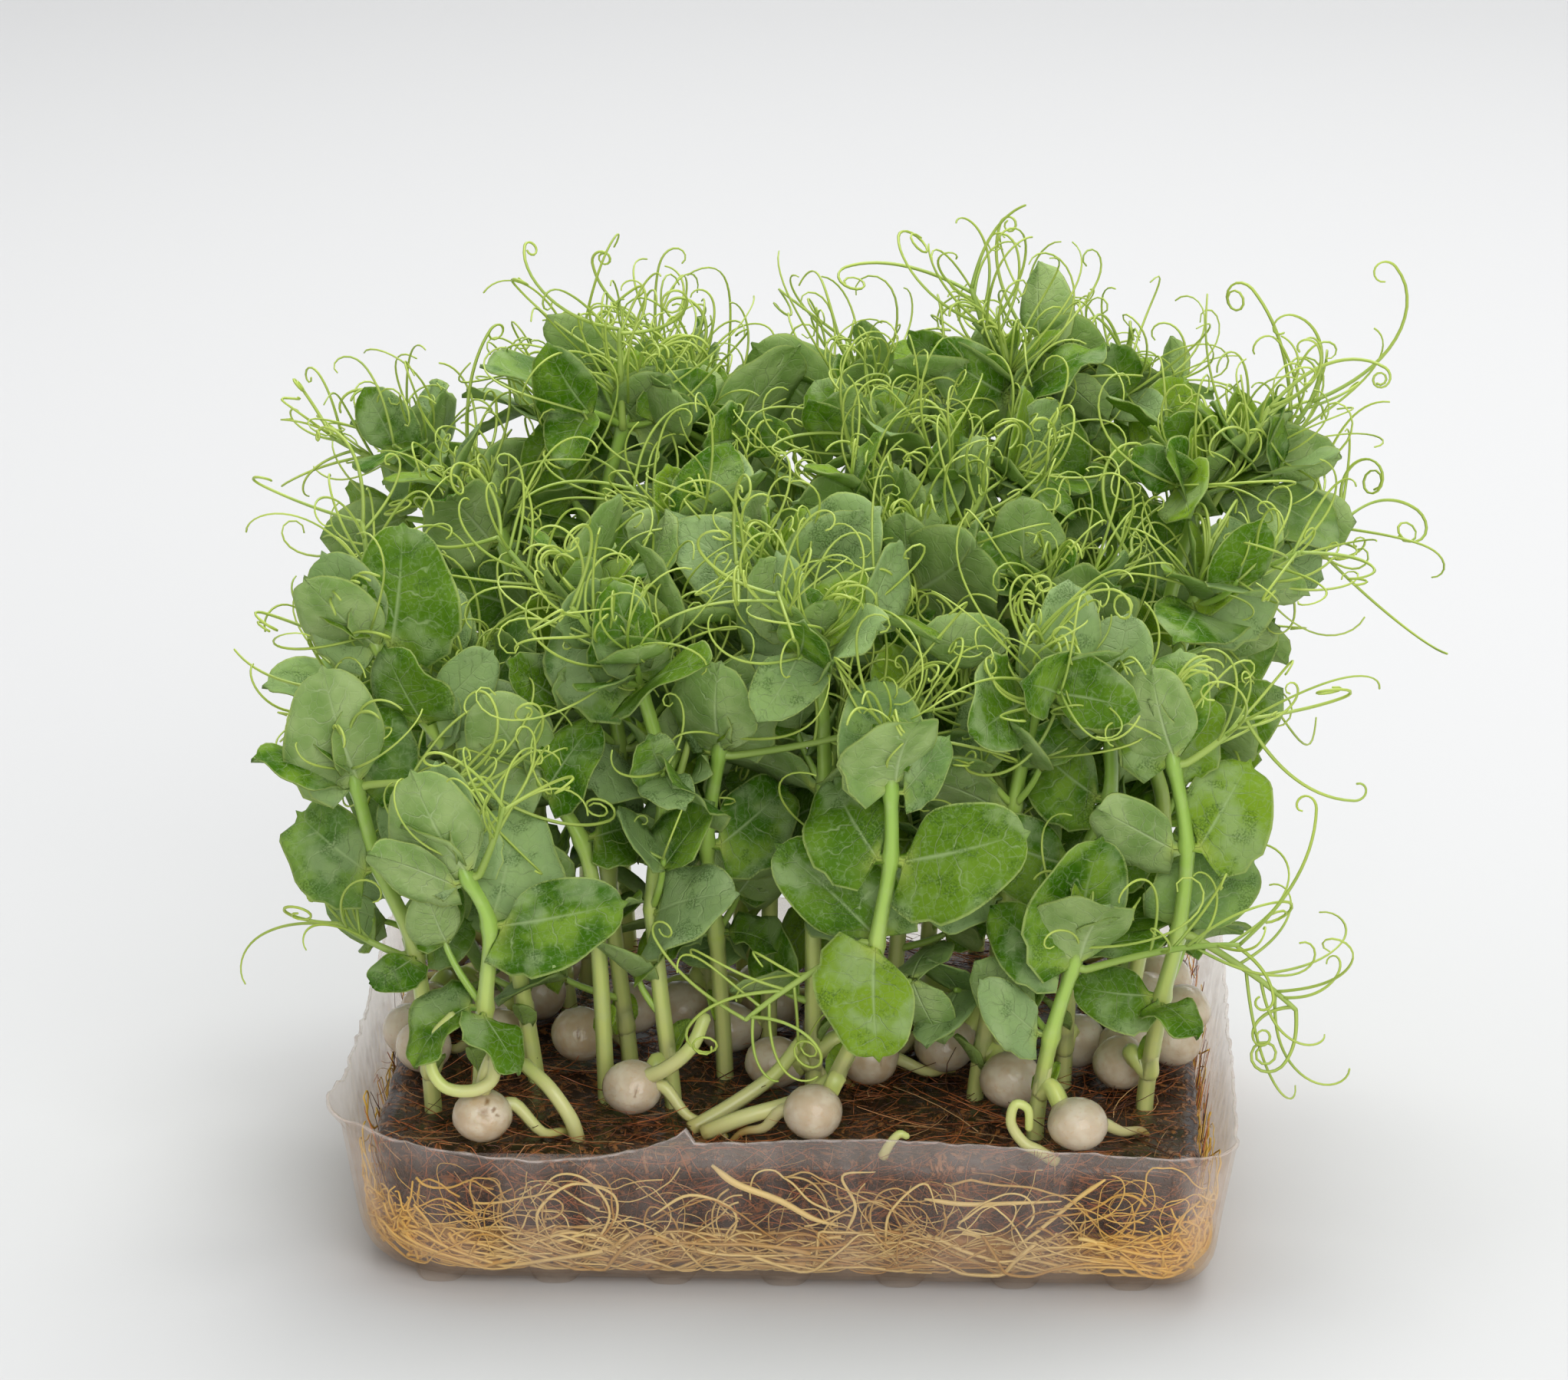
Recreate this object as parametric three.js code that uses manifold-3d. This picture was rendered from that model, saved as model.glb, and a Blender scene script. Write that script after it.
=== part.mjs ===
// A tray of pea shoots: a thin plastic punnet, a coir mat, a mat of roots, seeds and shoots.
// Millimetres, +Z up. The origin is on the surface that the tray stands on, under its middle,
// with +X to the right along the long side and +Y to the back.
import * as THREE from "three";
import { mergeVertices } from "three/addons/utils/BufferGeometryUtils.js";
import Module from "manifold-3d";

const wasm = await Module();
wasm.setup();

// ---------------------------------------------------------------- driving dimensions

const RIM_WIDTH = 130; // outside, along X
const RIM_DEPTH = 110; // outside, along Y
const RIM_HEIGHT = 24;
const WALL = 0.9;
const FOOT_HEIGHT = 1.2;
const FOOT_WIDTH = 9;
const FOOT_PITCH = 16.6;
const FOOT_COUNT = 7;
const FOOT_INSET = 6.6; // from the rim's outside to a foot's end
const FOOT_CUT = 2.5; // across a foot's cut corners
const CORNERS = { frontRight: 8, backRight: 10, backLeft: 12, frontLeft: 17 }; // plan radii at the rim

// How far the outside stands in from the rim at each height, from the floor plate up
const TRAY_PROFILE = [
  { z: FOOT_HEIGHT, inset: 7.5 },
  { z: 2.6, inset: 4.6 },
  { z: 6.5, inset: 2.8 },
  { z: RIM_HEIGHT, inset: 0 },
];

const ROOT_BOTTOM = 2.5;
const ROOT_TOP = 8.4;
const COIR_BOTTOM = 9.2;
const COIR_TOP = 20;
const COIR_INSET = 4.6; // from the tray's outside, so that roots fit between the coir and the wall
const ROOT_INSET = 1.7;
const LOOP_RADIUS = 0.65;
const LOOP_COUNT = 12;

const SEED_RADIUS = 4.4;
const SEED_TOUCH = 8.3; // seeds whose centres are closer than this have grown together
const SEED_COUNT = 38;
const SEED_TRIES = 4000;
const SEED_FLOOR = 21; // the seeds lie just clear of the coir's highest tufts

const STEM_RADIUS = 1.5; // to the corners of its square section
const STEM_TIP_RADIUS = 1.15;
const STEM_TIP = 3; // how far the stem's soft tip stands above its last joint
const JOINT = 1.7; // length of the swollen joint that stipules and tendrils grow from
const STEM_FOOT = 14; // the stems stand in holes in the coir down to here
const STEM_COLLAR = 22.5; // and are upright up to here
const HOLE_CLEARANCE = 0.45;
const GAP = 0.3; // kept between any two pieces

const BLADE = 0.75; // thickness of a stipule
const NECK = 0.9; // from the joint's side to the blade's margin
const RACHIS_RADIUS = 0.75;
const TENDRIL_RADIUS = 0.52;
const TENDRIL_TIP_RADIUS = 0.34;
const TRIES = 36; // places tried for each blade and tendril before it is left out

// The margin of a stipule, as shares of its length: along its axis, across it
const MARGIN = [
  [1, 0],
  [0.74, 0.37],
  [0.24, 0.56],
  [-0.26, 0.34],
  [-0.13, 0.02],
  [-0.05, -0.1],
  [0.3, -0.37],
  [0.74, -0.32],
];
const RIB = [0.38, 0.03];
const HEEL = 4; // the margin point where the edge that grows from the joint starts

// ---------------------------------------------------------------- seeded draws

// Odd multipliers and shifts of a 32-bit integer hash
const HASH = { plant: 374761393, element: 668265263, attempt: 2246822519, channel: 3266489917 };
const WORD = 2 ** 32;

// One draw from 0 to 1, always the same for the same plant, element, attempt and channel
function draw(plant, element, attempt, channel) {
  let h = Math.imul(plant + 1, HASH.plant) + Math.imul(element + 1, HASH.element);
  h = (h + Math.imul(attempt + 1, HASH.attempt) + Math.imul(channel + 1, HASH.channel)) >>> 0;
  h = Math.imul(h ^ (h >>> 15), HASH.attempt) >>> 0;
  h = Math.imul(h ^ (h >>> 13), HASH.channel) >>> 0;
  return ((h ^ (h >>> 16)) >>> 0) / WORD;
}

function between(low, high, share) {
  return low + (high - low) * share;
}

const DEG = Math.PI / 180;

// ---------------------------------------------------------------- solids

function solid(points, triangles) {
  const vertProperties = new Float32Array(points.flatMap((p) => [p.x, p.y, p.z]));
  const mesh = new wasm.Mesh({ numProp: 3, vertProperties, triVerts: new Uint32Array(triangles.flat()) });
  return new wasm.Manifold(mesh);
}

function solidOf(geometry, matrix) {
  const bare = geometry.clone();
  bare.deleteAttribute("normal");
  bare.deleteAttribute("uv");
  bare.applyMatrix4(matrix);
  const merged = mergeVertices(bare, 1e-4);
  return new wasm.Manifold(
    new wasm.Mesh({
      numProp: 3,
      vertProperties: Float32Array.from(merged.attributes.position.array),
      triVerts: Uint32Array.from(merged.index.array),
    }),
  );
}

function meshOf(name, shape, material) {
  const { vertProperties, triVerts, numProp } = shape.getMesh();
  const geometry = new THREE.BufferGeometry();
  const count = vertProperties.length / numProp;
  const position = new Float32Array(count * 3);
  for (let i = 0; i < count; i += 1) {
    position.set(vertProperties.subarray(i * numProp, i * numProp + 3), i * 3);
  }
  geometry.setAttribute("position", new THREE.BufferAttribute(position, 3));
  geometry.setIndex(new THREE.BufferAttribute(Uint32Array.from(triVerts), 1));
  geometry.computeVertexNormals();
  const mesh = new THREE.Mesh(geometry, material);
  mesh.name = name;
  return mesh;
}

// Closes a stack of rings, each with as many points, into one solid
function loft(rings) {
  const count = rings[0].length;
  const triangles = [];
  for (let r = 0; r + 1 < rings.length; r += 1) {
    for (let i = 0; i < count; i += 1) {
      const a = r * count + i;
      const b = r * count + ((i + 1) % count);
      triangles.push([a, b, b + count], [a, b + count, a + count]);
    }
  }
  const bottom = rings.length * count;
  const top = bottom + 1;
  const last = (rings.length - 1) * count;
  for (let i = 0; i < count; i += 1) {
    const next = (i + 1) % count;
    triangles.push([bottom, next, i], [top, last + i, last + next]);
  }
  return solid([...rings.flat(), centre(rings[0]), centre(rings[rings.length - 1])], triangles);
}

function centre(ring) {
  const sum = ring.reduce((total, p) => total.add(p), new THREE.Vector3());
  return sum.divideScalar(ring.length);
}

// Carries a side direction along the points without letting it twist
function framed(points, firstSide) {
  const side = firstSide.clone();
  return points.map((p, i) => {
    const ahead = points[Math.min(i + 1, points.length - 1)];
    const behind = points[Math.max(i - 1, 0)];
    const tangent = ahead.clone().sub(behind).normalize();
    side.addScaledVector(tangent, -side.dot(tangent)).normalize();
    return { p, side: side.clone(), other: tangent.clone().cross(side) };
  });
}

function ring({ p, side, other }, radius, sides) {
  return Array.from({ length: sides }, (_, s) => {
    const turn = (2 * Math.PI * s) / sides;
    const [c, d] = [radius * Math.cos(turn), radius * Math.sin(turn)];
    return p.clone().addScaledVector(side, c).addScaledVector(other, d);
  });
}

// A closed tube with flat sides along the points, with its own radius at each point
function sweep(points, radii, sides, firstSide) {
  const start = points[1].clone().sub(points[0]).normalize();
  const level = Math.abs(start.x) > 0.9 ? new THREE.Vector3(0, 1, 0) : new THREE.Vector3(1, 0, 0);
  const rings = framed(points, firstSide ?? level).map((frame, i) => ring(frame, radii[i], sides));
  const triangles = [];
  for (let r = 1; r < rings.length; r += 1) {
    for (let s = 0; s < sides; s += 1) {
      const a = (r - 1) * sides + s;
      const b = (r - 1) * sides + ((s + 1) % sides);
      triangles.push([a, b, b + sides], [a, b + sides, a + sides]);
    }
  }
  const last = (points.length - 1) * sides;
  for (let s = 1; s + 1 < sides; s += 1) {
    triangles.push([0, s + 1, s], [last, last + s, last + s + 1]);
  }
  return solid(rings.flat(), triangles);
}

function vector(p) {
  return new THREE.Vector3(p[0], p[1], p[2]);
}

// ---------------------------------------------------------------- tray, roots and coir

// A rounded rectangle round the tray's axis, standing in from the rim's outside, one point a step
function outline(inset, cornerSteps, longSteps, shortSteps) {
  const a = RIM_WIDTH / 2 - inset;
  const b = RIM_DEPTH / 2 - inset;
  const corners = [
    { x: 1, y: -1, r: CORNERS.frontRight, start: -90, steps: shortSteps },
    { x: 1, y: 1, r: CORNERS.backRight, start: 0, steps: longSteps },
    { x: -1, y: 1, r: CORNERS.backLeft, start: 90, steps: shortSteps },
    { x: -1, y: -1, r: CORNERS.frontLeft, start: 180, steps: longSteps },
  ];
  const arcs = corners.map(({ x, y, r, start }) => {
    const radius = Math.max(r - inset * 0.5, 3);
    return Array.from({ length: cornerSteps + 1 }, (_, i) => {
      const angle = (start + (90 * i) / cornerSteps) * DEG;
      return new THREE.Vector2(
        x * (a - radius) + radius * Math.cos(angle),
        y * (b - radius) + radius * Math.sin(angle),
      );
    });
  });
  const points = [];
  arcs.forEach((arc, c) => {
    points.push(...arc);
    const from = arc[arc.length - 1];
    const to = arcs[(c + 1) % 4][0];
    for (let i = 1; i < corners[c].steps; i += 1) {
      points.push(from.clone().lerp(to, i / corners[c].steps));
    }
  });
  return points;
}

// The hand-cut rim: long waves, with one torn peak on the front and a flared front left corner
function rimHeight(x, y) {
  const wave = 0.8 * Math.sin(x * 0.075 + 0.6) + 0.5 * Math.sin(y * 0.11 + x * 0.04 + 1);
  const front = Math.exp(-(((y + 55) / 12) ** 2));
  const torn = 3 * Math.exp(-(((x + 14) / 5) ** 2)) * front;
  const dip = -1.6 * Math.exp(-(((x + 36) / 14) ** 2)) * front;
  const corner = 1.6 * Math.exp(-(((x + 65) / 7) ** 2) - ((y + 42) / 9) ** 2);
  return RIM_HEIGHT + wave + torn + dip + corner;
}

function lifted(points, height) {
  return points.map((p) => new THREE.Vector3(p.x, p.y, height(p.x, p.y)));
}

function trayOutsideInset(z) {
  const above = TRAY_PROFILE.findIndex((step) => step.z >= z);
  const high = TRAY_PROFILE[Math.max(above, 1)];
  const low = TRAY_PROFILE[Math.max(above, 1) - 1];
  return between(low.inset, high.inset, (z - low.z) / (high.z - low.z));
}

function trayShape() {
  const edge = (inset, height) => lifted(outline(inset, 4, 8, 6), height);
  const level = (z) => () => z;
  const outside = TRAY_PROFILE.map((step, i) =>
    edge(step.inset, i === TRAY_PROFILE.length - 1 ? rimHeight : level(step.z)),
  );
  const floor = level(FOOT_HEIGHT + WALL);
  const inside = TRAY_PROFILE.map((step, i) => {
    const height = i === TRAY_PROFILE.length - 1 ? rimHeight : level(step.z + 0.5);
    return edge(step.inset + WALL, i === 0 ? floor : height);
  });
  let shape = loft([...outside, ...inside.reverse()]);
  for (let i = 0; i < FOOT_COUNT; i += 1) {
    shape = shape.add(footShape((i - (FOOT_COUNT - 1) / 2) * FOOT_PITCH));
  }
  return shape;
}

// One of the flat ribs that the tray stands on, which show as scallops under its front
function footShape(x) {
  const a = FOOT_WIDTH / 2;
  const b = RIM_DEPTH / 2 - FOOT_INSET;
  const corners = [
    [a, FOOT_CUT - b], [a, b - FOOT_CUT], [a - FOOT_CUT, b], [FOOT_CUT - a, b],
    [-a, b - FOOT_CUT], [-a, FOOT_CUT - b], [FOOT_CUT - a, -b], [a - FOOT_CUT, -b],
  ];
  const level = (z) => corners.map(([px, py]) => new THREE.Vector3(x + px, py, z));
  return loft([level(0), level(FOOT_HEIGHT + WALL / 2)]);
}

// A mat with a rough edge and a rough top, both by formula
function matShape(bottom, top, inset, roughness, steps) {
  const rough = (x, y, z) =>
    roughness * (Math.sin(x * 0.31 + z) + Math.sin(y * 0.37 + 2 * z) + Math.sin((x + y) * 0.17)) * 0.33;
  const level = (z, share, rise) =>
    outline(trayOutsideInset(Math.min(z, RIM_HEIGHT)) + inset, 3, steps, steps - 1).map((p) => {
      const edge = 1 - Math.abs(rough(p.x, p.y, z)) / 60;
      const q = p.clone().multiplyScalar(share * edge);
      return new THREE.Vector3(q.x, q.y, z + rise * rough(q.x, q.y, 0));
    });
  const middle = (bottom + top) / 2;
  return loft([
    level(bottom, 0.985, 0),
    level(middle, 1, 0),
    level(top - 0.8, 0.995, 0.3),
    level(top, 0.96, 0.6),
    level(top, 0.66, 1),
    level(top, 0.33, 1),
  ]);
}

// Roots that climb from the mat between the coir and the wall, arch over and turn down again
function rootLoop(index) {
  const path = outline(trayOutsideInset(13) + 2.75, 12, 40, 34);
  const start = Math.floor((index / LOOP_COUNT) * path.length + 6 * draw(index, 0, 0, 1));
  const span = between(5, 11, draw(index, 0, 0, 2));
  const rise = between(4, 8, draw(index, 0, 0, 3));
  const steps = 6;
  const points = Array.from({ length: steps + 1 }, (_, i) => {
    const share = i / steps;
    const at = path[Math.round(start + span * share) % path.length];
    const arch = Math.sin(Math.PI * share);
    const inward = 1 - 0.035 * (1 - arch);
    return new THREE.Vector3(at.x * inward, at.y * inward, ROOT_TOP - 1.8 + rise * arch ** 0.8);
  });
  return sweep(points, points.map(() => LOOP_RADIUS), 3);
}

function rootShape() {
  let shape = matShape(ROOT_BOTTOM, ROOT_TOP, ROOT_INSET, 0.5, 4);
  for (let i = 0; i < LOOP_COUNT; i += 1) {
    shape = shape.add(rootLoop(i));
  }
  return shape;
}

// ---------------------------------------------------------------- plants placed by hand

// root: where the stem leaves the coir (x, y). nodes: the stem's joints.
// stipules: [node, x, y, z from the joint to the tip, where the upper face looks, width]; the way it
// looks is a name or a direction
// tendrils: { node, rachis, tips }, all measured from the joint
const LOOKS = {
  front: [0, -1, 0.35],
  back: [0, 1, 0.2],
  up: [0, -0.25, 1],
  left: [-1, -0.5, 0.5],
  right: [1, -0.5, 0.5],
};

const PLANTS = [
  {
    root: [-52, -31],
    nodes: [[-54, -33, 45], [-59, -33, 58], [-62, -33, 70]],
    stipules: [
      [0, -6, -1, -3, "front", 1],
      [0, 6, 2, 4, "front", 0.9],
      [1, -10, 1, 9, "front", 1.05],
      [1, 6, 7, 12, "front", 1],
      [2, -9.5, -4, 8, "up", 0.9],
      [2, 9, 8, 10, "front", 1],
    ],
    tendrils: [
      { node: 0, rachis: [-9, -2, 5], tips: [[-17, -4, 8], [-12, -4, 13]] },
      { node: 2, rachis: [16, -3, 1], tips: [[25, -4, 13], [18, -3, 14], [35, -6, -3]] },
    ],
  },
  {
    root: [-44.5, -38],
    nodes: [[-43, -45, 41], [-42, -47, 54], [-45, -47, 61]],
    stipules: [
      [0, -9, -5, -4, "up", 1.1],
      [0, 5, -6, -5, "up", 1],
      [1, 17, -5, 3, "front", 0.85],
      [1, 3, 6, 15, "front", 1],
      [2, -11, -2, 7, "back", 0.7],
      [2, -4, 6, 8, "front", 1],
    ],
    tendrils: [{ node: 2, rachis: [4, -6, 12], tips: [[-4, -7, 20], [14, -8, 17]] }],
  },
  {
    root: [5, -35],
    nodes: [[12, -45, 42], [13, -47, 52], [15, -48, 65], [15, -48, 75]],
    stipules: [
      [1, -13, -1, 12, "front", 0.8],
      [1, 1, -6, -13, "front", 1.05],
      [2, -5, 5, 15, "front", 1.05],
      [2, 15, -4, 6, "front", 1.05],
      [3, 5, -2, 8, "front", 0.7],
    ],
    tendrils: [
      { node: 1, rachis: [-19, -6, -10], tips: [[-34, -6, 3], [-27, -7, -16], [-10, -8, -20]] },
      { node: 3, rachis: [-2, 6, 10], tips: [[-8, 8, 16], [6, 4, 17]] },
    ],
  },
  {
    root: [-10, -16],
    nodes: [[-11, -20, 44], [-12, -27, 60], [-10, -31, 75]],
    stipules: [
      [0, 7, -4, 1, "up", 1],
      [0, -5, -4, 0, "up", 1],
      [1, -12, -7, 5, "front", 1.1],
      [1, 9, 5, 8, "front", 1],
      [2, -2, 2, 14, "back", 1.1],
      [2, 6, 9, -5, "front", 1],
    ],
    tendrils: [{ node: 2, rachis: [27, -3, 8], tips: [[33, -2, 18], [40, -6, 2], [36, 0, 10]] }],
  },
  {
    root: [36, -38],
    nodes: [[38, -43, 37], [41, -44, 48]],
    stipules: [
      [0, -7, -2, 8, "front", 0.8],
      [1, 12, 2, 5, "up", 0.7],
      [1, -9, 4, 7, "front", 0.9],
    ],
    tendrils: [{ node: 1, rachis: [24, 1, 1], tips: [[36, 2, 22], [32, 1, 6], [31, -1, -5]] }],
  },
  {
    root: [52, -26],
    nodes: [[54, -34, 40], [56, -38, 51], [57, -38, 64], [55, -37, 76]],
    stipules: [
      [0, 5, -6, 1, "up", 1.1],
      [0, -9, -5, 2, "front", 1],
      [1, 11, 0, 10, "front", 0.9],
      [2, 3, 3, 14, "front", 1.05],
      [2, -10, -3, 8, "back", 0.9],
      [3, 8, 2, 9, "right", 0.9],
    ],
    tendrils: [
      { node: 1, rachis: [15, -3, -10], tips: [[13, -5, -18], [9, -5, -14]] },
      { node: 3, rachis: [8, 0, 7], tips: [[24, 2, -6], [22, 0, 10]] },
    ],
  },
  {
    root: [40, -17],
    nodes: [[41, -23, 46], [42, -26, 57], [46, -28, 68], [46, -30, 79]],
    stipules: [
      [0, 13, -9, 8, "up", 0.8],
      [1, -11, -6, 8, "front", 0.9],
      [1, 10, 5, 6, "front", 0.8],
      [2, -11, 4, 6, "front", 1],
      [3, 10, -2, 6, "up", 0.8],
    ],
    tendrils: [{ node: 3, rachis: [-9, -4, 6], tips: [[-16, -7, 12], [-18, -5, -5], [-4, -8, 17]] }],
  },
  {
    root: [-27, -25],
    nodes: [[-28, -29, 50], [-30, -29, 61], [-35, -29, 69]],
    stipules: [
      [0, 6, -3, 3, "up", 0.8],
      [0, -6, -1, -2, "up", 0.8],
      [1, 10, 3, 5, "front", 1],
      [2, -9, 5, 12, "front", 1],
      [2, 6, 5, 11, "front", 0.9],
    ],
    tendrils: [{ node: 2, rachis: [8, -5, 9], tips: [[22, -7, 12], [4, -8, 19], [16, -5, 0]] }],
  },
  {
    root: [-38, -18],
    nodes: [[-44, -22, 60], [-53, -24, 78], [-59, -25, 88]],
    stipules: [
      [0, -10, -3, 6, "front", 0.9],
      [1, -13, -3, 9, "front", 1],
      [1, 10, -2, 6, "front", 0.9],
      [2, 1, 0, 16, "front", 1.05],
      [2, 9, -3, 10, "left", 0.9],
    ],
    tendrils: [
      { node: 1, rachis: [-13, 0, 1], tips: [[-32, -1, 0], [-19, 0, 6]] },
      { node: 2, rachis: [-3, 6, 17], tips: [[-18, 14, 20], [-9, 14, 29]] },
    ],
  },
  {
    root: [-33, 24],
    nodes: [[-32, 24, 74], [-31, 26, 92], [-27, 28, 108]],
    stipules: [
      [0, -12, -4, 6, "front", 1],
      [1, -14, 0, 5, "up", 0.9],
      [1, 10, -8, 7, "front", 1],
      [2, -15, -4, 12, "up", 0.9],
      [2, 5, -4, 12, "back", 1],
    ],
    tendrils: [
      { node: 2, rachis: [4, 2, 16], tips: [[-10, 2, 31], [-16, 2, 21], [16, 4, 18]] },
      { node: 1, rachis: [-20, -4, 14], tips: [[-34, -6, 20], [-24, -6, 2]] },
    ],
  },
  {
    root: [30, 30],
    nodes: [[31, 32, 76], [32, 33, 94], [31, 34, 112]],
    stipules: [
      [0, 12, -6, 5, "front", 1],
      [1, -13, -4, 7, "front", 0.9],
      [1, 12, -4, 6, "front", 1],
      [2, 10, 2, 9, "up", 0.8],
      [2, -9, -6, 8, "front", 0.9],
    ],
    tendrils: [{ node: 2, rachis: [-4, 1, 16], tips: [[4, 1, 29], [-15, 1, 24], [-23, 2, 19]] }],
  },
  {
    root: [50, 22],
    nodes: [[57, 21, 72], [62, 20, 89], [66, 20, 102]],
    stipules: [
      [0, 8, -6, 11, "front", 0.9],
      [1, 18, -6, 2, "back", 1],
      [1, -10, -6, 8, "front", 1],
      [2, 14, -4, -4, "up", 1],
      [2, -8, -6, 10, "front", 1],
    ],
    tendrils: [
      { node: 2, rachis: [8, 1, 13], tips: [[20, 0, 34], [-1, 2, 30], [5, -2, 27]] },
      { node: 1, rachis: [16, -7, 16], tips: [[32, -10, 15], [30, -17, -8], [20, -8, 26]] },
    ],
  },
];

// ---------------------------------------------------------------- plants placed by rule

const FILL = { columns: 6, rows: 5, pitchX: 18.5, pitchY: 18, jitter: 5, clear: 9.5 };
const PLANT_LIMIT = 36;
const STEM_SPACE = 1.6; // kept free round a stem for what grows from it

const SOWING = 440; // which of the many possible sets of plants is grown

const GROWTH = {
  height: 82, // of a plant near the front wall
  rise: 0.34, // how much taller for each millimetre further back
  spread: 10, // between the shortest and the tallest at one depth
  shoulder: 21, // how much shorter the plants at the left wall are
  crown: 10, // the X that they get shorter from
  leanX: 13, // how far a stem at the side walls leans out
  leanY: 9,
  sway: 8,
  zigzag: 1.4, // each joint stands this far to the other side
};

// One plant at x, y: taller towards the back, leaning out near the walls, its leaves turning
// half way round the stem from joint to joint
function seededPlant(index, x, y, attempt) {
  const pick = (channel) => draw(index, SOWING, attempt, channel);
  const outX = x / (RIM_WIDTH / 2 - 5);
  const outY = y / (RIM_DEPTH / 2 - 3);
  const fall = Math.max((GROWTH.crown - x) / (RIM_WIDTH / 2 - 5), 0) ** 3;
  const height =
    GROWTH.height + GROWTH.rise * (y + 40) + GROWTH.spread * (pick(1) - 0.5) - GROWTH.shoulder * fall;
  const top = [
    x + GROWTH.leanX * outX + GROWTH.sway * (pick(2) - 0.5),
    y + GROWTH.leanY * outY + GROWTH.sway * (pick(3) - 0.5),
  ];
  const turn = Math.atan2(outY, outX) / DEG + between(-70, 70, pick(4));
  const shares = [between(0.38, 0.5, pick(5)), between(0.66, 0.76, pick(6)), 0.97];
  const nodes = shares.map((share, j) => {
    const aside = j % 2 ? -GROWTH.zigzag : GROWTH.zigzag;
    return [
      between(x, top[0], share) + aside * Math.cos(turn * DEG),
      between(y, top[1], share) + aside * Math.sin(turn * DEG),
      between(STEM_COLLAR, height, share),
    ];
  });
  const stipules = [];
  const tendrils = [];
  nodes.forEach((_, j) => {
    const leafTurn = turn + 180 * j + between(-25, 25, pick(10 + j));
    for (const hand of [-1, 1]) {
      const slot = 20 + 4 * j + hand;
      if (j === 0 && pick(slot + 100) < 0.35) {
        continue;
      }
      const azimuth = (leafTurn + hand * between(50, 88, pick(slot))) * DEG;
      const rise = between(j === 2 ? 20 : -5, j === 2 ? 62 : 42, pick(slot + 20)) * DEG;
      const length = between(14, 18, pick(slot + 40)) * (j === 0 ? 0.85 : 1);
      const tilt = between(0.1, 1.4, pick(slot + 60));
      stipules.push([
        j,
        length * Math.cos(rise) * Math.cos(azimuth),
        length * Math.cos(rise) * Math.sin(azimuth),
        length * Math.sin(rise),
        [tilt * Math.cos(leafTurn * DEG), tilt * Math.sin(leafTurn * DEG), 0.75],
        between(0.88, 1.15, pick(slot + 80)),
      ]);
    }
    if (j > 0) {
      tendrils.push(seededTendril(index, j, leafTurn));
    }
  });
  return { root: [x, y], turn, nodes, stipules, tendrils };
}

function seededTendril(index, j, turn) {
  const pick = (channel) => draw(index, SOWING + 1 + j, 0, channel);
  const rise = between(25, 65, pick(1)) * DEG;
  const reach = between(12, 20, pick(2));
  const azimuth = turn * DEG;
  const rachis = [
    reach * Math.cos(rise) * Math.cos(azimuth),
    reach * Math.cos(rise) * Math.sin(azimuth),
    reach * Math.sin(rise),
  ];
  const tips = [0, 1].map((k) => {
    const spread = (turn + between(-85, 85, pick(10 + k))) * DEG;
    const lift = between(-20, 75, pick(20 + k)) * DEG;
    const length = between(10, 19, pick(30 + k));
    return [
      rachis[0] + length * Math.cos(lift) * Math.cos(spread),
      rachis[1] + length * Math.cos(lift) * Math.sin(spread),
      rachis[2] + length * Math.sin(lift),
    ];
  });
  return { node: j, rachis, tips };
}

// The first seeded plant whose stem stands clear of the stems already there
function standingPlant(index, x, y) {
  for (let attempt = 0; attempt < TRIES; attempt += 1) {
    const plant = seededPlant(index, x, y, attempt);
    if (fits(index, stemShape(plant, STEM_SPACE), null)) {
      place(index, stemShape(plant, 0));
      return plant;
    }
  }
  throw new Error(`no room for plant ${index}`);
}

function allPlants() {
  const plants = [...PLANTS];
  plants.forEach((plant, i) => place(i, stemShape(plant, 0)));
  for (let row = 0; row < FILL.rows; row += 1) {
    for (let column = 0; column < FILL.columns; column += 1) {
      const cell = row * FILL.columns + column;
      const x = (column - (FILL.columns - 1) / 2) * FILL.pitchX + (row % 2 ? 4 : -4);
      const y = (row - (FILL.rows - 1) / 2) * FILL.pitchY + 8;
      const spot = [
        x + FILL.jitter * (draw(cell, 80, 0, 1) - 0.5) * 2,
        Math.min(y + FILL.jitter * (draw(cell, 80, 0, 2) - 0.5) * 2, 43),
      ];
      const free = plants.every((p) => Math.hypot(p.root[0] - spot[0], p.root[1] - spot[1]) > FILL.clear);
      if (free && plants.length < PLANT_LIMIT) {
        plants.push(standingPlant(plants.length, spot[0], spot[1]));
      }
    }
  }
  return plants;
}

// ---------------------------------------------------------------- stems

const STEM_SIDES = 4;

function stemSide(plant) {
  const turn = ((plant.turn ?? 0) + 45) * DEG;
  return new THREE.Vector3(Math.cos(turn), Math.sin(turn), 0);
}

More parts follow.
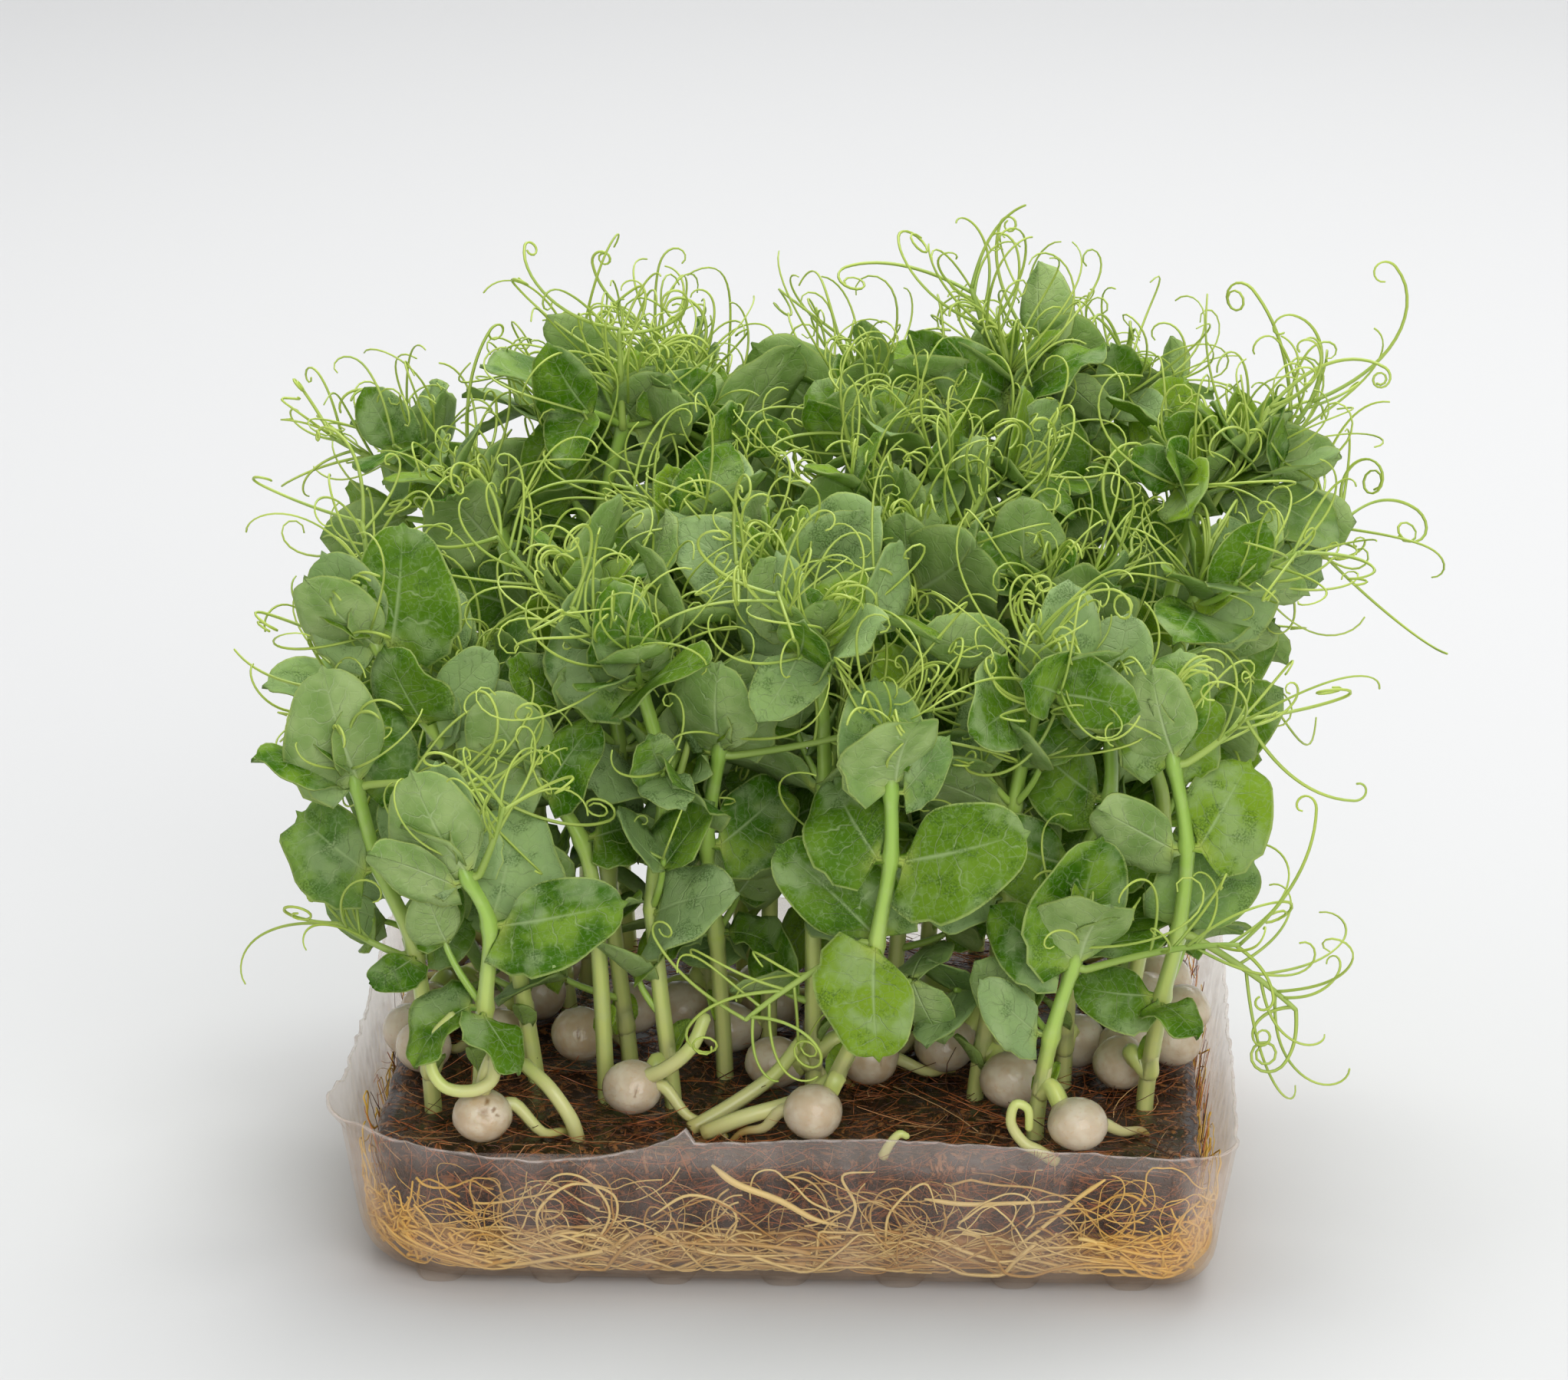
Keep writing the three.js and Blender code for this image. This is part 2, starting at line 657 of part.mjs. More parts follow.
// The stem's rings from its foot up, with two round each joint
function stemRings(plant, extra) {
  const [x, y] = plant.root;
  const line = [new THREE.Vector3(x, y, STEM_COLLAR), ...plant.nodes.map(vector)];
  const points = [new THREE.Vector3(x, y, STEM_FOOT), line[0]];
  for (let i = 1; i < line.length; i += 1) {
    const ahead = line[i + 1] ?? line[i];
    const tangent = ahead.clone().sub(line[i - 1]).normalize();
    points.push(line[i].clone().addScaledVector(tangent, -JOINT / 2));
    points.push(line[i].clone().addScaledVector(tangent, JOINT / 2));
    if (i === line.length - 1) {
      points.push(line[i].clone().addScaledVector(tangent, STEM_TIP));
    }
  }
  const last = points.length - 1;
  const radii = points.map((_, i) => {
    const taper = i === last ? 0.6 : 1;
    return taper * between(STEM_RADIUS, STEM_TIP_RADIUS, Math.max(i - 1, 0) / (last - 1)) + extra;
  });
  const rings = framed(points, stemSide(plant)).map((frame, i) => ring(frame, radii[i], STEM_SIDES));
  return { points, radii, rings };
}

function stemShape(plant, extra) {
  const { points, radii } = stemRings(plant, extra);
  return sweep(points, radii, STEM_SIDES, stemSide(plant));
}

// The four flat sides of a joint: the corners of each, its middle and the way it looks
function jointSides(rings, node) {
  const low = 2 + 2 * node;
  return Array.from({ length: STEM_SIDES }, (_, s) => {
    const next = (s + 1) % STEM_SIDES;
    const [first, above] = [low * STEM_SIDES, (low + 1) * STEM_SIDES];
    const loop = [first + s, first + next, above + next, above + s];
    const corners = [rings[low][s], rings[low][next], rings[low + 1][next], rings[low + 1][s]];
    const normal = corners[1].clone().sub(corners[0]).cross(corners[3].clone().sub(corners[0])).normalize();
    return { loop, middle: centre(corners), normal };
  });
}

// Gives each tendril and then each stipule of a plant the free side of its joint that looks its way
function sidesFor(plant) {
  const { rings } = stemRings(plant, 0);
  const free = plant.nodes.map((_, j) => jointSides(rings, j));
  const take = (node, reach) => {
    const ways = free[node].map((side) => side.normal.dot(reach));
    const best = ways.indexOf(Math.max(...ways));
    return free[node].splice(best, 1)[0];
  };
  const tendrils = plant.tendrils.map(({ node, rachis }) => take(node, vector(rachis)));
  const stipules = plant.stipules.map(([node, x, y, z]) => take(node, new THREE.Vector3(x, y, z)));
  return { tendrils, stipules, unused: free.flat() };
}

// ---------------------------------------------------------------- stipules

// Turns a direction by small seeded angles that grow with each attempt
function shaken(direction, plant, element, attempt) {
  const turned = direction.clone();
  if (attempt === 0) {
    return turned;
  }
  const swing = Math.min(6 + 3 * attempt, 75) * DEG;
  turned.applyAxisAngle(new THREE.Vector3(0, 0, 1), swing * (draw(plant, element, attempt, 1) * 2 - 1));
  const level = new THREE.Vector3(-turned.y, turned.x, 0.001).normalize();
  return turned.applyAxisAngle(level, swing * 0.6 * (draw(plant, element, attempt, 2) * 2 - 1));
}

// Where a stipule's blade lies: its axis, its outer side, its upper normal and how it bends
function stipuleFrame(plants, plant, element, attempt, side) {
  const [, x, y, z, looks, width] = plants[plant].stipules[element];
  const reach = new THREE.Vector3(x, y, z);
  const length = reach.length() * (1 - 0.009 * attempt);
  const axis = shaken(reach.normalize(), plant, element, attempt);
  const normal = vector(LOOKS[looks] ?? looks).normalize();
  if (looks === "up") {
    normal.addScaledVector(new THREE.Vector3(axis.x, axis.y, 0), -0.5);
  }
  normal.x += (0.3 + 0.03 * attempt) * (draw(plant, element, attempt, 3) - 0.5);
  normal.y += (0.3 + 0.03 * attempt) * (draw(plant, element, attempt, 4) - 0.5);
  normal.addScaledVector(axis, -normal.dot(axis)).normalize();
  const across = normal.clone().cross(axis).normalize();
  if (across.dot(side.normal) - 0.3 * across.z < 0) {
    across.negate();
  }
  const frame = {
    origin: new THREE.Vector3(),
    axis,
    across,
    normal,
    length,
    width,
    bend: between(0.15, 1, draw(plant, element, 0, 5)),
    cup: between(0.1, 0.75, draw(plant, element, 0, 6)),
  };
  const [a, b] = [MARGIN[HEEL], MARGIN[HEEL + 1]];
  const heel = bladePoint(frame, (a[0] + b[0]) / 2, (a[1] + b[1]) / 2, 0);
  frame.origin = side.middle.clone().addScaledVector(side.normal, NECK).sub(heel);
  frame.faces = heelWay(frame).dot(side.normal);
  return frame;
}

// The way from the edge that grows from the joint into the blade
function heelWay(frame) {
  const [a, b] = [MARGIN[HEEL], MARGIN[HEEL + 1]];
  const way = frame.axis.clone().multiplyScalar(a[1] - b[1]).addScaledVector(frame.across, b[0] - a[0]);
  return way.normalize();
}

// A point of the blade: along and across are shares of its length, lift is in millimetres.
// The blade arches back along its length and cups along its midrib.
function bladePoint(frame, along, across, lift) {
  const sideways = across * frame.width;
  const cupped = Math.abs(sideways) * frame.cup;
  const spread = (Math.sign(sideways) * Math.sin(cupped)) / frame.cup;
  const height = (1 - Math.cos(cupped)) / frame.cup + lift / frame.length;
  const angle = along * frame.bend;
  const forward = Math.sin(angle) / frame.bend + height * Math.sin(angle);
  const drop = -(1 - Math.cos(angle)) / frame.bend + height * Math.cos(angle);
  return frame.origin
    .clone()
    .addScaledVector(frame.axis, forward * frame.length)
    .addScaledVector(frame.across, spread * frame.length)
    .addScaledVector(frame.normal, drop * frame.length);
}

// The blade's points and triangles. With open, the edge that grows from the joint has no face.
function bladeMesh(frame, extra, open) {
  const grow = 1 + (2.4 * extra) / frame.length;
  const shares = [...MARGIN.map(([a, b]) => [a * grow, b * grow]), RIB];
  const half = BLADE / 2 + extra;
  const points = [half, -half].flatMap((lift) => shares.map(([a, b]) => bladePoint(frame, a, b, lift)));
  const count = MARGIN.length;
  const under = shares.length;
  const triangles = [];
  for (let i = 0; i < count; i += 1) {
    const next = (i + 1) % count;
    triangles.push([count, i, next], [count + under, next + under, i + under]);
    if (!open || i !== HEEL) {
      triangles.push([i, i + under, next + under], [i, next + under, next]);
    }
  }
  const rightHanded = frame.axis.clone().cross(frame.across).dot(frame.normal) > 0;
  const loop = [HEEL, HEEL + under, HEEL + 1 + under, HEEL + 1];
  return {
    points,
    triangles: rightHanded ? triangles : triangles.map(([a, b, c]) => [a, c, b]),
    loop: rightHanded ? loop : loop.reverse(),
  };
}

// ---------------------------------------------------------------- tendrils

// A curved line from start along chord: it turns through `turn` on the way, more and more towards
// its end, in the plane of the chord and `side`
function curl(start, chord, side, turn, shares) {
  const STEPS = 24;
  const flat = [[0, 0]];
  let heading = 0;
  for (let i = 0; i < STEPS; i += 1) {
    const share = (i + 0.5) / STEPS;
    heading += (turn * (0.25 + 1.5 * share)) / STEPS;
    const [px, py] = flat[i];
    flat.push([px + Math.cos(heading), py + Math.sin(heading)]);
  }
  const [ex, ey] = flat[STEPS];
  const size = Math.hypot(ex, ey);
  const along = chord.clone().normalize();
  const off = side.clone().addScaledVector(along, -side.dot(along)).normalize();
  const scale = chord.length() / size;
  return shares.map((share) => {
    const at = Math.min(share * STEPS, STEPS);
    const low = Math.min(Math.floor(at), STEPS - 1);
    const px = between(flat[low][0], flat[low + 1][0], at - low);
    const py = between(flat[low][1], flat[low + 1][1], at - low);
    const forward = ((px * ex + py * ey) / size) * scale;
    const aside = ((py * ex - px * ey) / size) * scale;
    return start.clone().addScaledVector(along, forward).addScaledVector(off, aside);
  });
}

const KNEE = 1; // how far a rachis stands straight out of its joint
const FORK = 1.2; // length of the place on a rachis that a branch grows from
const TIP_SHARES = [0.34, 0.67, 1];

// The lines of one branched tendril: the rachis, which ends in the first branch, and the places
// where the other branches leave it
function tendrilLines(plants, plant, element, attempt, side) {
  const { rachis, tips } = plants[plant].tendrils[element];
  const key = 40 + element;
  const shrink = 1 - 0.009 * attempt;
  const way = vector(rachis);
  const knee = side.middle.clone().addScaledVector(side.normal, KNEE);
  const chord = shaken(way, plant, key, attempt).multiplyScalar(shrink);
  const half = FORK / 2 / chord.length();
  const shares = tips.length > 2 ? [0.35, 0.66 - half, 0.66 + half, 1 - 2 * half, 1] : [0.5, 1 - 2 * half, 1];
  const bow = between(-0.35, 0.35, draw(plant, key, 0, 7));
  const stalk = [knee, ...curl(knee, chord, new THREE.Vector3(0, 0, 1), bow, shares)];
  const end = stalk[stalk.length - 1];
  const branch = (k, start) => {
    const reach = shaken(vector(tips[k]).sub(way), plant, key + 5 + k, attempt);
    const goal = reach.multiplyScalar(shrink).add(end);
    const away = new THREE.Vector3(
      draw(plant, key, k, 8) - 0.5,
      draw(plant, key, k, 9) - 0.5,
      draw(plant, key, k, 10) - 0.5,
    );
    const turn = between(0.7, 2.3, draw(plant, key, k, 11));
    return curl(start, goal.clone().sub(start), away, turn, TIP_SHARES);
  };
  const main = [...stalk, ...branch(0, end)];
  const forks = tips.slice(1).map((_, k) => (tips.length > 2 && k === 0 ? 2 : stalk.length - 2));
  const branches = forks.map((at, k) => {
    const start = stalk[at].clone().lerp(stalk[at + 1], 0.5);
    return { at, start, line: branch(k + 1, start) };
  });
  return { main, stalkCount: stalk.length, branches };
}

function tendrilRadii(count, from, to) {
  return Array.from({ length: count }, (_, i) => between(from, to, i / Math.max(count - 1, 1)));
}

function mainRadii({ main, stalkCount }) {
  return [
    ...tendrilRadii(stalkCount, RACHIS_RADIUS, TENDRIL_RADIUS),
    ...tendrilRadii(main.length - stalkCount + 1, TENDRIL_RADIUS, TENDRIL_TIP_RADIUS).slice(1),
  ];
}

function branchRadii() {
  return tendrilRadii(TIP_SHARES.length + 1, TENDRIL_RADIUS, TENDRIL_TIP_RADIUS);
}

// Plain tubes on a tendril's lines, for testing it against what is near
function tendrilTubes(lines, extra) {
  const main = sweep(lines.main, mainRadii(lines).map((r) => r + extra), 3);
  const branches = lines.branches.map(({ start, line }) => {
    const points = [start.clone().lerp(line[0], 0.3), ...line];
    return sweep(points, branchRadii().map((r) => r + extra), 3);
  });
  return { main, branches };
}

// ---------------------------------------------------------------- one body for each shoot

class Body {
  points = [];
  triangles = [];

  add(points) {
    const first = this.points.length;
    this.points.push(...points);
    return points.map((_, i) => first + i);
  }

  // Closes the gap between two holes that look at each other, with the least twist
  bridge(one, two) {
    const count = one.length;
    const partner = (shift, i) => two[(shift - i + 2 * count) % count];
    const stretch = (shift) =>
      one.reduce((sum, at, i) => sum + this.points[at].distanceTo(this.points[partner(shift, i)]), 0);
    const shifts = one.map((_, i) => i);
    const best = shifts.reduce((a, b) => (stretch(b) < stretch(a) ? b : a));
    one.forEach((at, i) => {
      const next = one[(i + 1) % count];
      this.triangles.push([at, next, partner(best, i + 1)], [at, partner(best, i + 1), partner(best, i)]);
    });
  }

  cover([a, b, c, d]) {
    this.triangles.push([a, b, c], [a, c, d]);
  }

  // Grows a three-sided tube out of a hole with three corners. Returns the bands it is made of.
  tube(hole, line, radii) {
    const middle = centre(hole.map((at) => this.points[at]));
    const side = this.points[hole[0]].clone().sub(middle).normalize();
    const frames = framed([middle, ...line], side).slice(1);
    let loop = hole;
    const bands = frames.map((frame, i) => {
      const above = this.add(ring(frame, radii[i], 3));
      const quads = [0, 1, 2].map((s) => {
        const next = (s + 1) % 3;
        return [loop[s], loop[next], above[next], above[s]];
      });
      loop = above;
      return quads;
    });
    this.triangles.push(loop);
    return bands;
  }

  way([a, b, , d]) {
    const [p, q, r] = [a, b, d].map((at) => this.points[at]);
    return q.clone().sub(p).cross(r.clone().sub(p)).normalize();
  }
}

function growBlade(body, frame, side) {
  const mesh = bladeMesh(frame, 0, true);
  const at = body.add(mesh.points);
  body.triangles.push(...mesh.triangles.map((t) => t.map((i) => at[i])));
  body.bridge(side.loop, mesh.loop.map((i) => at[i]));
}

function growTendril(body, lines, side) {
  const [a, b, c, d] = side.loop;
  body.triangles.push([a, c, d]);
  const bands = body.tube([a, b, c], lines.main, mainRadii(lines));
  const holes = lines.branches.map(({ at, start, line }) => {
    const way = line[0].clone().sub(start);
    const quads = bands[at + 1];
    const looks = quads.map((quad) => (quad.taken ? -Infinity : body.way(quad).dot(way)));
    const quad = quads[looks.indexOf(Math.max(...looks))];
    quad.taken = true;
    return quad;
  });
  bands.flat().forEach((quad) => {
    if (!quad.taken) {
      body.cover(quad);
    }
  });
  holes.forEach(([p, q, r, s], k) => {
    body.triangles.push([p, r, s]);
    const more = body.tube([p, q, r], lines.branches[k].line, branchRadii().slice(1));
    more.flat().forEach((quad) => body.cover(quad));
  });
}

function shootShape(plant, sides, blades, tendrils) {
  const body = new Body();
  const { rings } = stemRings(plant, 0);
  body.add(rings.flat());
  const joints = new Set(plant.nodes.map((_, j) => 2 + 2 * j));
  for (let r = 0; r + 1 < rings.length; r += 1) {
    if (!joints.has(r)) {
      for (let s = 0; s < STEM_SIDES; s += 1) {
        const next = (s + 1) % STEM_SIDES;
        const [first, above] = [r * STEM_SIDES, (r + 1) * STEM_SIDES];
        body.cover([first + s, first + next, above + next, above + s]);
      }
    }
  }
  body.cover([0, 3, 2, 1]);
  const top = (rings.length - 1) * STEM_SIDES;
  body.cover([top, top + 1, top + 2, top + 3]);
  sides.unused.forEach(({ loop }) => body.cover(loop));
  const grow = (all, places, growOne) =>
    all.forEach((side, e) => (places[e] ? growOne(body, places[e], side) : body.cover(side.loop)));
  grow(sides.stipules, blades, growBlade);
  grow(sides.tendrils, tendrils, growTendril);
  return solid(body.points, body.triangles);
}

// ---------------------------------------------------------------- keeping pieces apart

const placed = []; // { plant, shape, box }

function apart(a, b) {
  return [0, 1, 2].some((axis) => a.max[axis] < b.min[axis] || b.max[axis] < a.min[axis]);
}

// True if a piece touches nothing of its own plant and, fattened by the gap, nothing of another
function fits(plant, fat, slim) {
  const box = fat.boundingBox();
  return placed.every(
    (other) =>
      apart(box, other.box) || (other.plant === plant ? slim : fat).intersect(other.shape).isEmpty(),
  );
}

function place(plant, shape) {
  placed.push({ plant, shape, box: shape.boundingBox() });
}

const LEAST_WAY = 0.15; // a blade's heel looks at least this much towards its side of the joint

function placeBlade(plants, plant, element, side) {
  for (let attempt = 0; attempt < TRIES; attempt += 1) {
    const frame = stipuleFrame(plants, plant, element, attempt, side);
    const shape = (extra) => {
      const { points, triangles } = bladeMesh(frame, extra, false);
      return solid(points, triangles);
    };
    const slim = shape(0);
    if (frame.faces > LEAST_WAY && fits(plant, shape(GAP), slim)) {
      place(plant, slim);
      return frame;
    }
  }
  return null;
}

function placeTendril(plants, plant, element, side) {
  for (let attempt = 0; attempt < TRIES; attempt += 1) {
    const lines = tendrilLines(plants, plant, element, attempt, side);
    const slim = tendrilTubes(lines, 0);
    const fat = tendrilTubes(lines, GAP);
    const parts = [slim.main, ...slim.branches];
    const tangled = parts.some((one, i) => parts.slice(0, i).some((two) => !one.intersect(two).isEmpty()));
    const clear = parts.every((part, i) => fits(plant, [fat.main, ...fat.branches][i], part));
    if (!tangled && clear) {
      parts.forEach((part) => place(plant, part));
      return lines;
    }
  }
  return null;
}

// ---------------------------------------------------------------- seeds

// Where the seeds nearest the front lie on the coir (x, y)
const SEEDS = [
  [-43.5, -45.5], [-22.6, -33.5], [4, -43], [42, -46], [31.4, -27], [22.5, -14],
  [48.4, -11], [-31.6, -11.5], [-9.7, -7], [-2.4, -22], [-57, -10], [-55, -2.4],
  [-37, 9.5], [-44.6, 11.5], [58, 3], [-17, 2],
];
const SEED_PITCH = 7.5; // between two seeds that have grown together
const SEED_STEP = 14; // from a seed to the start of another group
const SEED_FRONT = -24; // in front of this, only the seeds placed by hand lie

function seedFree(index, spot) {
  const fat = seedShape(index, spot, GAP);
  return placed.every(({ shape, box }) => apart(fat.boundingBox(), box) || fat.intersect(shape).isEmpty());
}

// The seeds placed by hand, each moved a little where a stem stands in its way, and then more in
// touching groups round them
function seedSpots() {
  const nudged = ([x, y], i) => {
    for (let attempt = 0; attempt < TRIES; attempt += 1) {
      const reach = 0.15 * attempt;
      const turn = draw(i, 72, attempt, 1) * 2 * Math.PI;
      const spot = [x + reach * Math.cos(turn), y + reach * Math.sin(turn)];
      if (seedFree(i, spot)) {
        return spot;
      }
    }
    throw new Error(`no room for seed ${i}`);
  };
  const spots = SEEDS.map(nudged);
  const inside = (x, y) => Math.abs(x) < RIM_WIDTH / 2 - 8 && y > SEED_FRONT && y < RIM_DEPTH / 2 - 8;
  for (let attempt = 0; attempt < SEED_TRIES && spots.length < SEED_COUNT; attempt += 1) {
    const host = spots[Math.floor(draw(0, 70, attempt, 1) * spots.length)];
    const turn = draw(0, 70, attempt, 2) * 2 * Math.PI;
    const reach = draw(0, 70, attempt, 3) < 0.7 ? SEED_PITCH : SEED_STEP;
    const spot = [host[0] + reach * Math.cos(turn), host[1] + reach * Math.sin(turn)];
    const near = spots.map((s) => Math.hypot(s[0] - spot[0], s[1] - spot[1]));
    const clean = near.every(
      (d) => d > SEED_PITCH - 0.2 && (d < SEED_PITCH + 0.1 || d > SEED_RADIUS * 2.2),
    );
    if (inside(...spot) && clean && seedFree(spots.length, spot)) {
      spots.push(spot);
    }
  }
  return spots;
}

function seedShape(index, [x, y], extra) {
  const wide = SEED_RADIUS * between(0.96, 1.05, draw(index, 71, 0, 1)) + extra;
  const tall = SEED_RADIUS * between(0.86, 0.98, draw(index, 71, 0, 2)) + extra;
  const matrix = new THREE.Matrix4()
    .makeTranslation(x, y, SEED_FLOOR - extra + tall)
    .multiply(new THREE.Matrix4().makeRotationZ(draw(index, 71, 0, 3) * Math.PI))
    .multiply(new THREE.Matrix4().makeScale(wide, wide * 0.95, tall));
  return solidOf(new THREE.SphereGeometry(1, 6, 4), matrix);
}

// Groups of seeds that touch, each one fused
function seedGroups(spots) {
  const group = spots.map((_, i) => i);
  spots.forEach((a, i) => {
    spots.slice(0, i).forEach((b, j) => {
      if (Math.hypot(a[0] - b[0], a[1] - b[1]) < SEED_TOUCH) {
        const old = group[i];
        group.forEach((g, k) => {
          if (g === old) {
            group[k] = group[j];
          }
        });
      }
    });
  });
  return [...new Set(group)].map((g) => spots.map((_, i) => i).filter((i) => group[i] === g));
}

// ---------------------------------------------------------------- assembly

const plants = allPlants();
const seedPlaces = seedSpots();
const seedShapes = seedGroups(seedPlaces).map((members) =>
  members.map((i) => seedShape(i, seedPlaces[i], 0)).reduce((a, b) => a.add(b)),
);
seedShapes.forEach((shape) => place(-1, shape));

const shoots = plants.map((plant, i) => {
  const sides = sidesFor(plant);
  const blades = sides.stipules.map((side, e) => placeBlade(plants, i, e, side));
  const tendrils = sides.tendrils.map((side, e) => placeTendril(plants, i, e, side));
  return shootShape(plant, sides, blades, tendrils);
});

let coir = matShape(COIR_BOTTOM, COIR_TOP, COIR_INSET, 0.7, 4);
plants.forEach((plant) => {
  const [x, y] = plant.root;
  const radius = STEM_RADIUS + HOLE_CLEARANCE;
  const hole = [new THREE.Vector3(x, y, STEM_FOOT - GAP), new THREE.Vector3(x, y, COIR_TOP + 4)];
  coir = coir.subtract(sweep(hole, [radius, radius], STEM_SIDES, stemSide(plant)));
});

const MATERIALS = {
  tray: new THREE.MeshStandardMaterial({
    color: 0xd9dcdf,
    roughness: 0.25,
    transparent: true,
    opacity: 0.35,
  }),
  coir: new THREE.MeshStandardMaterial({ color: 0x3a2620, roughness: 0.95 }),
  roots: new THREE.MeshStandardMaterial({ color: 0xd8be84, roughness: 0.7 }),
  seeds: new THREE.MeshStandardMaterial({ color: 0xd9c4a2, roughness: 0.55 }),
  shoots: new THREE.MeshStandardMaterial({ color: 0x5f8f4a, roughness: 0.6 }),
};

const group = new THREE.Group();
group.add(meshOf("tray", trayShape(), MATERIALS.tray));
group.add(meshOf("root_mat", rootShape(), MATERIALS.roots));
group.add(meshOf("coir_mat", coir, MATERIALS.coir));
const numbered = (stem, i) => `${stem}_${String(i + 1).padStart(2, "0")}`;
seedShapes.forEach((shape, i) => group.add(meshOf(numbered("seeds", i), shape, MATERIALS.seeds)));
shoots.forEach((shape, i) => group.add(meshOf(numbered("shoot", i), shape, MATERIALS.shoots)));

export default group;
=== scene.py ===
"""A tray of pea shoots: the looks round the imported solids.

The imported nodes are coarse. The same rules that placed their stems, leaves, tendrils and seeds are
worked through again here, each placing is looked up among the node's corners, and a fine piece is
grown on it. Lengths are in millimetres until a mesh is made, but the camera's, the floor's and the
lights' own are in metres.
"""
import math
from functools import partial
from types import SimpleNamespace

import bpy
import numpy as np
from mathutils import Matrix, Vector, bvhtree, kdtree, noise


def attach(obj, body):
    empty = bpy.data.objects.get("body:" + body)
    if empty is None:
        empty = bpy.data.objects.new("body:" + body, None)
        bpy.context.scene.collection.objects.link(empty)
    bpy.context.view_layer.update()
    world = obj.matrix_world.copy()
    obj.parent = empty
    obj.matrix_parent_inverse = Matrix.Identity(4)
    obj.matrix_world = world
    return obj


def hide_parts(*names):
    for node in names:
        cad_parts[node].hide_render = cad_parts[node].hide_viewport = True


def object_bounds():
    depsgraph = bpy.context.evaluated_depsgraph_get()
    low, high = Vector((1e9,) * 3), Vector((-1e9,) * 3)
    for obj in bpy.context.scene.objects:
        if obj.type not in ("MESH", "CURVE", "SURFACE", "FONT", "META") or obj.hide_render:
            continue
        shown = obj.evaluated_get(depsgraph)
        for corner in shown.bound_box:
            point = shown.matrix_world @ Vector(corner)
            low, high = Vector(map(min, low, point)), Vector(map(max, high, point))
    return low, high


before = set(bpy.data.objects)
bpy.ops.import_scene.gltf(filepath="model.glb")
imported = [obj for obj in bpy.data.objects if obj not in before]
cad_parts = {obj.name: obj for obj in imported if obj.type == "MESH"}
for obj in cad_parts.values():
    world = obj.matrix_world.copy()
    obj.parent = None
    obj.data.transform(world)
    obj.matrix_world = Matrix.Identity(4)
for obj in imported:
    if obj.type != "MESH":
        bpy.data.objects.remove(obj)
cad_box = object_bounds()

MM = 0.001
DEG = math.pi / 180
TURN = 2 * math.pi
UP = np.array([0.0, 0.0, 1.0])

# ---------------------------------------------------------------- camera

CAMERA_PLACE = (0.03234, -0.94617, 0.36326)
CAMERA_PITCH = 16.917  # degrees below the horizon
CAMERA_YAW = 2.065  # degrees to the left of +Y
CAMERA_LENS = 153.8
CAMERA_SENSOR = 36
CAMERA_CLIP = (0.05, 20)


def make_camera():
    data = bpy.data.cameras.new("camera")
    data.lens = CAMERA_LENS
    data.sensor_fit = "HORIZONTAL"
    data.sensor_width = CAMERA_SENSOR
    data.clip_start, data.clip_end = CAMERA_CLIP
    camera = bpy.data.objects.new("camera", data)
    camera.location = CAMERA_PLACE
    camera.rotation_euler = ((90 - CAMERA_PITCH) * DEG, 0, CAMERA_YAW * DEG)
    bpy.context.scene.collection.objects.link(camera)
    bpy.context.scene.camera = camera


make_camera()

# ---------------------------------------------------------------- the part's own measures

RIM_WIDTH = 130
RIM_DEPTH = 110
RIM_HEIGHT = 24
WALL = 0.9
FOOT_HEIGHT = 1.2
FOOT_WIDTH = 9
FOOT_PITCH = 16.6
FOOT_COUNT = 7
FOOT_INSET = 6.6
CORNERS = {"front_right": 8, "back_right": 10, "back_left": 12, "front_left": 17}
# (height, inset from the rim) up the tray's wall
TRAY_PROFILE = [(FOOT_HEIGHT, 7.5), (2.6, 4.6), (6.5, 2.8), (RIM_HEIGHT, 0)]

ROOT_BOTTOM = 2.5
ROOT_TOP = 8.4
COIR_BOTTOM = 9.2
COIR_TOP = 20
COIR_INSET = 4.6
ROOT_INSET = 1.7
ROOT_REACH = (54, 44)  # how far from the middle roots lie on the floor and the mat, along X and Y
FIBRE_REACH = (59, 49)  # the same for the fibres on the coir

SEED_RADIUS = 4.4
SEED_COUNT = 38
SEED_TRIES = 4000
SEED_FLOOR = 21
SEED_PITCH = 7.5
SEED_STEP = 14
SEED_FRONT = -24

STEM_RADIUS = 1.5
STEM_TIP_RADIUS = 1.15
STEM_TIP = 3
JOINT = 1.7
STEM_FOOT = 14
STEM_COLLAR = 22.5

BLADE = 0.75
NECK = 0.9
TRIES = 36
# The corners of a stipule's margin from its tip round: (along, across) in shares of its length
MARGIN = [
    (1, 0), (0.74, 0.37), (0.24, 0.56), (-0.26, 0.34),
    (-0.13, 0.02), (-0.05, -0.1), (0.3, -0.37), (0.74, -0.32),
]
RIB = (0.38, 0.03)
HEEL = 4  # this corner and the one after it are at the stem

KNEE = 1
FORK = 1.2

# ---------------------------------------------------------------- seeded draws

HASH = SimpleNamespace(plant=374761393, element=668265263, attempt=2246822519, channel=3266489917)
WORD = 2**32

# Where the keys of each kind of added thing start, so that few share their draws
KEYS = SimpleNamespace(
    inner_pair=400, tuft=500, pair_leaf=900, side_shoot=1000, gap_shoot=1500, low_shoot=2000, bract=3000,
    curling_root=1000, corner_root=2000, side_fibre=5000,
)

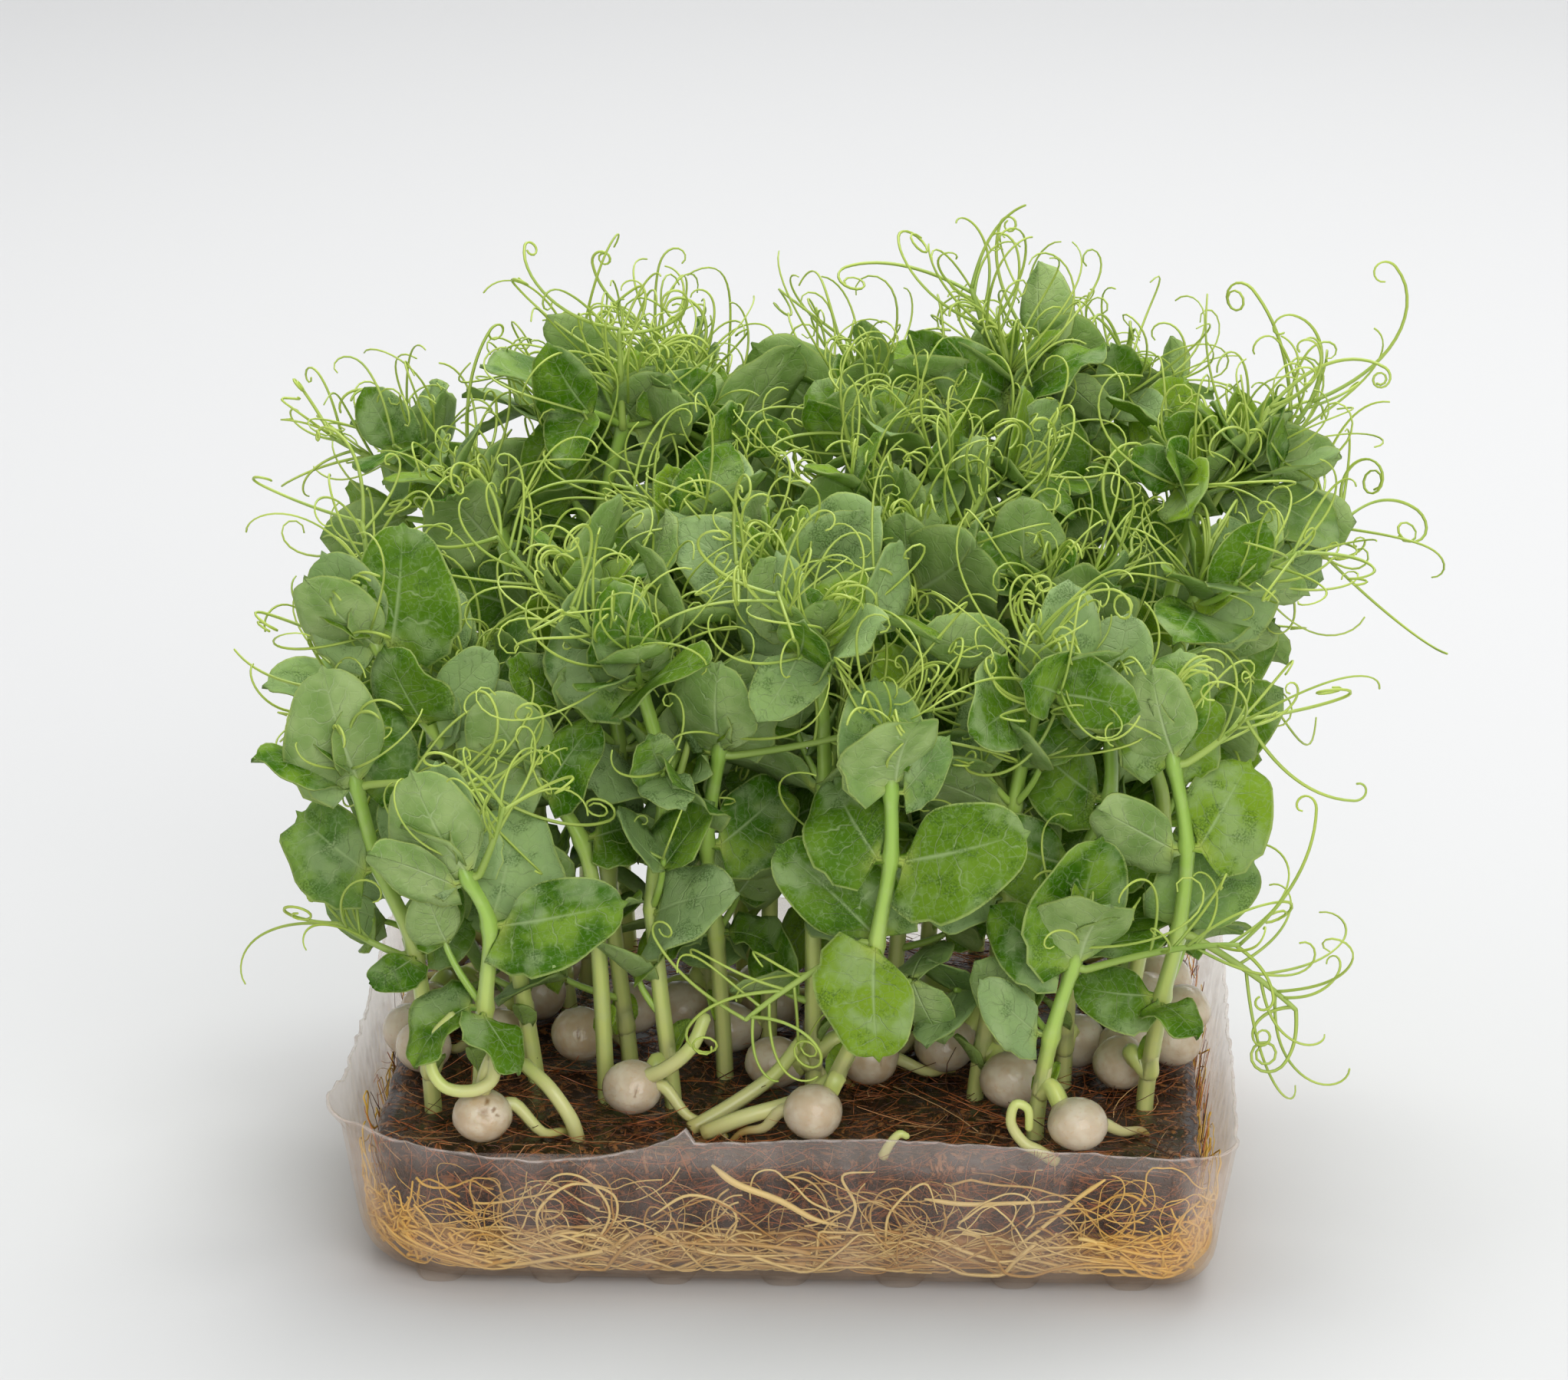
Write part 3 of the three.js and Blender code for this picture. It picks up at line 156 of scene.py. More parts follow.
# The element that stands for each kind of draw in the hash
FOR = SimpleNamespace(
    leaf=7, coil=8, tendril_tone=9, finish=10, stem=11, bract=12, arch=13, leaf_tone=14,
    radicle_way=15, radicle=16, low_shoot=17, extra=20, branch=30, tendril=40, comb=50, comb_tooth=51,
    pair=60, pair_leaf=61, front_pair=64, seed_try=70, seed=71, seed_shift=72, pea=73, root=74,
    root_step=75, floor_root=76, floor_step=77, root_look=78, root_bend=79, cell=80, top_fibre=82,
    side_fibre=83, fibre=84, tuft_tone=89, tuft=90, side_shoot=120, side_tone=121,
)


def draw(plant, element, attempt, channel):
    """One draw from 0 to 1, always the same for the same plant, element, attempt and channel."""
    h = (plant + 1) * HASH.plant + (element + 1) * HASH.element
    h = (h + (attempt + 1) * HASH.attempt + (channel + 1) * HASH.channel) % WORD
    h = ((h ^ (h >> 15)) * HASH.attempt) % WORD
    h = ((h ^ (h >> 13)) * HASH.channel) % WORD
    return (h ^ (h >> 16)) / WORD


def between(low, high, share):
    return low + (high - low) * share


def vec(*numbers):
    return np.array(numbers, float)


def unit(v):
    return v / math.sqrt(v @ v)


def cross(a, b):
    return vec(a[1] * b[2] - a[2] * b[1], a[2] * b[0] - a[0] * b[2], a[0] * b[1] - a[1] * b[0])


def within(point, reach):
    return abs(point[0]) < reach[0] and abs(point[1]) < reach[1]


def columned(*columns):
    """Rows of numbers, made from arrays that hold one number of each row."""
    return np.stack(columns, -1)


def outward(turn, rise=0):
    """A way out from the Z axis, turned from +X by this angle."""
    return vec(math.cos(turn), math.sin(turn), rise)


def turned(v, axis, angle):
    c = math.cos(angle)
    s = math.sin(angle)
    return v * c + cross(axis, v) * s + axis * ((axis @ v) * (1 - c))


# ---------------------------------------------------------------- plants listed one by one

# The ways that the upper face of a leaf can look
LOOKS = {
    "front": (0, -1, 0.35),
    "back": (0, 1, 0.2),
    "up": (0, -0.25, 1),
    "left": (-1, -0.5, 0.5),
    "right": (1, -0.5, 0.5),
}


def plant_at(root, nodes, stipules, tendrils, turn=0):
    """stipules: (node, x, y, z from the joint to the tip, where the upper face looks, width).
    tendrils: (node, rachis, tips), all measured from the joint."""
    return SimpleNamespace(root=root, nodes=nodes, stipules=stipules, tendrils=tendrils, turn=turn)


PLANTS = [
    plant_at(
        (-52, -31),
        [(-54, -33, 45), (-59, -33, 58), (-62, -33, 70)],
        [
            (0, -6, -1, -3, "front", 1), (0, 6, 2, 4, "front", 0.9), (1, -10, 1, 9, "front", 1.05),
            (1, 6, 7, 12, "front", 1), (2, -9.5, -4, 8, "up", 0.9), (2, 9, 8, 10, "front", 1),
        ],
        [
            (0, (-9, -2, 5), [(-17, -4, 8), (-12, -4, 13)]),
            (2, (16, -3, 1), [(25, -4, 13), (18, -3, 14), (35, -6, -3)]),
        ],
    ),
    plant_at(
        (-44.5, -38),
        [(-43, -45, 41), (-42, -47, 54), (-45, -47, 61)],
        [
            (0, -9, -5, -4, "up", 1.1), (0, 5, -6, -5, "up", 1), (1, 17, -5, 3, "front", 0.85),
            (1, 3, 6, 15, "front", 1), (2, -11, -2, 7, "back", 0.7), (2, -4, 6, 8, "front", 1),
        ],
        [
            (2, (4, -6, 12), [(-4, -7, 20), (14, -8, 17)]),
        ],
    ),
    plant_at(
        (5, -35),
        [(12, -45, 42), (13, -47, 52), (15, -48, 65), (15, -48, 75)],
        [
            (1, -13, -1, 12, "front", 0.8), (1, 1, -6, -13, "front", 1.05),
            (2, -5, 5, 15, "front", 1.05), (2, 15, -4, 6, "front", 1.05), (3, 5, -2, 8, "front", 0.7),
        ],
        [
            (1, (-19, -6, -10), [(-34, -6, 3), (-27, -7, -16), (-10, -8, -20)]),
            (3, (-2, 6, 10), [(-8, 8, 16), (6, 4, 17)]),
        ],
    ),
    plant_at(
        (-10, -16),
        [(-11, -20, 44), (-12, -27, 60), (-10, -31, 75)],
        [
            (0, 7, -4, 1, "up", 1), (0, -5, -4, 0, "up", 1), (1, -12, -7, 5, "front", 1.1),
            (1, 9, 5, 8, "front", 1), (2, -2, 2, 14, "back", 1.1), (2, 6, 9, -5, "front", 1),
        ],
        [
            (2, (27, -3, 8), [(33, -2, 18), (40, -6, 2), (36, 0, 10)]),
        ],
    ),
    plant_at(
        (36, -38),
        [(38, -43, 37), (41, -44, 48)],
        [
            (0, -7, -2, 8, "front", 0.8), (1, 12, 2, 5, "up", 0.7), (1, -9, 4, 7, "front", 0.9),
        ],
        [
            (1, (24, 1, 1), [(36, 2, 22), (32, 1, 6), (31, -1, -5)]),
        ],
    ),
    plant_at(
        (52, -26),
        [(54, -34, 40), (56, -38, 51), (57, -38, 64), (55, -37, 76)],
        [
            (0, 5, -6, 1, "up", 1.1), (0, -9, -5, 2, "front", 1), (1, 11, 0, 10, "front", 0.9),
            (2, 3, 3, 14, "front", 1.05), (2, -10, -3, 8, "back", 0.9), (3, 8, 2, 9, "right", 0.9),
        ],
        [
            (1, (15, -3, -10), [(13, -5, -18), (9, -5, -14)]),
            (3, (8, 0, 7), [(24, 2, -6), (22, 0, 10)]),
        ],
    ),
    plant_at(
        (40, -17),
        [(41, -23, 46), (42, -26, 57), (46, -28, 68), (46, -30, 79)],
        [
            (0, 13, -9, 8, "up", 0.8), (1, -11, -6, 8, "front", 0.9), (1, 10, 5, 6, "front", 0.8),
            (2, -11, 4, 6, "front", 1), (3, 10, -2, 6, "up", 0.8),
        ],
        [
            (3, (-9, -4, 6), [(-16, -7, 12), (-18, -5, -5), (-4, -8, 17)]),
        ],
    ),
    plant_at(
        (-27, -25),
        [(-28, -29, 50), (-30, -29, 61), (-35, -29, 69)],
        [
            (0, 6, -3, 3, "up", 0.8), (0, -6, -1, -2, "up", 0.8), (1, 10, 3, 5, "front", 1),
            (2, -9, 5, 12, "front", 1), (2, 6, 5, 11, "front", 0.9),
        ],
        [
            (2, (8, -5, 9), [(22, -7, 12), (4, -8, 19), (16, -5, 0)]),
        ],
    ),
    plant_at(
        (-38, -18),
        [(-44, -22, 60), (-53, -24, 78), (-59, -25, 88)],
        [
            (0, -10, -3, 6, "front", 0.9), (1, -13, -3, 9, "front", 1), (1, 10, -2, 6, "front", 0.9),
            (2, 1, 0, 16, "front", 1.05), (2, 9, -3, 10, "left", 0.9),
        ],
        [
            (1, (-13, 0, 1), [(-32, -1, 0), (-19, 0, 6)]),
            (2, (-3, 6, 17), [(-18, 14, 20), (-9, 14, 29)]),
        ],
    ),
    plant_at(
        (-33, 24),
        [(-32, 24, 74), (-31, 26, 92), (-27, 28, 108)],
        [
            (0, -12, -4, 6, "front", 1), (1, -14, 0, 5, "up", 0.9), (1, 10, -8, 7, "front", 1),
            (2, -15, -4, 12, "up", 0.9), (2, 5, -4, 12, "back", 1),
        ],
        [
            (2, (4, 2, 16), [(-10, 2, 31), (-16, 2, 21), (16, 4, 18)]),
            (1, (-20, -4, 14), [(-34, -6, 20), (-24, -6, 2)]),
        ],
    ),
    plant_at(
        (30, 30),
        [(31, 32, 76), (32, 33, 94), (31, 34, 112)],
        [
            (0, 12, -6, 5, "front", 1), (1, -13, -4, 7, "front", 0.9), (1, 12, -4, 6, "front", 1),
            (2, 10, 2, 9, "up", 0.8), (2, -9, -6, 8, "front", 0.9),
        ],
        [
            (2, (-4, 1, 16), [(4, 1, 29), (-15, 1, 24), (-23, 2, 19)]),
        ],
    ),
    plant_at(
        (50, 22),
        [(57, 21, 72), (62, 20, 89), (66, 20, 102)],
        [
            (0, 8, -6, 11, "front", 0.9), (1, 18, -6, 2, "back", 1), (1, -10, -6, 8, "front", 1),
            (2, 14, -4, -4, "up", 1), (2, -8, -6, 10, "front", 1),
        ],
        [
            (2, (8, 1, 13), [(20, 0, 34), (-1, 2, 30), (5, -2, 27)]),
            (1, (16, -7, 16), [(32, -10, 15), (30, -17, -8), (20, -8, 26)]),
        ],
    ),
]

# ---------------------------------------------------------------- plants placed by rule

# The grid of cells that a plant is tried in, and how far it keeps clear of the others
FILL = SimpleNamespace(columns=6, rows=5, pitch_x=18.5, pitch_y=18, jitter=5, clear=9.5)
PLANT_LIMIT = 36
SOWING = 440  # which of the many possible sets of plants is grown
# A seeded plant's height, and how it leans, sways and zigzags, in millimetres; rise is for each one of Y
GROWTH = SimpleNamespace(
    height=82, rise=0.34, spread=10, shoulder=21, crown=10, lean_x=13, lean_y=9, sway=8, zigzag=1.4
)


def seeded_plant(index, x, y, attempt):
    pick = partial(draw, index, SOWING, attempt)
    out_x = x / (RIM_WIDTH / 2 - 5)
    out_y = y / (RIM_DEPTH / 2 - 3)
    fall = max((GROWTH.crown - x) / (RIM_WIDTH / 2 - 5), 0) ** 3
    height = GROWTH.height + GROWTH.rise * (y + 40) + GROWTH.spread * (pick(1) - 0.5)
    height -= GROWTH.shoulder * fall
    top_x = x + GROWTH.lean_x * out_x + GROWTH.sway * (pick(2) - 0.5)
    top_y = y + GROWTH.lean_y * out_y + GROWTH.sway * (pick(3) - 0.5)
    turn = math.atan2(out_y, out_x) / DEG + between(-70, 70, pick(4))
    shares = [between(0.38, 0.5, pick(5)), between(0.66, 0.76, pick(6)), 0.97]
    nodes = []
    stipules = []
    tendrils = []
    for j, share in enumerate(shares):
        aside = -GROWTH.zigzag if j % 2 else GROWTH.zigzag
        node_x = between(x, top_x, share) + aside * math.cos(turn * DEG)
        node_y = between(y, top_y, share) + aside * math.sin(turn * DEG)
        nodes.append((node_x, node_y, between(STEM_COLLAR, height, share)))
        leaf_turn = turn + 180 * j + between(-25, 25, pick(10 + j))
        for hand in (-1, 1):
            slot = 20 + 4 * j + hand
            if j == 0 and pick(slot + 100) < 0.35:
                continue
            azimuth = (leaf_turn + hand * between(50, 88, pick(slot))) * DEG
            low, high = (20, 62) if j == 2 else (-5, 42)
            rise = between(low, high, pick(slot + 20)) * DEG
            length = between(14, 18, pick(slot + 40)) * (0.85 if j == 0 else 1)
            tilt = between(0.1, 1.4, pick(slot + 60))
            level = length * math.cos(rise)
            looks = (tilt * math.cos(leaf_turn * DEG), tilt * math.sin(leaf_turn * DEG), 0.75)
            reach = (level * math.cos(azimuth), level * math.sin(azimuth), length * math.sin(rise))
            stipules.append((j, *reach, looks, between(0.88, 1.15, pick(slot + 80))))
        if j > 0:
            tendrils.append(seeded_tendril(index, j, leaf_turn))
    return plant_at((x, y), nodes, stipules, tendrils, turn)


def seeded_tendril(index, j, turn):
    pick = partial(draw, index, SOWING + 1 + j, 0)

    def reached(length, lift, azimuth):
        return length * vec(
            math.cos(lift) * math.cos(azimuth), math.cos(lift) * math.sin(azimuth), math.sin(lift)
        )

    rachis = reached(between(12, 20, pick(2)), between(25, 65, pick(1)) * DEG, turn * DEG)
    tips = []
    for k in range(2):
        spread = (turn + between(-85, 85, pick(10 + k))) * DEG
        lift = between(-20, 75, pick(20 + k)) * DEG
        tips.append(rachis + reached(between(10, 19, pick(30 + k)), lift, spread))
    return (j, rachis, tips)


# ---------------------------------------------------------------- looking a placing up in the solids

SAME = 0.02  # two corners nearer than this are the same corner


class Corners:
    """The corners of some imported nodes, to look computed ones up among."""

    def __init__(self, names):
        places = {}
        for name in names:
            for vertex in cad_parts[name].data.vertices:
                places.setdefault(tuple(round(c / MM, 3) for c in vertex.co), name)
        self.names = list(places.values())
        self.tree = kdtree.KDTree(len(places))
        for i, place in enumerate(places):
            self.tree.insert(place, i)
        self.tree.balance()

    def holds(self, points, share=1.0):
        """True if at least this share of the points are corners of the nodes."""
        allowed = len(points) - math.ceil(share * len(points))
        missed = 0
        for p in points:
            if self.tree.find(p)[2] > SAME:
                missed += 1
                if missed > allowed:
                    return False
        return True

    def ringed(self, point):
        """True if the three nearest corners stand evenly round the point."""
        near = []
        for corner, _, _ in self.tree.find_n(point, 6):
            if all((corner - other).length > SAME / 4 for other in near):
                near.append(corner)
        middle = sum(near[:3], Vector()) / 3
        return (middle - Vector(point)).length < SAME

    def node_of(self, point):
        """The name of the node whose corner is nearest to the point."""
        return self.names[self.tree.find(point)[1]]


def framed(points, first_side):
    """Carries a side direction along the points without letting it twist."""
    side = first_side
    frames = []
    last = len(points) - 1
    for i, p in enumerate(points):
        tangent = unit(points[min(i + 1, last)] - points[max(i - 1, 0)])
        side = unit(side - tangent * (side @ tangent))
        frames.append((p, side, cross(tangent, side)))
    return frames


def stem_line(plant):
    """The middle of the stem's solid: its foot, its collar, both ends of each joint, and its tip."""
    x, y = plant.root
    line = [vec(x, y, STEM_COLLAR), *[vec(*n) for n in plant.nodes]]
    points = [vec(x, y, STEM_FOOT), line[0]]
    for i in range(1, len(line)):
        ahead = line[min(i + 1, len(line) - 1)]
        tangent = unit(ahead - line[i - 1])
        points.append(line[i] - tangent * (JOINT / 2))
        points.append(line[i] + tangent * (JOINT / 2))
    points.append(line[-1] + tangent * STEM_TIP)
    return points


def stem_rings(plant):
    points = stem_line(plant)
    last = len(points) - 1
    turn = (plant.turn + 45) * DEG
    rings = []
    for i, (p, side, other) in enumerate(framed(points, outward(turn))):
        radius = between(STEM_RADIUS, STEM_TIP_RADIUS, max(i - 1, 0) / (last - 1))
        radius *= 0.6 if i == last else 1
        rings.append([p + side * radius, p + other * radius, p - side * radius, p - other * radius])
    return rings


def sides_for(plant):
    """Gives each tendril and then each stipule the free side of its joint that looks its way."""
    rings = stem_rings(plant)
    free = []
    for node in range(len(plant.nodes)):
        low = rings[2 + 2 * node]
        high = rings[3 + 2 * node]
        sides = []
        for s in range(4):
            t = (s + 1) % 4
            normal = unit(cross(low[t] - low[s], high[s] - low[s]))
            middle = (low[s] + low[t] + high[s] + high[t]) / 4
            sides.append(SimpleNamespace(middle=middle, normal=normal))
        free.append(sides)

    def take(node, reach):
        ways = [side.normal @ reach for side in free[node]]
        return free[node].pop(ways.index(max(ways)))

    tendrils = [take(node, vec(*rachis)) for node, rachis, _ in plant.tendrils]
    stipules = [take(node, vec(x, y, z)) for node, x, y, z, _, _ in plant.stipules]
    return tendrils, stipules


def shaken(direction, plant, element, attempt):
    """Turns a direction by a seeded angle that may be larger with each attempt."""
    if attempt == 0:
        return direction
    swing = min(6 + 3 * attempt, 75) * DEG
    spun = turned(direction, UP, swing * (draw(plant, element, attempt, 1) * 2 - 1))
    level = unit(vec(-spun[1], spun[0], 0.001))
    return turned(spun, level, swing * 0.6 * (draw(plant, element, attempt, 2) * 2 - 1))


def blade_points(blade, along, across, lift):
    """Points of a blade: along and across are shares of its length, lift is in millimetres.
    The blade arches back along its length and cups along its midrib."""
    sideways = across * blade.width
    cupped = np.abs(sideways) * blade.cup
    spread = np.sign(sideways) * np.sin(cupped) / blade.cup
    height = (1 - np.cos(cupped)) / blade.cup + lift / blade.length
    angle = along * blade.bend
    forward = np.sin(angle) / blade.bend + height * np.sin(angle)
    drop = height * np.cos(angle) - (1 - np.cos(angle)) / blade.bend
    return (
        blade.origin
        + np.multiply.outer(forward * blade.length, blade.axis)
        + np.multiply.outer(spread * blade.length, blade.across)
        + np.multiply.outer(drop * blade.length, blade.normal)
    )


def stipule_blade(plant, index, element, attempt, side):
    _, x, y, z, looks, width = plant.stipules[element]
    reach = vec(x, y, z)
    axis = shaken(unit(reach), index, element, attempt)
    normal = unit(vec(*LOOKS.get(looks, looks) if isinstance(looks, str) else looks))
    if looks == "up":
        normal = normal - 0.5 * vec(axis[0], axis[1], 0)
    swing = 0.3 + 0.03 * attempt
    normal = normal + swing * vec(
        draw(index, element, attempt, 3) - 0.5, draw(index, element, attempt, 4) - 0.5, 0
    )
    normal = unit(normal - axis * (normal @ axis))
    across = unit(cross(normal, axis))
    if across @ side.normal - 0.3 * across[2] < 0:
        across = -across
    blade = SimpleNamespace(
        origin=vec(0, 0, 0),
        axis=axis,
        across=across,
        normal=normal,
        length=math.sqrt(reach @ reach) * (1 - 0.009 * attempt),
        width=width,
        bend=between(0.15, 1, draw(index, element, 0, 5)),
        cup=between(0.1, 0.75, draw(index, element, 0, 6)),
        foot=side.middle - side.normal * NECK,
    )
    a, b = MARGIN[HEEL], MARGIN[HEEL + 1]
    heel = blade_points(blade, (a[0] + b[0]) / 2, (a[1] + b[1]) / 2, 0)
    blade.origin = side.middle + side.normal * NECK - heel
    return blade


MARGIN_ALONG = np.array([a for a, _ in MARGIN], float)
MARGIN_ACROSS = np.array([b for _, b in MARGIN], float)


def found_blade(corners, plant, index, element, side):
    """The blade that the solids hold, or None where it was left out."""
    for attempt in range(TRIES):
        blade = stipule_blade(plant, index, element, attempt, side)
        if corners.holds(blade_points(blade, MARGIN_ALONG, MARGIN_ACROSS, BLADE / 2)):
            return blade
    return None


CURL_STEPS = 24


def curl(start, chord, side, turn, shares):
    """A curved line from start along chord: it turns through `turn` on the way, more and more
    towards its end, in the plane of the chord and `side`."""
    steps = CURL_STEPS
    share = (np.arange(steps) + 0.5) / steps
    heading = np.cumsum(turn * (0.25 + 1.5 * share) / steps)
    px = np.concatenate([[0], np.cumsum(np.cos(heading))])
    py = np.concatenate([[0], np.cumsum(np.sin(heading))])
    size = math.hypot(px[-1], py[-1])
    length = math.sqrt(chord @ chord)
    along = chord / length
    off = unit(side - along * (side @ along))
    at = np.minimum(np.array(shares) * steps, steps)
    x = np.interp(at, np.arange(steps + 1), px)
    y = np.interp(at, np.arange(steps + 1), py)
    forward = (x * px[-1] + y * py[-1]) / size * length / size
    aside = (y * px[-1] - x * py[-1]) / size * length / size
    return start + np.multiply.outer(forward, along) + np.multiply.outer(aside, off)


def tendril_plan(plant, index, element, attempt, side):
    """The curves of one branched tendril: its stalk, and (start, chord, side, turn) of each branch."""
    _, rachis, tips = plant.tendrils[element]
    key = FOR.tendril + element
    shrink = 1 - 0.009 * attempt
    way = vec(*rachis)
    knee = side.middle + side.normal * KNEE
    chord = shaken(way, index, key, attempt) * shrink
    half = FORK / 2 / math.sqrt(chord @ chord)
    forks = len(tips) > 2
    shares = [0.35, 0.66 - half, 0.66 + half, 1 - 2 * half, 1] if forks else [0.5, 1 - 2 * half, 1]
    bow = between(-0.35, 0.35, draw(index, key, 0, 7))
    stalk = [knee, *curl(knee, chord, UP, bow, shares)]
    end = stalk[-1]

    def branch(k, start):
        reach = shaken(vec(*tips[k]) - way, index, key + 5 + k, attempt)
        away = vec(*[draw(index, key, k, channel) - 0.5 for channel in (8, 9, 10)])
        turn = between(0.7, 2.3, draw(index, key, k, 11))
        return (start, reach * shrink + end - start, away, turn)

    branches = [branch(0, end)]
    for k in range(1, len(tips)):
        at = 2 if forks and k == 1 else len(stalk) - 2
        branches.append(branch(k, (stalk[at] + stalk[at + 1]) / 2))
    return SimpleNamespace(knee=knee, chord=chord, bow=bow, foot=side.middle, branches=branches)


def found_tendril(corners, plant, index, element, side):
    """The curves of the tendril that the solids hold, or None where it was left out."""
    for attempt in range(TRIES):
        plan = tendril_plan(plant, index, element, attempt, side)
        ends = [start + chord for start, chord, _, _ in plan.branches]
        if corners.ringed(plan.knee) and all(corners.ringed(p) for p in ends):
            return plan
    return None


def found_plant(index, x, y):
    """The seeded plant whose stem is the one in the solids."""
    corners = Corners([f"shoot_{index + 1:02d}"])
    for attempt in range(TRIES):
        plant = seeded_plant(index, x, y, attempt)
        if corners.holds([p for ring in stem_rings(plant) for p in ring]):
            return plant
    raise RuntimeError(f"shoot {index + 1} isn't where its rule puts it")


def all_plants():
    """The listed plants, and then one for each cell of the grid that has room for it."""
    plants = list(PLANTS)
    for cell in range(FILL.rows * FILL.columns):
        row, column = divmod(cell, FILL.columns)
        x = (column - (FILL.columns - 1) / 2) * FILL.pitch_x + (4 if row % 2 else -4)
        y = (row - (FILL.rows - 1) / 2) * FILL.pitch_y + 8
        x += FILL.jitter * (draw(cell, FOR.cell, 0, 1) - 0.5) * 2
        y = min(y + FILL.jitter * (draw(cell, FOR.cell, 0, 2) - 0.5) * 2, 43)
        free = all(math.hypot(p.root[0] - x, p.root[1] - y) > FILL.clear for p in plants)
        if free and len(plants) < PLANT_LIMIT:
            plants.append(found_plant(len(plants), x, y))
    return plants


# ---------------------------------------------------------------- seeds in the solids

# The X and Y of the listed seeds
SEEDS = [
    (-43.5, -45.5), (-22.6, -33.5), (4, -43), (42, -46), (31.4, -27), (22.5, -14),
    (48.4, -11), (-31.6, -11.5), (-9.7, -7), (-2.4, -22), (-57, -10), (-55, -2.4),
    (-37, 9.5), (-44.6, 11.5), (58, 3), (-17, 2),
]


def seed_at(index, x, y):
    wide = SEED_RADIUS * between(0.96, 1.05, draw(index, FOR.seed, 0, 1))
    tall = SEED_RADIUS * between(0.86, 0.98, draw(index, FOR.seed, 0, 2))
    turn = draw(index, FOR.seed, 0, 3) * math.pi
    centre = vec(x, y, SEED_FLOOR + tall)
    return SimpleNamespace(index=index, centre=centre, wide=wide, tall=tall, turn=turn, peak=None)


def seed_corners(seed):
    """The corners of the node's coarse seed: two poles and three rings of six."""
    points = []
    for v in range(5):
        for u in range(1 if v in (0, 4) else 6):
            around = TURN * u / 6
            down = math.pi * v / 4
            x = -math.cos(around) * math.sin(down) * seed.wide
            y = math.cos(down) * seed.wide * 0.95
            z = math.sin(around) * math.sin(down) * seed.tall
            points.append(seed.centre + turned(vec(x, y, z), UP, seed.turn))
    return points


# The share of a seed's corners that has to be found, because fused neighbours swallow the others
SEED_SHARE = 0.6


def found_seeds():
    """The listed seeds and those placed by rule that the solids hold, each with the node that holds it."""
    corners = Corners([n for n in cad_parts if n.startswith("seeds_")])
    seeds = []
    for i, (x, y) in enumerate(SEEDS):
        for attempt in range(TRIES):
            turn = draw(i, FOR.seed_shift, attempt, 1) * TURN
            reach = 0.15 * attempt
            seed = seed_at(i, x + reach * math.cos(turn), y + reach * math.sin(turn))
            if corners.holds(seed_corners(seed), SEED_SHARE):
                break
        seeds.append(seed)
    for attempt in range(SEED_TRIES):
        host = seeds[math.floor(draw(0, FOR.seed_try, attempt, 1) * len(seeds))].centre
        turn = draw(0, FOR.seed_try, attempt, 2) * TURN
        reach = SEED_PITCH if draw(0, FOR.seed_try, attempt, 3) < 0.7 else SEED_STEP
        x = host[0] + reach * math.cos(turn)
        y = host[1] + reach * math.sin(turn)
        near = [math.hypot(s.centre[0] - x, s.centre[1] - y) for s in seeds]
        clean = all(
            d > SEED_PITCH - 0.2 and (d < SEED_PITCH + 0.1 or d > SEED_RADIUS * 2.2) for d in near
        )
        inside = abs(x) < RIM_WIDTH / 2 - 8 and SEED_FRONT < y < RIM_DEPTH / 2 - 8
        if inside and clean and len(seeds) < SEED_COUNT:
            seed = seed_at(len(seeds), x, y)
            if corners.holds(seed_corners(seed), SEED_SHARE):
                seeds.append(seed)
    for seed in seeds:
        names = [corners.node_of(p) for p in seed_corners(seed)]
        seed.node = max(set(names), key=names.count)
    return seeds


# ---------------------------------------------------------------- meshes

class Skin:
    """Collects closed shells, in millimetres, into the mesh of one piece.

    marks and flats are three numbers at each point, which the materials read."""

    def __init__(self, name, materials):
        self.name = name
        self.materials = materials
        self.points = []
        self.marks = []
        self.flats = []
        self.faces = []
        self.looks = []
        self.count = 0

    def add(self, points, faces, look, marks, flats):
        self.points.append(points)
        self.marks.append(marks)
        self.flats.append(flats)
        for block in faces:
            self.faces.extend((block + self.count).tolist())
            self.looks.append(np.full(len(block), self.materials.index(look)))
        self.count += len(points)

    def finish(self, slot, *nodes):
        mesh = bpy.data.meshes.new(self.name)
        mesh.from_pydata((np.concatenate(self.points) * MM).tolist(), [], self.faces)
        for material in self.materials:
            mesh.materials.append(bpy.data.materials[material])
        mesh.polygons.foreach_set("material_index", np.concatenate(self.looks))
        mesh.polygons.foreach_set("use_smooth", np.ones(len(self.faces), bool))
        for label, values in (("marks", self.marks), ("flat", self.flats)):
            attribute = mesh.attributes.new(label, "FLOAT_VECTOR", "POINT")
            attribute.data.foreach_set("vector", np.concatenate(values).astype(np.float32).ravel())
        mesh.update()
        piece = bpy.data.objects.new(self.name, mesh)
        bpy.context.scene.collection.objects.link(piece)
        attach(piece, "root")
        if nodes:
            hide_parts(*nodes)
        return piece


def hill(x, middle, width):
    """A smooth hill of height 1 at the middle."""
    return np.exp(-(((x - middle) / width) ** 2))


def ring_quads(rings, sides, first=0):
    """The faces between rings of points that follow one another, from the first point on."""
    base = first + np.arange(rings - 1)[:, None] * sides
    here = np.arange(sides)[None, :]
    following = (here + 1) % sides
    quads = [base + here, base + following, base + sides + following, base + sides + here]
    return np.stack(quads, -1).reshape(-1, 4)


def end_fans(low, first, high, last, sides):
    """Triangles from the point `low` round the first ring and from `high` round the last one."""
    fans = [(low, first + (i + 1) % sides, first + i) for i in range(sides)]
    fans += [(high, last + i, last + (i + 1) % sides) for i in range(sides)]
    return np.array(fans)


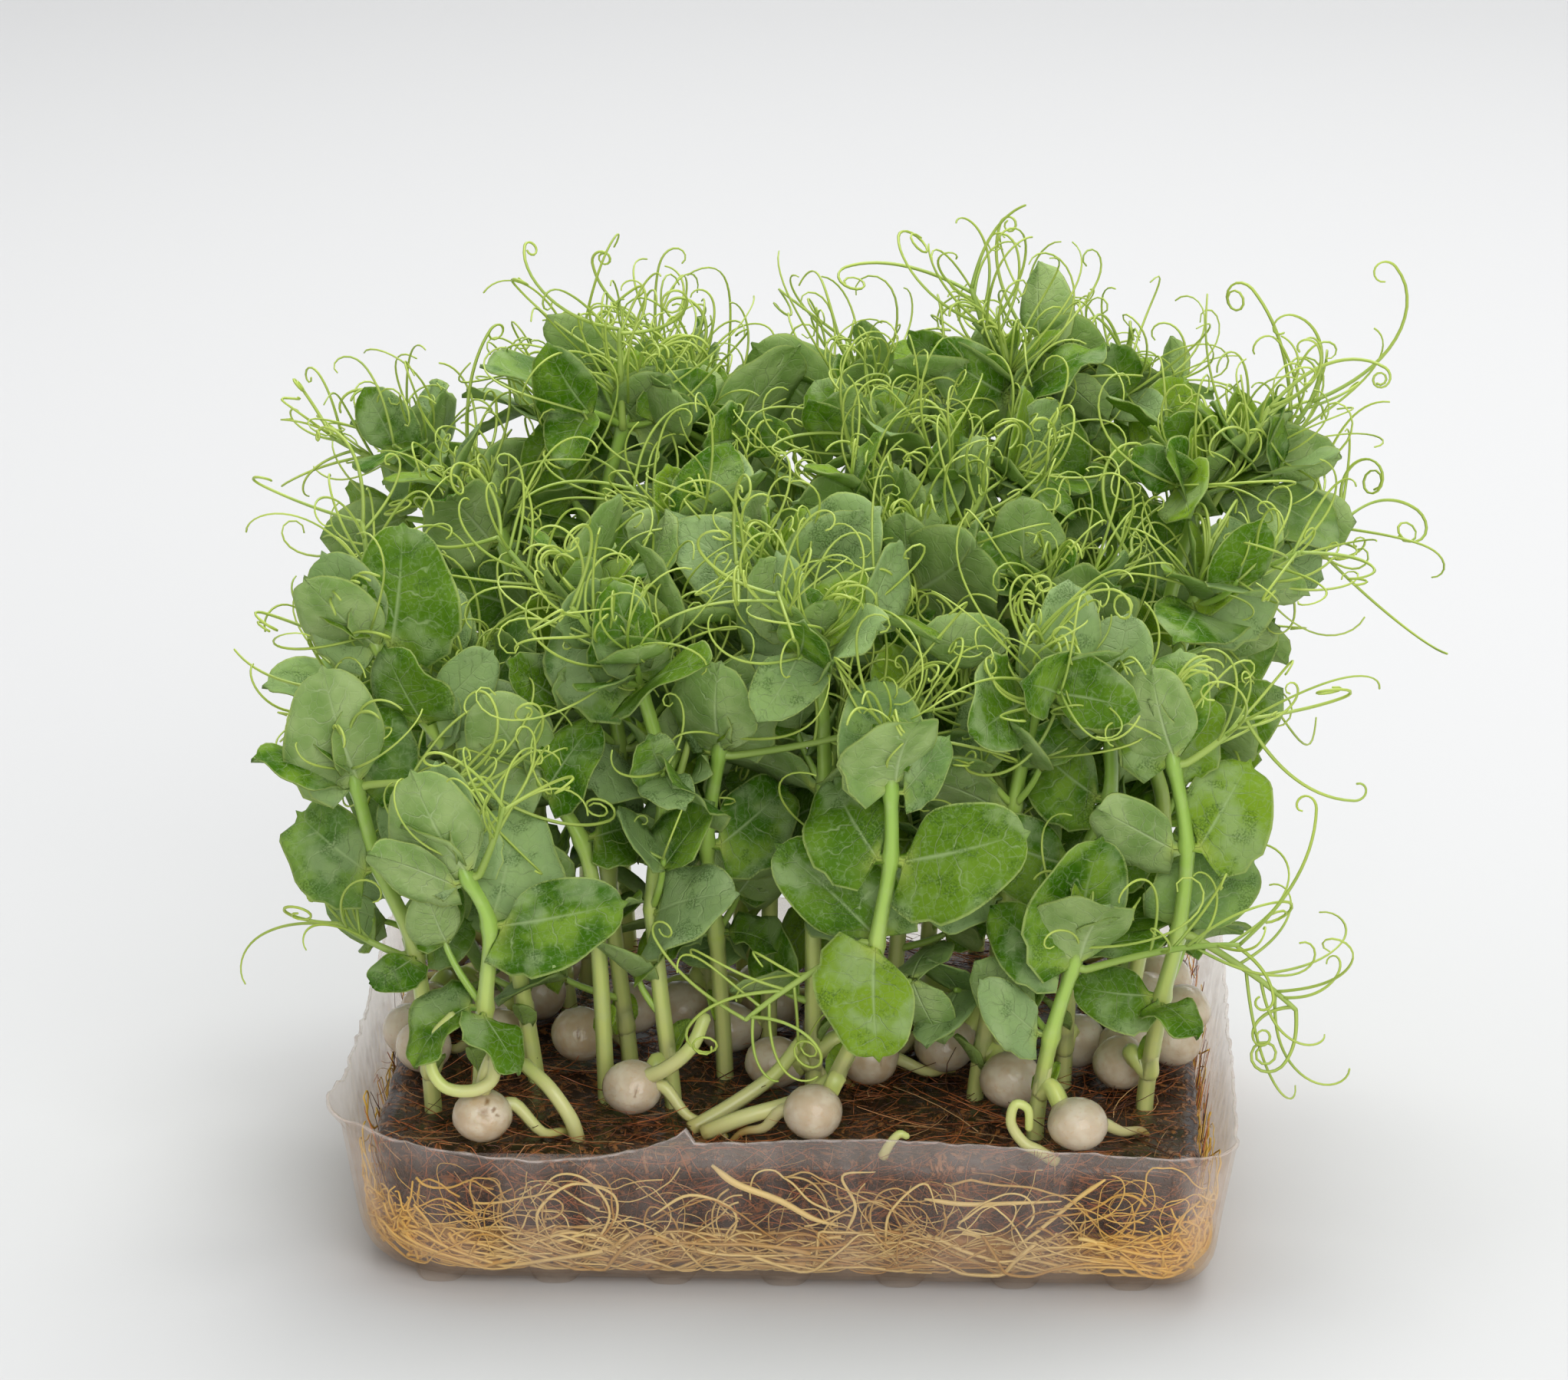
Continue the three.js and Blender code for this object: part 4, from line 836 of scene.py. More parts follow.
def smooth_line(points, steps):
    """A Catmull-Rom curve through the points, with `steps` steps between each two."""
    p = np.array(points, float)
    p = np.concatenate([[2 * p[0] - p[1]], p, [2 * p[-1] - p[-2]]])
    out = []
    for i in range(1, len(p) - 2):
        for s in range(steps):
            t = s / steps
            a, b, c, d = p[i - 1], p[i], p[i + 1], p[i + 2]
            square = (2 * a - 5 * b + 4 * c - d) * t**2
            cube = (3 * b - a - 3 * c + d) * t**3
            out.append(0.5 * (2 * b + (c - a) * t + square + cube))
    out.append(p[-2])
    return np.array(out)


def level_side(direction):
    """A unit way square to the direction: near +X, or near +Y where the direction lies along X."""
    start = vec(0, 1, 0) if abs(direction[0]) > 0.8 * math.sqrt(direction @ direction) else vec(1, 0, 0)
    return unit(start - direction * (start @ direction) / (direction @ direction))


TUBE_END = SimpleNamespace(reach=0.6, radius=0.55)  # of a tube's rounded end, in shares of its last radius


def add_tube(skin, look, points, radii, sides, tone, groove=None, low=0.0, high=1.0):
    """A closed tube along the points. Its marks are (share along it, share round it, tone)."""
    points = np.asarray(points, float)
    radii = np.asarray(radii, float)
    frames = framed(points, level_side(points[1] - points[0]))
    tip = frames[-1][0] + unit(points[-1] - points[-2]) * radii[-1] * TUBE_END.reach
    centres = np.array([f[0] for f in frames] + [tip])
    side = np.array([f[1] for f in frames] + [frames[-1][1]])
    other = np.array([f[2] for f in frames] + [frames[-1][2]])
    radii = np.append(radii, radii[-1] * TUBE_END.radius)
    around = np.arange(sides) * TURN / sides
    swell = np.ones(sides) if groove is None else groove(around)
    c = (np.cos(around) * swell)[None, :, None]
    s = (np.sin(around) * swell)[None, :, None]
    r = radii[:, None, None]
    rings = centres[:, None, :] + r * (c * side[:, None, :] + s * other[:, None, :])
    count = len(centres)
    ends = [np.arange(sides)[::-1][None, :], (np.arange(sides) + (count - 1) * sides)[None, :]]
    share = np.linspace(low, high, count)
    turn = np.tile(np.arange(sides) / sides, count)
    marks = columned(np.repeat(share, sides), turn, np.full(count * sides, tone))
    flats = columned(np.repeat(share * count, sides), np.tile(swell, count), np.repeat(radii, sides))
    skin.add(rings.reshape(-1, 3), [ring_quads(count, sides), *ends], look, marks, flats)


def add_taper(skin, look, points, thick, thin, sides, tone, low=0.0, high=1.0):
    """A tube whose radius runs evenly from thick to thin."""
    add_tube(skin, look, points, np.linspace(thick, thin, len(points)), sides, tone, None, low, high)


def radii_along(points, shares, radii):
    """A radius for each point of a line, from the radii at some shares of it."""
    return np.interp(np.linspace(0, 1, len(points)), shares, radii)


# ---------------------------------------------------------------- leaves

LEAF_HALF = 0.15  # half a leaf's thickness
LEAF_TIP = 1.045  # how far the tip reaches, where the solid's reaches 1
EDGE_STEPS = 12  # between the corners of the margin
TOOTHED = (0.55, 0.97)  # the shares of the margin between which it has teeth
CROWDING = SimpleNamespace(rows=1.25, columns=0.92)  # powers that crowd the grid to the tip and the margin
VEIN_SWEEP = 1.55  # how far the side veins slant towards the tip
QUILT = 0.1  # how far the blade swells between its side veins
RIB_GROOVE = 0.26  # how deep the midrib lies
RIB_SWELL = 0.16  # how much thicker half the blade is at the midrib
ROUNDING = [(0.94, 0.21), (0.95, -0.17)]  # where the margin is rounder than between the solids' corners


class LeafGrid:
    """The rows and columns of a leaf's two faces. q runs from the tip to the heel and t from the
    midrib to the margin, so that the lines of equal q run as the side veins do."""

    def __init__(self, rows, columns, veins, tooth):
        self.rows = rows
        self.columns = columns
        self.veins = veins
        q = (np.arange(1, rows + 1) / rows) ** CROWDING.rows
        outer = self.edge([MARGIN[0], ROUNDING[0], *MARGIN[1:5]], q)
        inner = self.edge([MARGIN[0], ROUNDING[1], MARGIN[7], MARGIN[6], MARGIN[5]], q)
        teeth = np.where(np.arange(rows) % 2 == 0, 1.0, -0.4) * tooth * (q > TOOTHED[0]) * (q < TOOTHED[1])
        outer += columned(-0.6 * teeth, 0.8 * teeth)
        base = (np.array(MARGIN[HEEL]) + np.array(MARGIN[HEEL + 1])) / 2
        back = (1 - q) ** VEIN_SWEEP
        rib = (
            np.multiply.outer((1 - back) ** 2, base)
            + np.multiply.outer(2 * back * (1 - back), np.array(RIB))
            + np.multiply.outer(back**2, np.array([1.0, 0.0]))
        )
        t = (np.arange(1, columns + 1) / columns) ** CROWDING.columns
        spread = t[None, :, None]
        halves = [rib[:, None, :] * (1 - spread) + edge[:, None, :] * spread for edge in (outer, inner)]
        table = np.concatenate([rib[:, None, :], *halves], axis=1)
        wide = 1 + 2 * columns
        self.wide = wide
        self.along = np.append(LEAF_TIP, table[..., 0].ravel())
        self.across = np.append(0.0, table[..., 1].ravel())
        self.q = np.append(0.0, np.repeat(q, wide))
        self.t = np.append(0.0, np.tile(np.concatenate([[0], t, t]), rows))
        self.hand = np.append(0.0, np.tile(np.repeat([0, 1, -1], [1, columns, columns]), rows))
        self.faces = self.all_faces()

    @staticmethod
    def edge(points, q):
        """Points at the shares q of a smooth edge through the given ones."""
        line = smooth_line(points, EDGE_STEPS)
        length = np.concatenate([[0], np.cumsum(np.linalg.norm(np.diff(line, axis=0), axis=1))])
        length /= length[-1]
        return columned(np.interp(q, length, line[:, 0]), np.interp(q, length, line[:, 1]))

    def all_faces(self):
        """Both faces, the margin between them and the neck's end, seen from where the normal points."""
        columns, wide = self.columns, self.wide
        rows = self.rows + 1  # with the neck's row
        half = 1 + rows * wide

        def at(row, column, hand):
            return 1 + row * wide + (column if hand > 0 or column == 0 else columns + column)

        triangles = []
        quads = []
        for hand in (1, -1):
            for j in range(columns):
                one, two = at(0, j, hand), at(0, j + 1, hand)
                triangles.append((0, two, one) if hand > 0 else (0, one, two))
                for k in range(rows - 1):
                    quad = (
                        at(k, j, hand), at(k, j + 1, hand), at(k + 1, j + 1, hand), at(k + 1, j, hand)
                    )
                    quads.append(quad if hand > 0 else quad[::-1])
        quads += [tuple(half + i for i in reversed(face)) for face in quads]
        triangles += [tuple(half + i for i in reversed(face)) for face in triangles]
        for hand in (1, -1):
            loop = [0] + [at(k, columns, hand) for k in range(rows)]
            loop += [at(rows - 1, j, hand) for j in range(columns - 1, -1, -1)]
            for a, b in zip(loop, loop[1:]):
                quad = (a, half + a, half + b, b)
                quads.append(quad if hand > 0 else quad[::-1])
        return [np.array(quads), np.array(triangles)]


FULL_LEAF = LeafGrid(17, 4, 7, 0.03)
YOUNG_LEAF = LeafGrid(11, 4, 5, 0.0)
SIDE_LEAF = LeafGrid(9, 3, 5, 0.0)
SMALL_LEAF = LeafGrid(7, 2, 4, 0.0)


LEAF_WAVE = 0.85  # how far a full leaf's margin waves, in millimetres


def add_leaf(skin, grid, blade, tone, key, wave=LEAF_WAVE):
    """A leaf of two faces on the blade, waved at the margin, quilted between its side veins, with a
    neck that runs into the stem."""
    phase = draw(key, FOR.leaf, 0, 1) * TURN
    waves = between(1.2, 2.6, draw(key, FOR.leaf, 0, 2))
    lift = wave * grid.t**2 * np.sin(TURN * waves * grid.q * (1 + 0.2 * grid.hand) + phase)
    lift += 0.3 * wave * grid.t**3 * np.sin(TURN * (3.1 * grid.q + 0.4 * grid.hand) + 2 * phase)
    lift += QUILT * np.cos(TURN * grid.veins * grid.q) * np.sin(math.pi * grid.t)
    lift -= RIB_GROOVE * hill(grid.t, 0, 0.16) * (1 - grid.q * 0.3)
    half = LEAF_HALF * (1 - 0.45 * grid.t**4) + RIB_SWELL * hill(grid.t, 0, 0.12)
    upper = blade_points(blade, grid.along, grid.across, lift + half)
    under = blade_points(blade, grid.along, grid.across, lift - half)
    last = 1 + (grid.rows - 1) * grid.wide
    middle = (upper[last:] + under[last:]) / 2
    neck = blade.foot + 0.45 * (middle - middle.mean(axis=0))
    thick = blade.normal * 0.4
    points = np.concatenate([upper, neck + thick, under, neck - thick])
    faces = grid.faces
    if cross(blade.axis, blade.across) @ blade.normal < 0:
        faces = [block[:, ::-1] for block in faces]
    q = np.append(grid.q, np.full(grid.wide, 1.05))
    t = np.append(grid.t, grid.t[last:] * 0.5)
    marks = columned(q, t, np.full(len(q), tone))
    along = np.append(grid.along, np.full(grid.wide, -0.15)) * blade.length / 10
    across = np.append(grid.across, grid.across[last:]) * blade.length / 10
    flats = [columned(along + key * 3.7, across, np.full(len(q), face)) for face in (1.0, 0.0)]
    skin.add(points, faces, "leaf", np.concatenate([marks, marks]), np.concatenate(flats))


# ---------------------------------------------------------------- tendrils

# The radii of each kind of tendril, at its foot and at its tip
THIN = SimpleNamespace(found=(0.31, 0.18), branch=(0.26, 0.15), tuft=(0.24, 0.14), comb=(0.28, 0.2))


def add_tendril_line(skin, points, thick, thin, tone, low=0.0, high=1.0):
    """A tendril's tube; low and high are the shares of a whole tendril that it colours itself by."""
    shares = np.linspace(0, 1, len(points))
    add_tube(skin, "tendril", points, between(thick, thin, shares**0.8), 4, tone, None, low, high)


def coil_on(points, turns, tight, steps, key):
    """Runs a line on from its end in a tightening coil."""
    heading = unit(points[-1] - points[-2])
    bend = cross(points[-2] - points[-4], points[-1] - points[-2])
    bend = level_side(heading) if bend @ bend < 1e-9 else unit(bend)
    reach = tight * turns * TURN
    more = [points[-1]]
    for i in range(steps):
        share = (i + 0.5) / steps
        heading = turned(heading, bend, TURN * turns / steps * (0.55 + 0.9 * share))
        bend = unit(turned(bend, heading, (draw(key, FOR.coil, 0, 3) - 0.5) * 0.2))
        more.append(more[-1] + heading * reach / steps)
    return np.concatenate([points, more[1:]])


def free_curve(start, heading, bend, length, turn, coil, twist, steps):
    """A line that bends more and more towards its end, where it coils."""
    points = [start]
    for i in range(steps):
        share = (i + 0.5) / steps
        angle = turn * (0.2 + 1.6 * share) + coil * max(0.0, share - 0.55) * 5
        heading = turned(heading, bend, angle / steps)
        bend = unit(turned(bend, heading, twist / steps))
        points.append(points[-1] + heading * (length / steps * (1.15 - 0.45 * share)))
    return np.array(points)


BOX_GAP = 0.6  # between the added curls and the box of the solids
CURL_FLOOR = 26  # the curls stay above this
TOO_MANY = 4  # a curl that crosses leaves this many times isn't added, nor is one that leaves the box


class Room:
    """What the added curls keep clear of: the leaves, the ground and the box of the solids."""

    def __init__(self, blades):
        points = []
        faces = []
        for blade in blades:
            first = len(points)
            points.extend(blade_points(blade, MARGIN_ALONG, MARGIN_ACROSS, 0).tolist())
            points.append(blade_points(blade, RIB[0], RIB[1], 0).tolist())
            count = len(MARGIN)
            faces.extend((first + i, first + (i + 1) % count, first + count) for i in range(count))
        self.tree = bvhtree.BVHTree.FromPolygons(points, faces)
        low, high = cad_box
        self.low = np.array(low) / MM + BOX_GAP
        self.high = np.array(high) / MM - BOX_GAP
        self.low[2] = CURL_FLOOR

    def hits(self, points, margin):
        outside = np.sum((points < self.low + margin) | (points > self.high - margin))
        hits = TOO_MANY * int(outside)
        for a, b in zip(points[1:], points[2:]):
            way = b - a
            length = math.sqrt(way @ way)
            if self.tree.ray_cast(Vector(a), Vector(way), length)[0] is not None:
                hits += 1
        return hits

    def best(self, make, tries, margin=0):
        """The first of some seeded curves that crosses nothing and stays this far inside the box, or
        else the one that crosses least, unless even that one crosses too many."""
        chosen = None
        for attempt in range(tries):
            points = make(attempt)
            hits = self.hits(points, margin)
            if chosen is None or hits < chosen[0]:
                chosen = (hits, points)
            if hits == 0:
                break
        return chosen[1] if chosen[0] < TOO_MANY else None


# How the added curls are drawn: lengths in millimetres, turn, coil and twist in radians
BRANCH = SimpleNamespace(
    ahead=(0.5, 1.2), rise=0.25, fall=0.2, length=(14, 30), shrink=0.05,
    turn=(0.8, 2.8), coil=(1.0, 8.0), straight=1.6, twist=1.6, steps=22, tries=10,
)
TUFT_CURL = SimpleNamespace(
    ahead=(0.2, 1.1), rise=0, fall=0.3, length=(12, 34), shrink=0.06,
    turn=(0.8, 3.4), coil=(0.5, 8.0), straight=1.8, twist=1.8, steps=18, tries=8,
)


def loose_curl(kind, start, way, around, pick, attempt):
    """A curl of the given kind that leaves the way towards `around`, shorter with each attempt."""
    heading = unit(way * between(*kind.ahead, pick(2)) + around + UP * kind.rise)
    bend = unit(cross(heading, unit(vec(pick(3) - 0.5, pick(4) - 0.5, pick(5) - kind.fall))))
    length = between(*kind.length, pick(6)) * (1 - kind.shrink * attempt)
    turn = between(*kind.turn, pick(7))
    coil = between(*kind.coil, pick(8) ** kind.straight)
    twist = between(-kind.twist, kind.twist, pick(9))
    return free_curve(start, heading, bend, length, turn, coil, twist, kind.steps)


STALK_STEPS = 14


def add_compound_tendril(skin, room, plan, key, extras):
    """A branched tendril of the solids, its branches coiled at their ends, with more thin branches."""
    tone = draw(key, FOR.tendril_tone, 0, 0)
    stalk = curl(plan.knee, plan.chord, UP, plan.bow, np.linspace(0, 1, STALK_STEPS + 1))
    rachis = np.concatenate([[plan.foot - (plan.knee - plan.foot) * 0.8], [plan.foot], stalk])
    radii = radii_along(rachis, [0, 0.15, 1], [0.75, 0.6, 0.36])
    add_tube(skin, "tendril", rachis, radii, 7, tone, None, -0.6, 0.2)
    for k, (start, chord, side, turn) in enumerate(plan.branches):
        line = curl(start, chord, side, turn, np.linspace(0, 1, 17))
        size = math.sqrt(chord @ chord)

        def finished(attempt, line=line, k=k):
            turns = between(0.5, 1.6, draw(key, FOR.finish + k, attempt, 1))
            tight = between(0.9, 2.2, draw(key, FOR.finish + k, attempt, 2)) * (1 - 0.06 * attempt)
            return coil_on(line, turns, tight, int(6 + 8 * turns), key * 9 + k)

        whole = room.best(finished, 8)
        line = line if whole is None else whole
        add_tendril_line(skin, line, *THIN.found, tone, 0.2 if size > 12 else 0.35)
    for k in range(extras):
        at = between(0.42, 0.99, (k + draw(key, FOR.extra + k, 0, 1)) / extras)
        spot = int(at * STALK_STEPS)
        start = stalk[spot]
        ahead = unit(stalk[min(spot + 1, STALK_STEPS)] - stalk[max(spot - 1, 0)])

        def branch(attempt, k=k, start=start, ahead=ahead):
            pick = partial(draw, key, FOR.branch + k, attempt)
            around = turned(level_side(ahead), ahead, (k % 2 + 0.6 * pick(1)) * math.pi)
            return loose_curl(BRANCH, start, ahead, around, pick, attempt)

        points = room.best(branch, BRANCH.tries)
        if points is not None:
            add_tendril_line(skin, points, *THIN.branch, tone, 0.25)


def add_tuft(skin, room, start, way, key, count):
    """Thin young tendrils that spread from the end of a stem or of a side shoot."""
    for k in range(count):
        def branch(attempt, k=k):
            pick = partial(draw, key, FOR.tuft + k, attempt)
            around = turned(level_side(way), way, (k + pick(1)) * TURN / count)
            return loose_curl(TUFT_CURL, start, way, around, pick, attempt)

        points = room.best(branch, TUFT_CURL.tries)
        if points is not None:
            tone = 0.5 + 0.5 * draw(key, FOR.tuft_tone, k, 1)
            add_tendril_line(skin, points, *THIN.tuft, tone, 0.3)


# The range of leaf lengths on the side shoots: on most, at a joint, at a rear plant's lowest joint and
# in a gap between the plants
SIDE_LEAVES = SimpleNamespace(plain=(8, 12), joint=(8, 12.5), rear_low=(12, 16.5), gap=(11, 14))
TUFT_LEVEL = 50  # above this, a side shoot ends in a tuft


def add_side_shoot(skin, room, node, out, key, sizes=SIDE_LEAVES.plain):
    """A thin side shoot from a joint, with a pair of small leaves and a tuft of young tendrils."""
    def stalk(attempt):
        pick = partial(draw, key, FOR.side_shoot, attempt)
        heading = unit(turned(out, UP, between(-1.1, 1.1, pick(1))) + UP * between(0.2, 1.1, pick(2)))
        bend = unit(cross(heading, UP)) * (1 if pick(3) < 0.5 else -1)
        length = between(7, 15, pick(4))
        return free_curve(node, heading, bend, length, between(0.1, 0.7, pick(5)), 0, 0.3, 7)

    def with_leaves(attempt):
        line = stalk(attempt)
        ahead = unit(line[-1] - line[-2])
        return np.concatenate([line, [line[-1] + ahead * 5, line[-1] + ahead * 10]])

    line = room.best(with_leaves, 8, vec(6, 6, 0))
    if line is None:
        return
    line = line[:-2]
    tone = 0.3 + 0.7 * draw(key, FOR.side_tone, 0, 1)
    add_taper(skin, "stem", line, 0.62, 0.42, 6, tone, 0.6, 0.9)
    tip = line[-1]
    way = unit(line[-1] - line[-2])
    add_leaf_pair(skin, tip, way, key, sizes, (0.5, 1.3), SIDE_LEAF, (0.0, 1.15))
    if node[2] > TUFT_LEVEL:
        add_tuft(skin, room, tip, way, key, 2)


def add_comb(skin, room, tip, way, key):
    """The youngest tendrils at a stem's end: a short stalk with a comb of them, bent over together."""
    pick = partial(draw, key, FOR.comb, 0)
    over = outward(pick(1) * TURN)
    bend = unit(cross(way, over))
    height = between(4.5, 8.5, pick(2))
    stalk = free_curve(tip, way, bend, height, between(0.2, 0.8, pick(3)), 0, 0, 8)
    add_taper(skin, "tendril", stalk, 0.55, 0.4, 6, 0.8, -0.3, 0.3)
    count = 4 + int(3 * pick(4))
    for k in range(count):
        at = 4 + (k * 5) // count
        hand = -1 if k % 2 else 1
        start = stalk[min(at, len(stalk) - 1)]

        def tooth(attempt, k=k, hand=hand, start=start):
            pick = partial(draw, key, FOR.comb_tooth + k, attempt)
            heading = unit(way + bend * hand * between(0.15, 0.5, pick(1)) + over * 0.1 * k)
            length = between(8, 15, pick(2)) * (1 - 0.05 * attempt)
            turn = between(1.6, 3.1, pick(3))
            return free_curve(start, heading, bend, length, turn, 1.5 * pick(4), 0.3, 16)

        points = room.best(tooth, 6)
        if points is not None:
            add_tendril_line(skin, points, *THIN.comb, 0.9, 0.2, 0.9)


# Side shoots in the wider gaps between the rear plants: the plant, the joint below, the share of the
# way on to the next joint, and the direction
GAP_SHOOTS = [
    (32, 1, 0.5, (-1, -0.2, 0)),
    (28, 1, 0.6, (-1, 0.3, 0)),
    (31, 1, 0.5, (-1, -0.2, 0)),
    (30, 1, 0.4, (-0.3, -1, 0)),
    (33, 1, 0.5, (1, -0.2, 0)),
    (34, 1, 0.6, (-0.2, -1, 0)),
    (29, 1, 0.5, (-1, -0.5, 0)),
    (11, 1, 0.5, (1, -0.4, 0)),
]


def add_side_shoots(skin, room, plant, index):
    """Side shoots from every joint and from the stem below; a front plant has a single one, behind it."""
    if index <= SPARSE:
        add_side_shoot(skin, room, vec(*plant.nodes[0]), vec(0, 1, 0), KEYS.side_shoot + index * 12)
        return
    first = vec(*plant.nodes[0])
    foot = vec(*plant.root, STEM_COLLAR)
    rear = plant.root[1] > 0
    for k in range(3 if rear else 1):
        low = foot + (first - foot) * (0.25 + 0.2 * k + 0.2 * draw(index, FOR.low_shoot, k, 1))
        out = outward((plant.turn + 120 * k) * DEG)
        add_side_shoot(skin, room, low, out, KEYS.low_shoot + index * 3 + k)
    for j, node in enumerate(plant.nodes):
        for hand in (-1, 0, 1) if j else (-1, 1):
            out = outward((plant.turn + 100 * hand + 180 * j) * DEG)
            sizes = SIDE_LEAVES.rear_low if rear and j == 0 else SIDE_LEAVES.joint
            key = KEYS.side_shoot + index * 12 + 3 * j + hand
            add_side_shoot(skin, room, vec(*node), out, key, sizes)
    for k, (owner, joint, share, way) in enumerate(GAP_SHOOTS):
        if owner == index:
            node = vec(*plant.nodes[joint]) * (1 - share) + vec(*plant.nodes[joint + 1]) * share
            add_side_shoot(skin, room, node, vec(*way), KEYS.gap_shoot + k, SIDE_LEAVES.gap)


YOUNG_WAVE = 0.28  # how far a young leaf's margin waves, in millimetres


def add_leaf_pair(skin, tip, way, key, sizes, spreads, grid, tones=(0.7, 1.3), out=None):
    """Two young leaves, half folded, that face each other round the end of a stalk."""
    if out is None:
        out = turned(level_side(way), way, draw(key, FOR.pair, 0, 1) * TURN)
    for k, away in enumerate((out, -out)):
        pick = partial(draw, key, FOR.pair_leaf + k, 0)
        away = turned(away, way, 0.5 * (pick(4) - 0.5))
        axis = unit(way + away * between(*spreads, pick(1)))
        normal = unit(-away - axis * (-away @ axis))
        blade = SimpleNamespace(
            origin=tip - way * 0.9 + away * 0.4,
            axis=axis,
            across=cross(normal, axis) * (1 if k else -1),
            normal=normal,
            length=between(*sizes, pick(2)),
            width=1.0,
            bend=between(-0.6, 0.7, pick(3)) + 0.01,
            cup=between(0.3, 1.2, pick(5)),
            foot=tip - way * 1.8,
        )
        add_leaf(skin, grid, blade, between(*tones, pick(6)), KEYS.pair_leaf + key * 5 + k, YOUNG_WAVE)


def add_young_leaves(skin, tip, way, key, front):
    """The pair of stipules that still wraps the stem's end, and a smaller pair inside it."""
    if front:
        ahead = vec(1.2 * (draw(key, FOR.front_pair, 0, 1) - 0.5), -1, 0)
        ahead = unit(ahead - way * (ahead @ way))
        add_leaf_pair(skin, tip, way, key, (13, 17), (0.25, 0.5), FULL_LEAF, (0.0, 0.5), ahead)
    else:
        add_leaf_pair(skin, tip, way, key, (9, 13), (0.5, 1.3), YOUNG_LEAF)
    inner = tip + way * 2.5
    add_leaf_pair(skin, inner, way, KEYS.inner_pair + key, (6, 8.5), (0.2, 0.8), SMALL_LEAF)


# ---------------------------------------------------------------- stems

def stem_groove(around):
    """How far out a stem's surface lies at each angle round it, as a share of its radius."""
    return 1 + 0.05 * np.cos(4 * around) + 0.03 * np.cos(7 * around + 1)


def add_stem(skin, plant, key):
    """The stem, swollen at its joints. Gives back its end and the way that it points there."""
    points = stem_line(plant)
    way = unit(points[-1] - points[-2])
    line = smooth_line([points[0], points[1], *[vec(*n) for n in plant.nodes], points[-1]], 8)
    swell = np.zeros(len(line))
    for node in plant.nodes:
        swell += 0.3 * hill(np.linalg.norm(line - vec(*node), axis=1), 0, 1.3)
    share = np.linspace(0, 1, len(line))
    radii = between(1.3, 0.84, share) + swell
    radii[-1] = 0.6
    add_tube(skin, "stem", line, radii, 10, draw(key, FOR.stem, 0, 1), stem_groove)
    return points[-1], way


def add_bract(skin, plant, key):
    """A small scale leaf against the stem's pale lower part."""
    pick = partial(draw, key, FOR.bract, 0)
    x, y = plant.root
    z = between(26, 31, pick(1))
    out = outward(pick(2) * TURN)
    axis = unit(UP + out * 0.45)
    normal = unit(out * -1 - axis * (-out @ axis))
    foot = vec(x, y, z)
    towards = vec(*plant.nodes[0]) - vec(x, y, STEM_COLLAR)
    foot[:2] += towards[:2] * (z - STEM_COLLAR) / towards[2]
    blade = SimpleNamespace(
        origin=foot + out * 0.9,
        axis=axis,
        across=cross(normal, axis),
        normal=normal,
        length=between(3.5, 5.5, pick(3)),
        width=1.0,
        bend=0.3,
        cup=1.6,
        foot=foot,
    )
    add_leaf(skin, SMALL_LEAF, blade, 1.5, KEYS.bract + key, 0.05)


def add_arch(skin, seed, plant, key):
    """The pale shoot that leaves a seed, arches over and joins the stem."""
    pick = partial(draw, key, FOR.arch, 0)
    first = vec(*plant.nodes[0])
    base = vec(*plant.root, STEM_COLLAR)
    rise = between(28, 33, pick(1))
    joined = base + (first - base) * (rise - STEM_COLLAR) / (first[2] - STEM_COLLAR)
    before = base + (first - base) * 0.5 * (rise - STEM_COLLAR) / (first[2] - STEM_COLLAR)
    flat = before - seed.centre
    flat[2] = 0
    away = unit(flat)
    out = seed.centre + away * SEED_RADIUS * 0.8 + UP * between(-0.5, 2.5, pick(2))
    seed.peak = unit(out - seed.centre)
    crest = (out + before) / 2 + UP * between(0.4, 2.6, pick(3))
    crest += cross(UP, away) * between(-1.8, 1.8, pick(4))
    line = smooth_line([seed.centre, out, crest, before, joined], 6)
    radii = radii_along(line, [0, 0.3, 0.8, 1], [1.1, 1.4, 1.3, 1.0])
    add_tube(skin, "stem", line, radii, 10, pick(5), stem_groove, 0.0, 0.2)


RADICLE_TRIES = 12


def add_radicle(skin, seed, stems):
    """The thick pale root that leaves a seed, lies over the coir and goes down into it."""
    pick = partial(draw, seed.index, FOR.radicle, 0)
    choices = []
    for attempt in range(RADICLE_TRIES):
        away = outward(draw(seed.index, FOR.radicle_way, attempt, 1) * TURN)
        spot = seed.centre + away * 9
        room = min(math.hypot(spot[0] - x, spot[1] - y) for x, y in stems)
        inside = within(spot, ROOT_REACH) and away[1] > -0.35
        choices.append((room if inside else 0, attempt, away))
    away = max(choices, key=lambda choice: choice[:2])[2]
    aside = cross(UP, away)
    reach = between(8, 13, pick(1))
    sway = between(-2.5, 2.5, pick(2))
    low = COIR_TOP + 1.3
    line = smooth_line(
        [
            seed.centre + away * 1.5,
            seed.centre + away * (seed.wide + 0.4) + UP * between(-1.5, 1.2, pick(3)),
            vec(*(seed.centre + away * (0.5 * reach + 3.4) + aside * sway)[:2], low + 0.4),
            vec(*(seed.centre + away * (reach + 2.5) + aside * sway * 0.4)[:2], low - 0.6),
            vec(*(seed.centre + away * (reach + 5))[:2], COIR_TOP - 1.8),
        ],
        5,
    )
    radii = radii_along(line, [0, 0.25, 1], [0.9, 1.0, 0.35])
    add_tube(skin, "stem", line[::-1], radii[::-1], 8, pick(4), None, -0.6, 0.0)


# ---------------------------------------------------------------- seeds

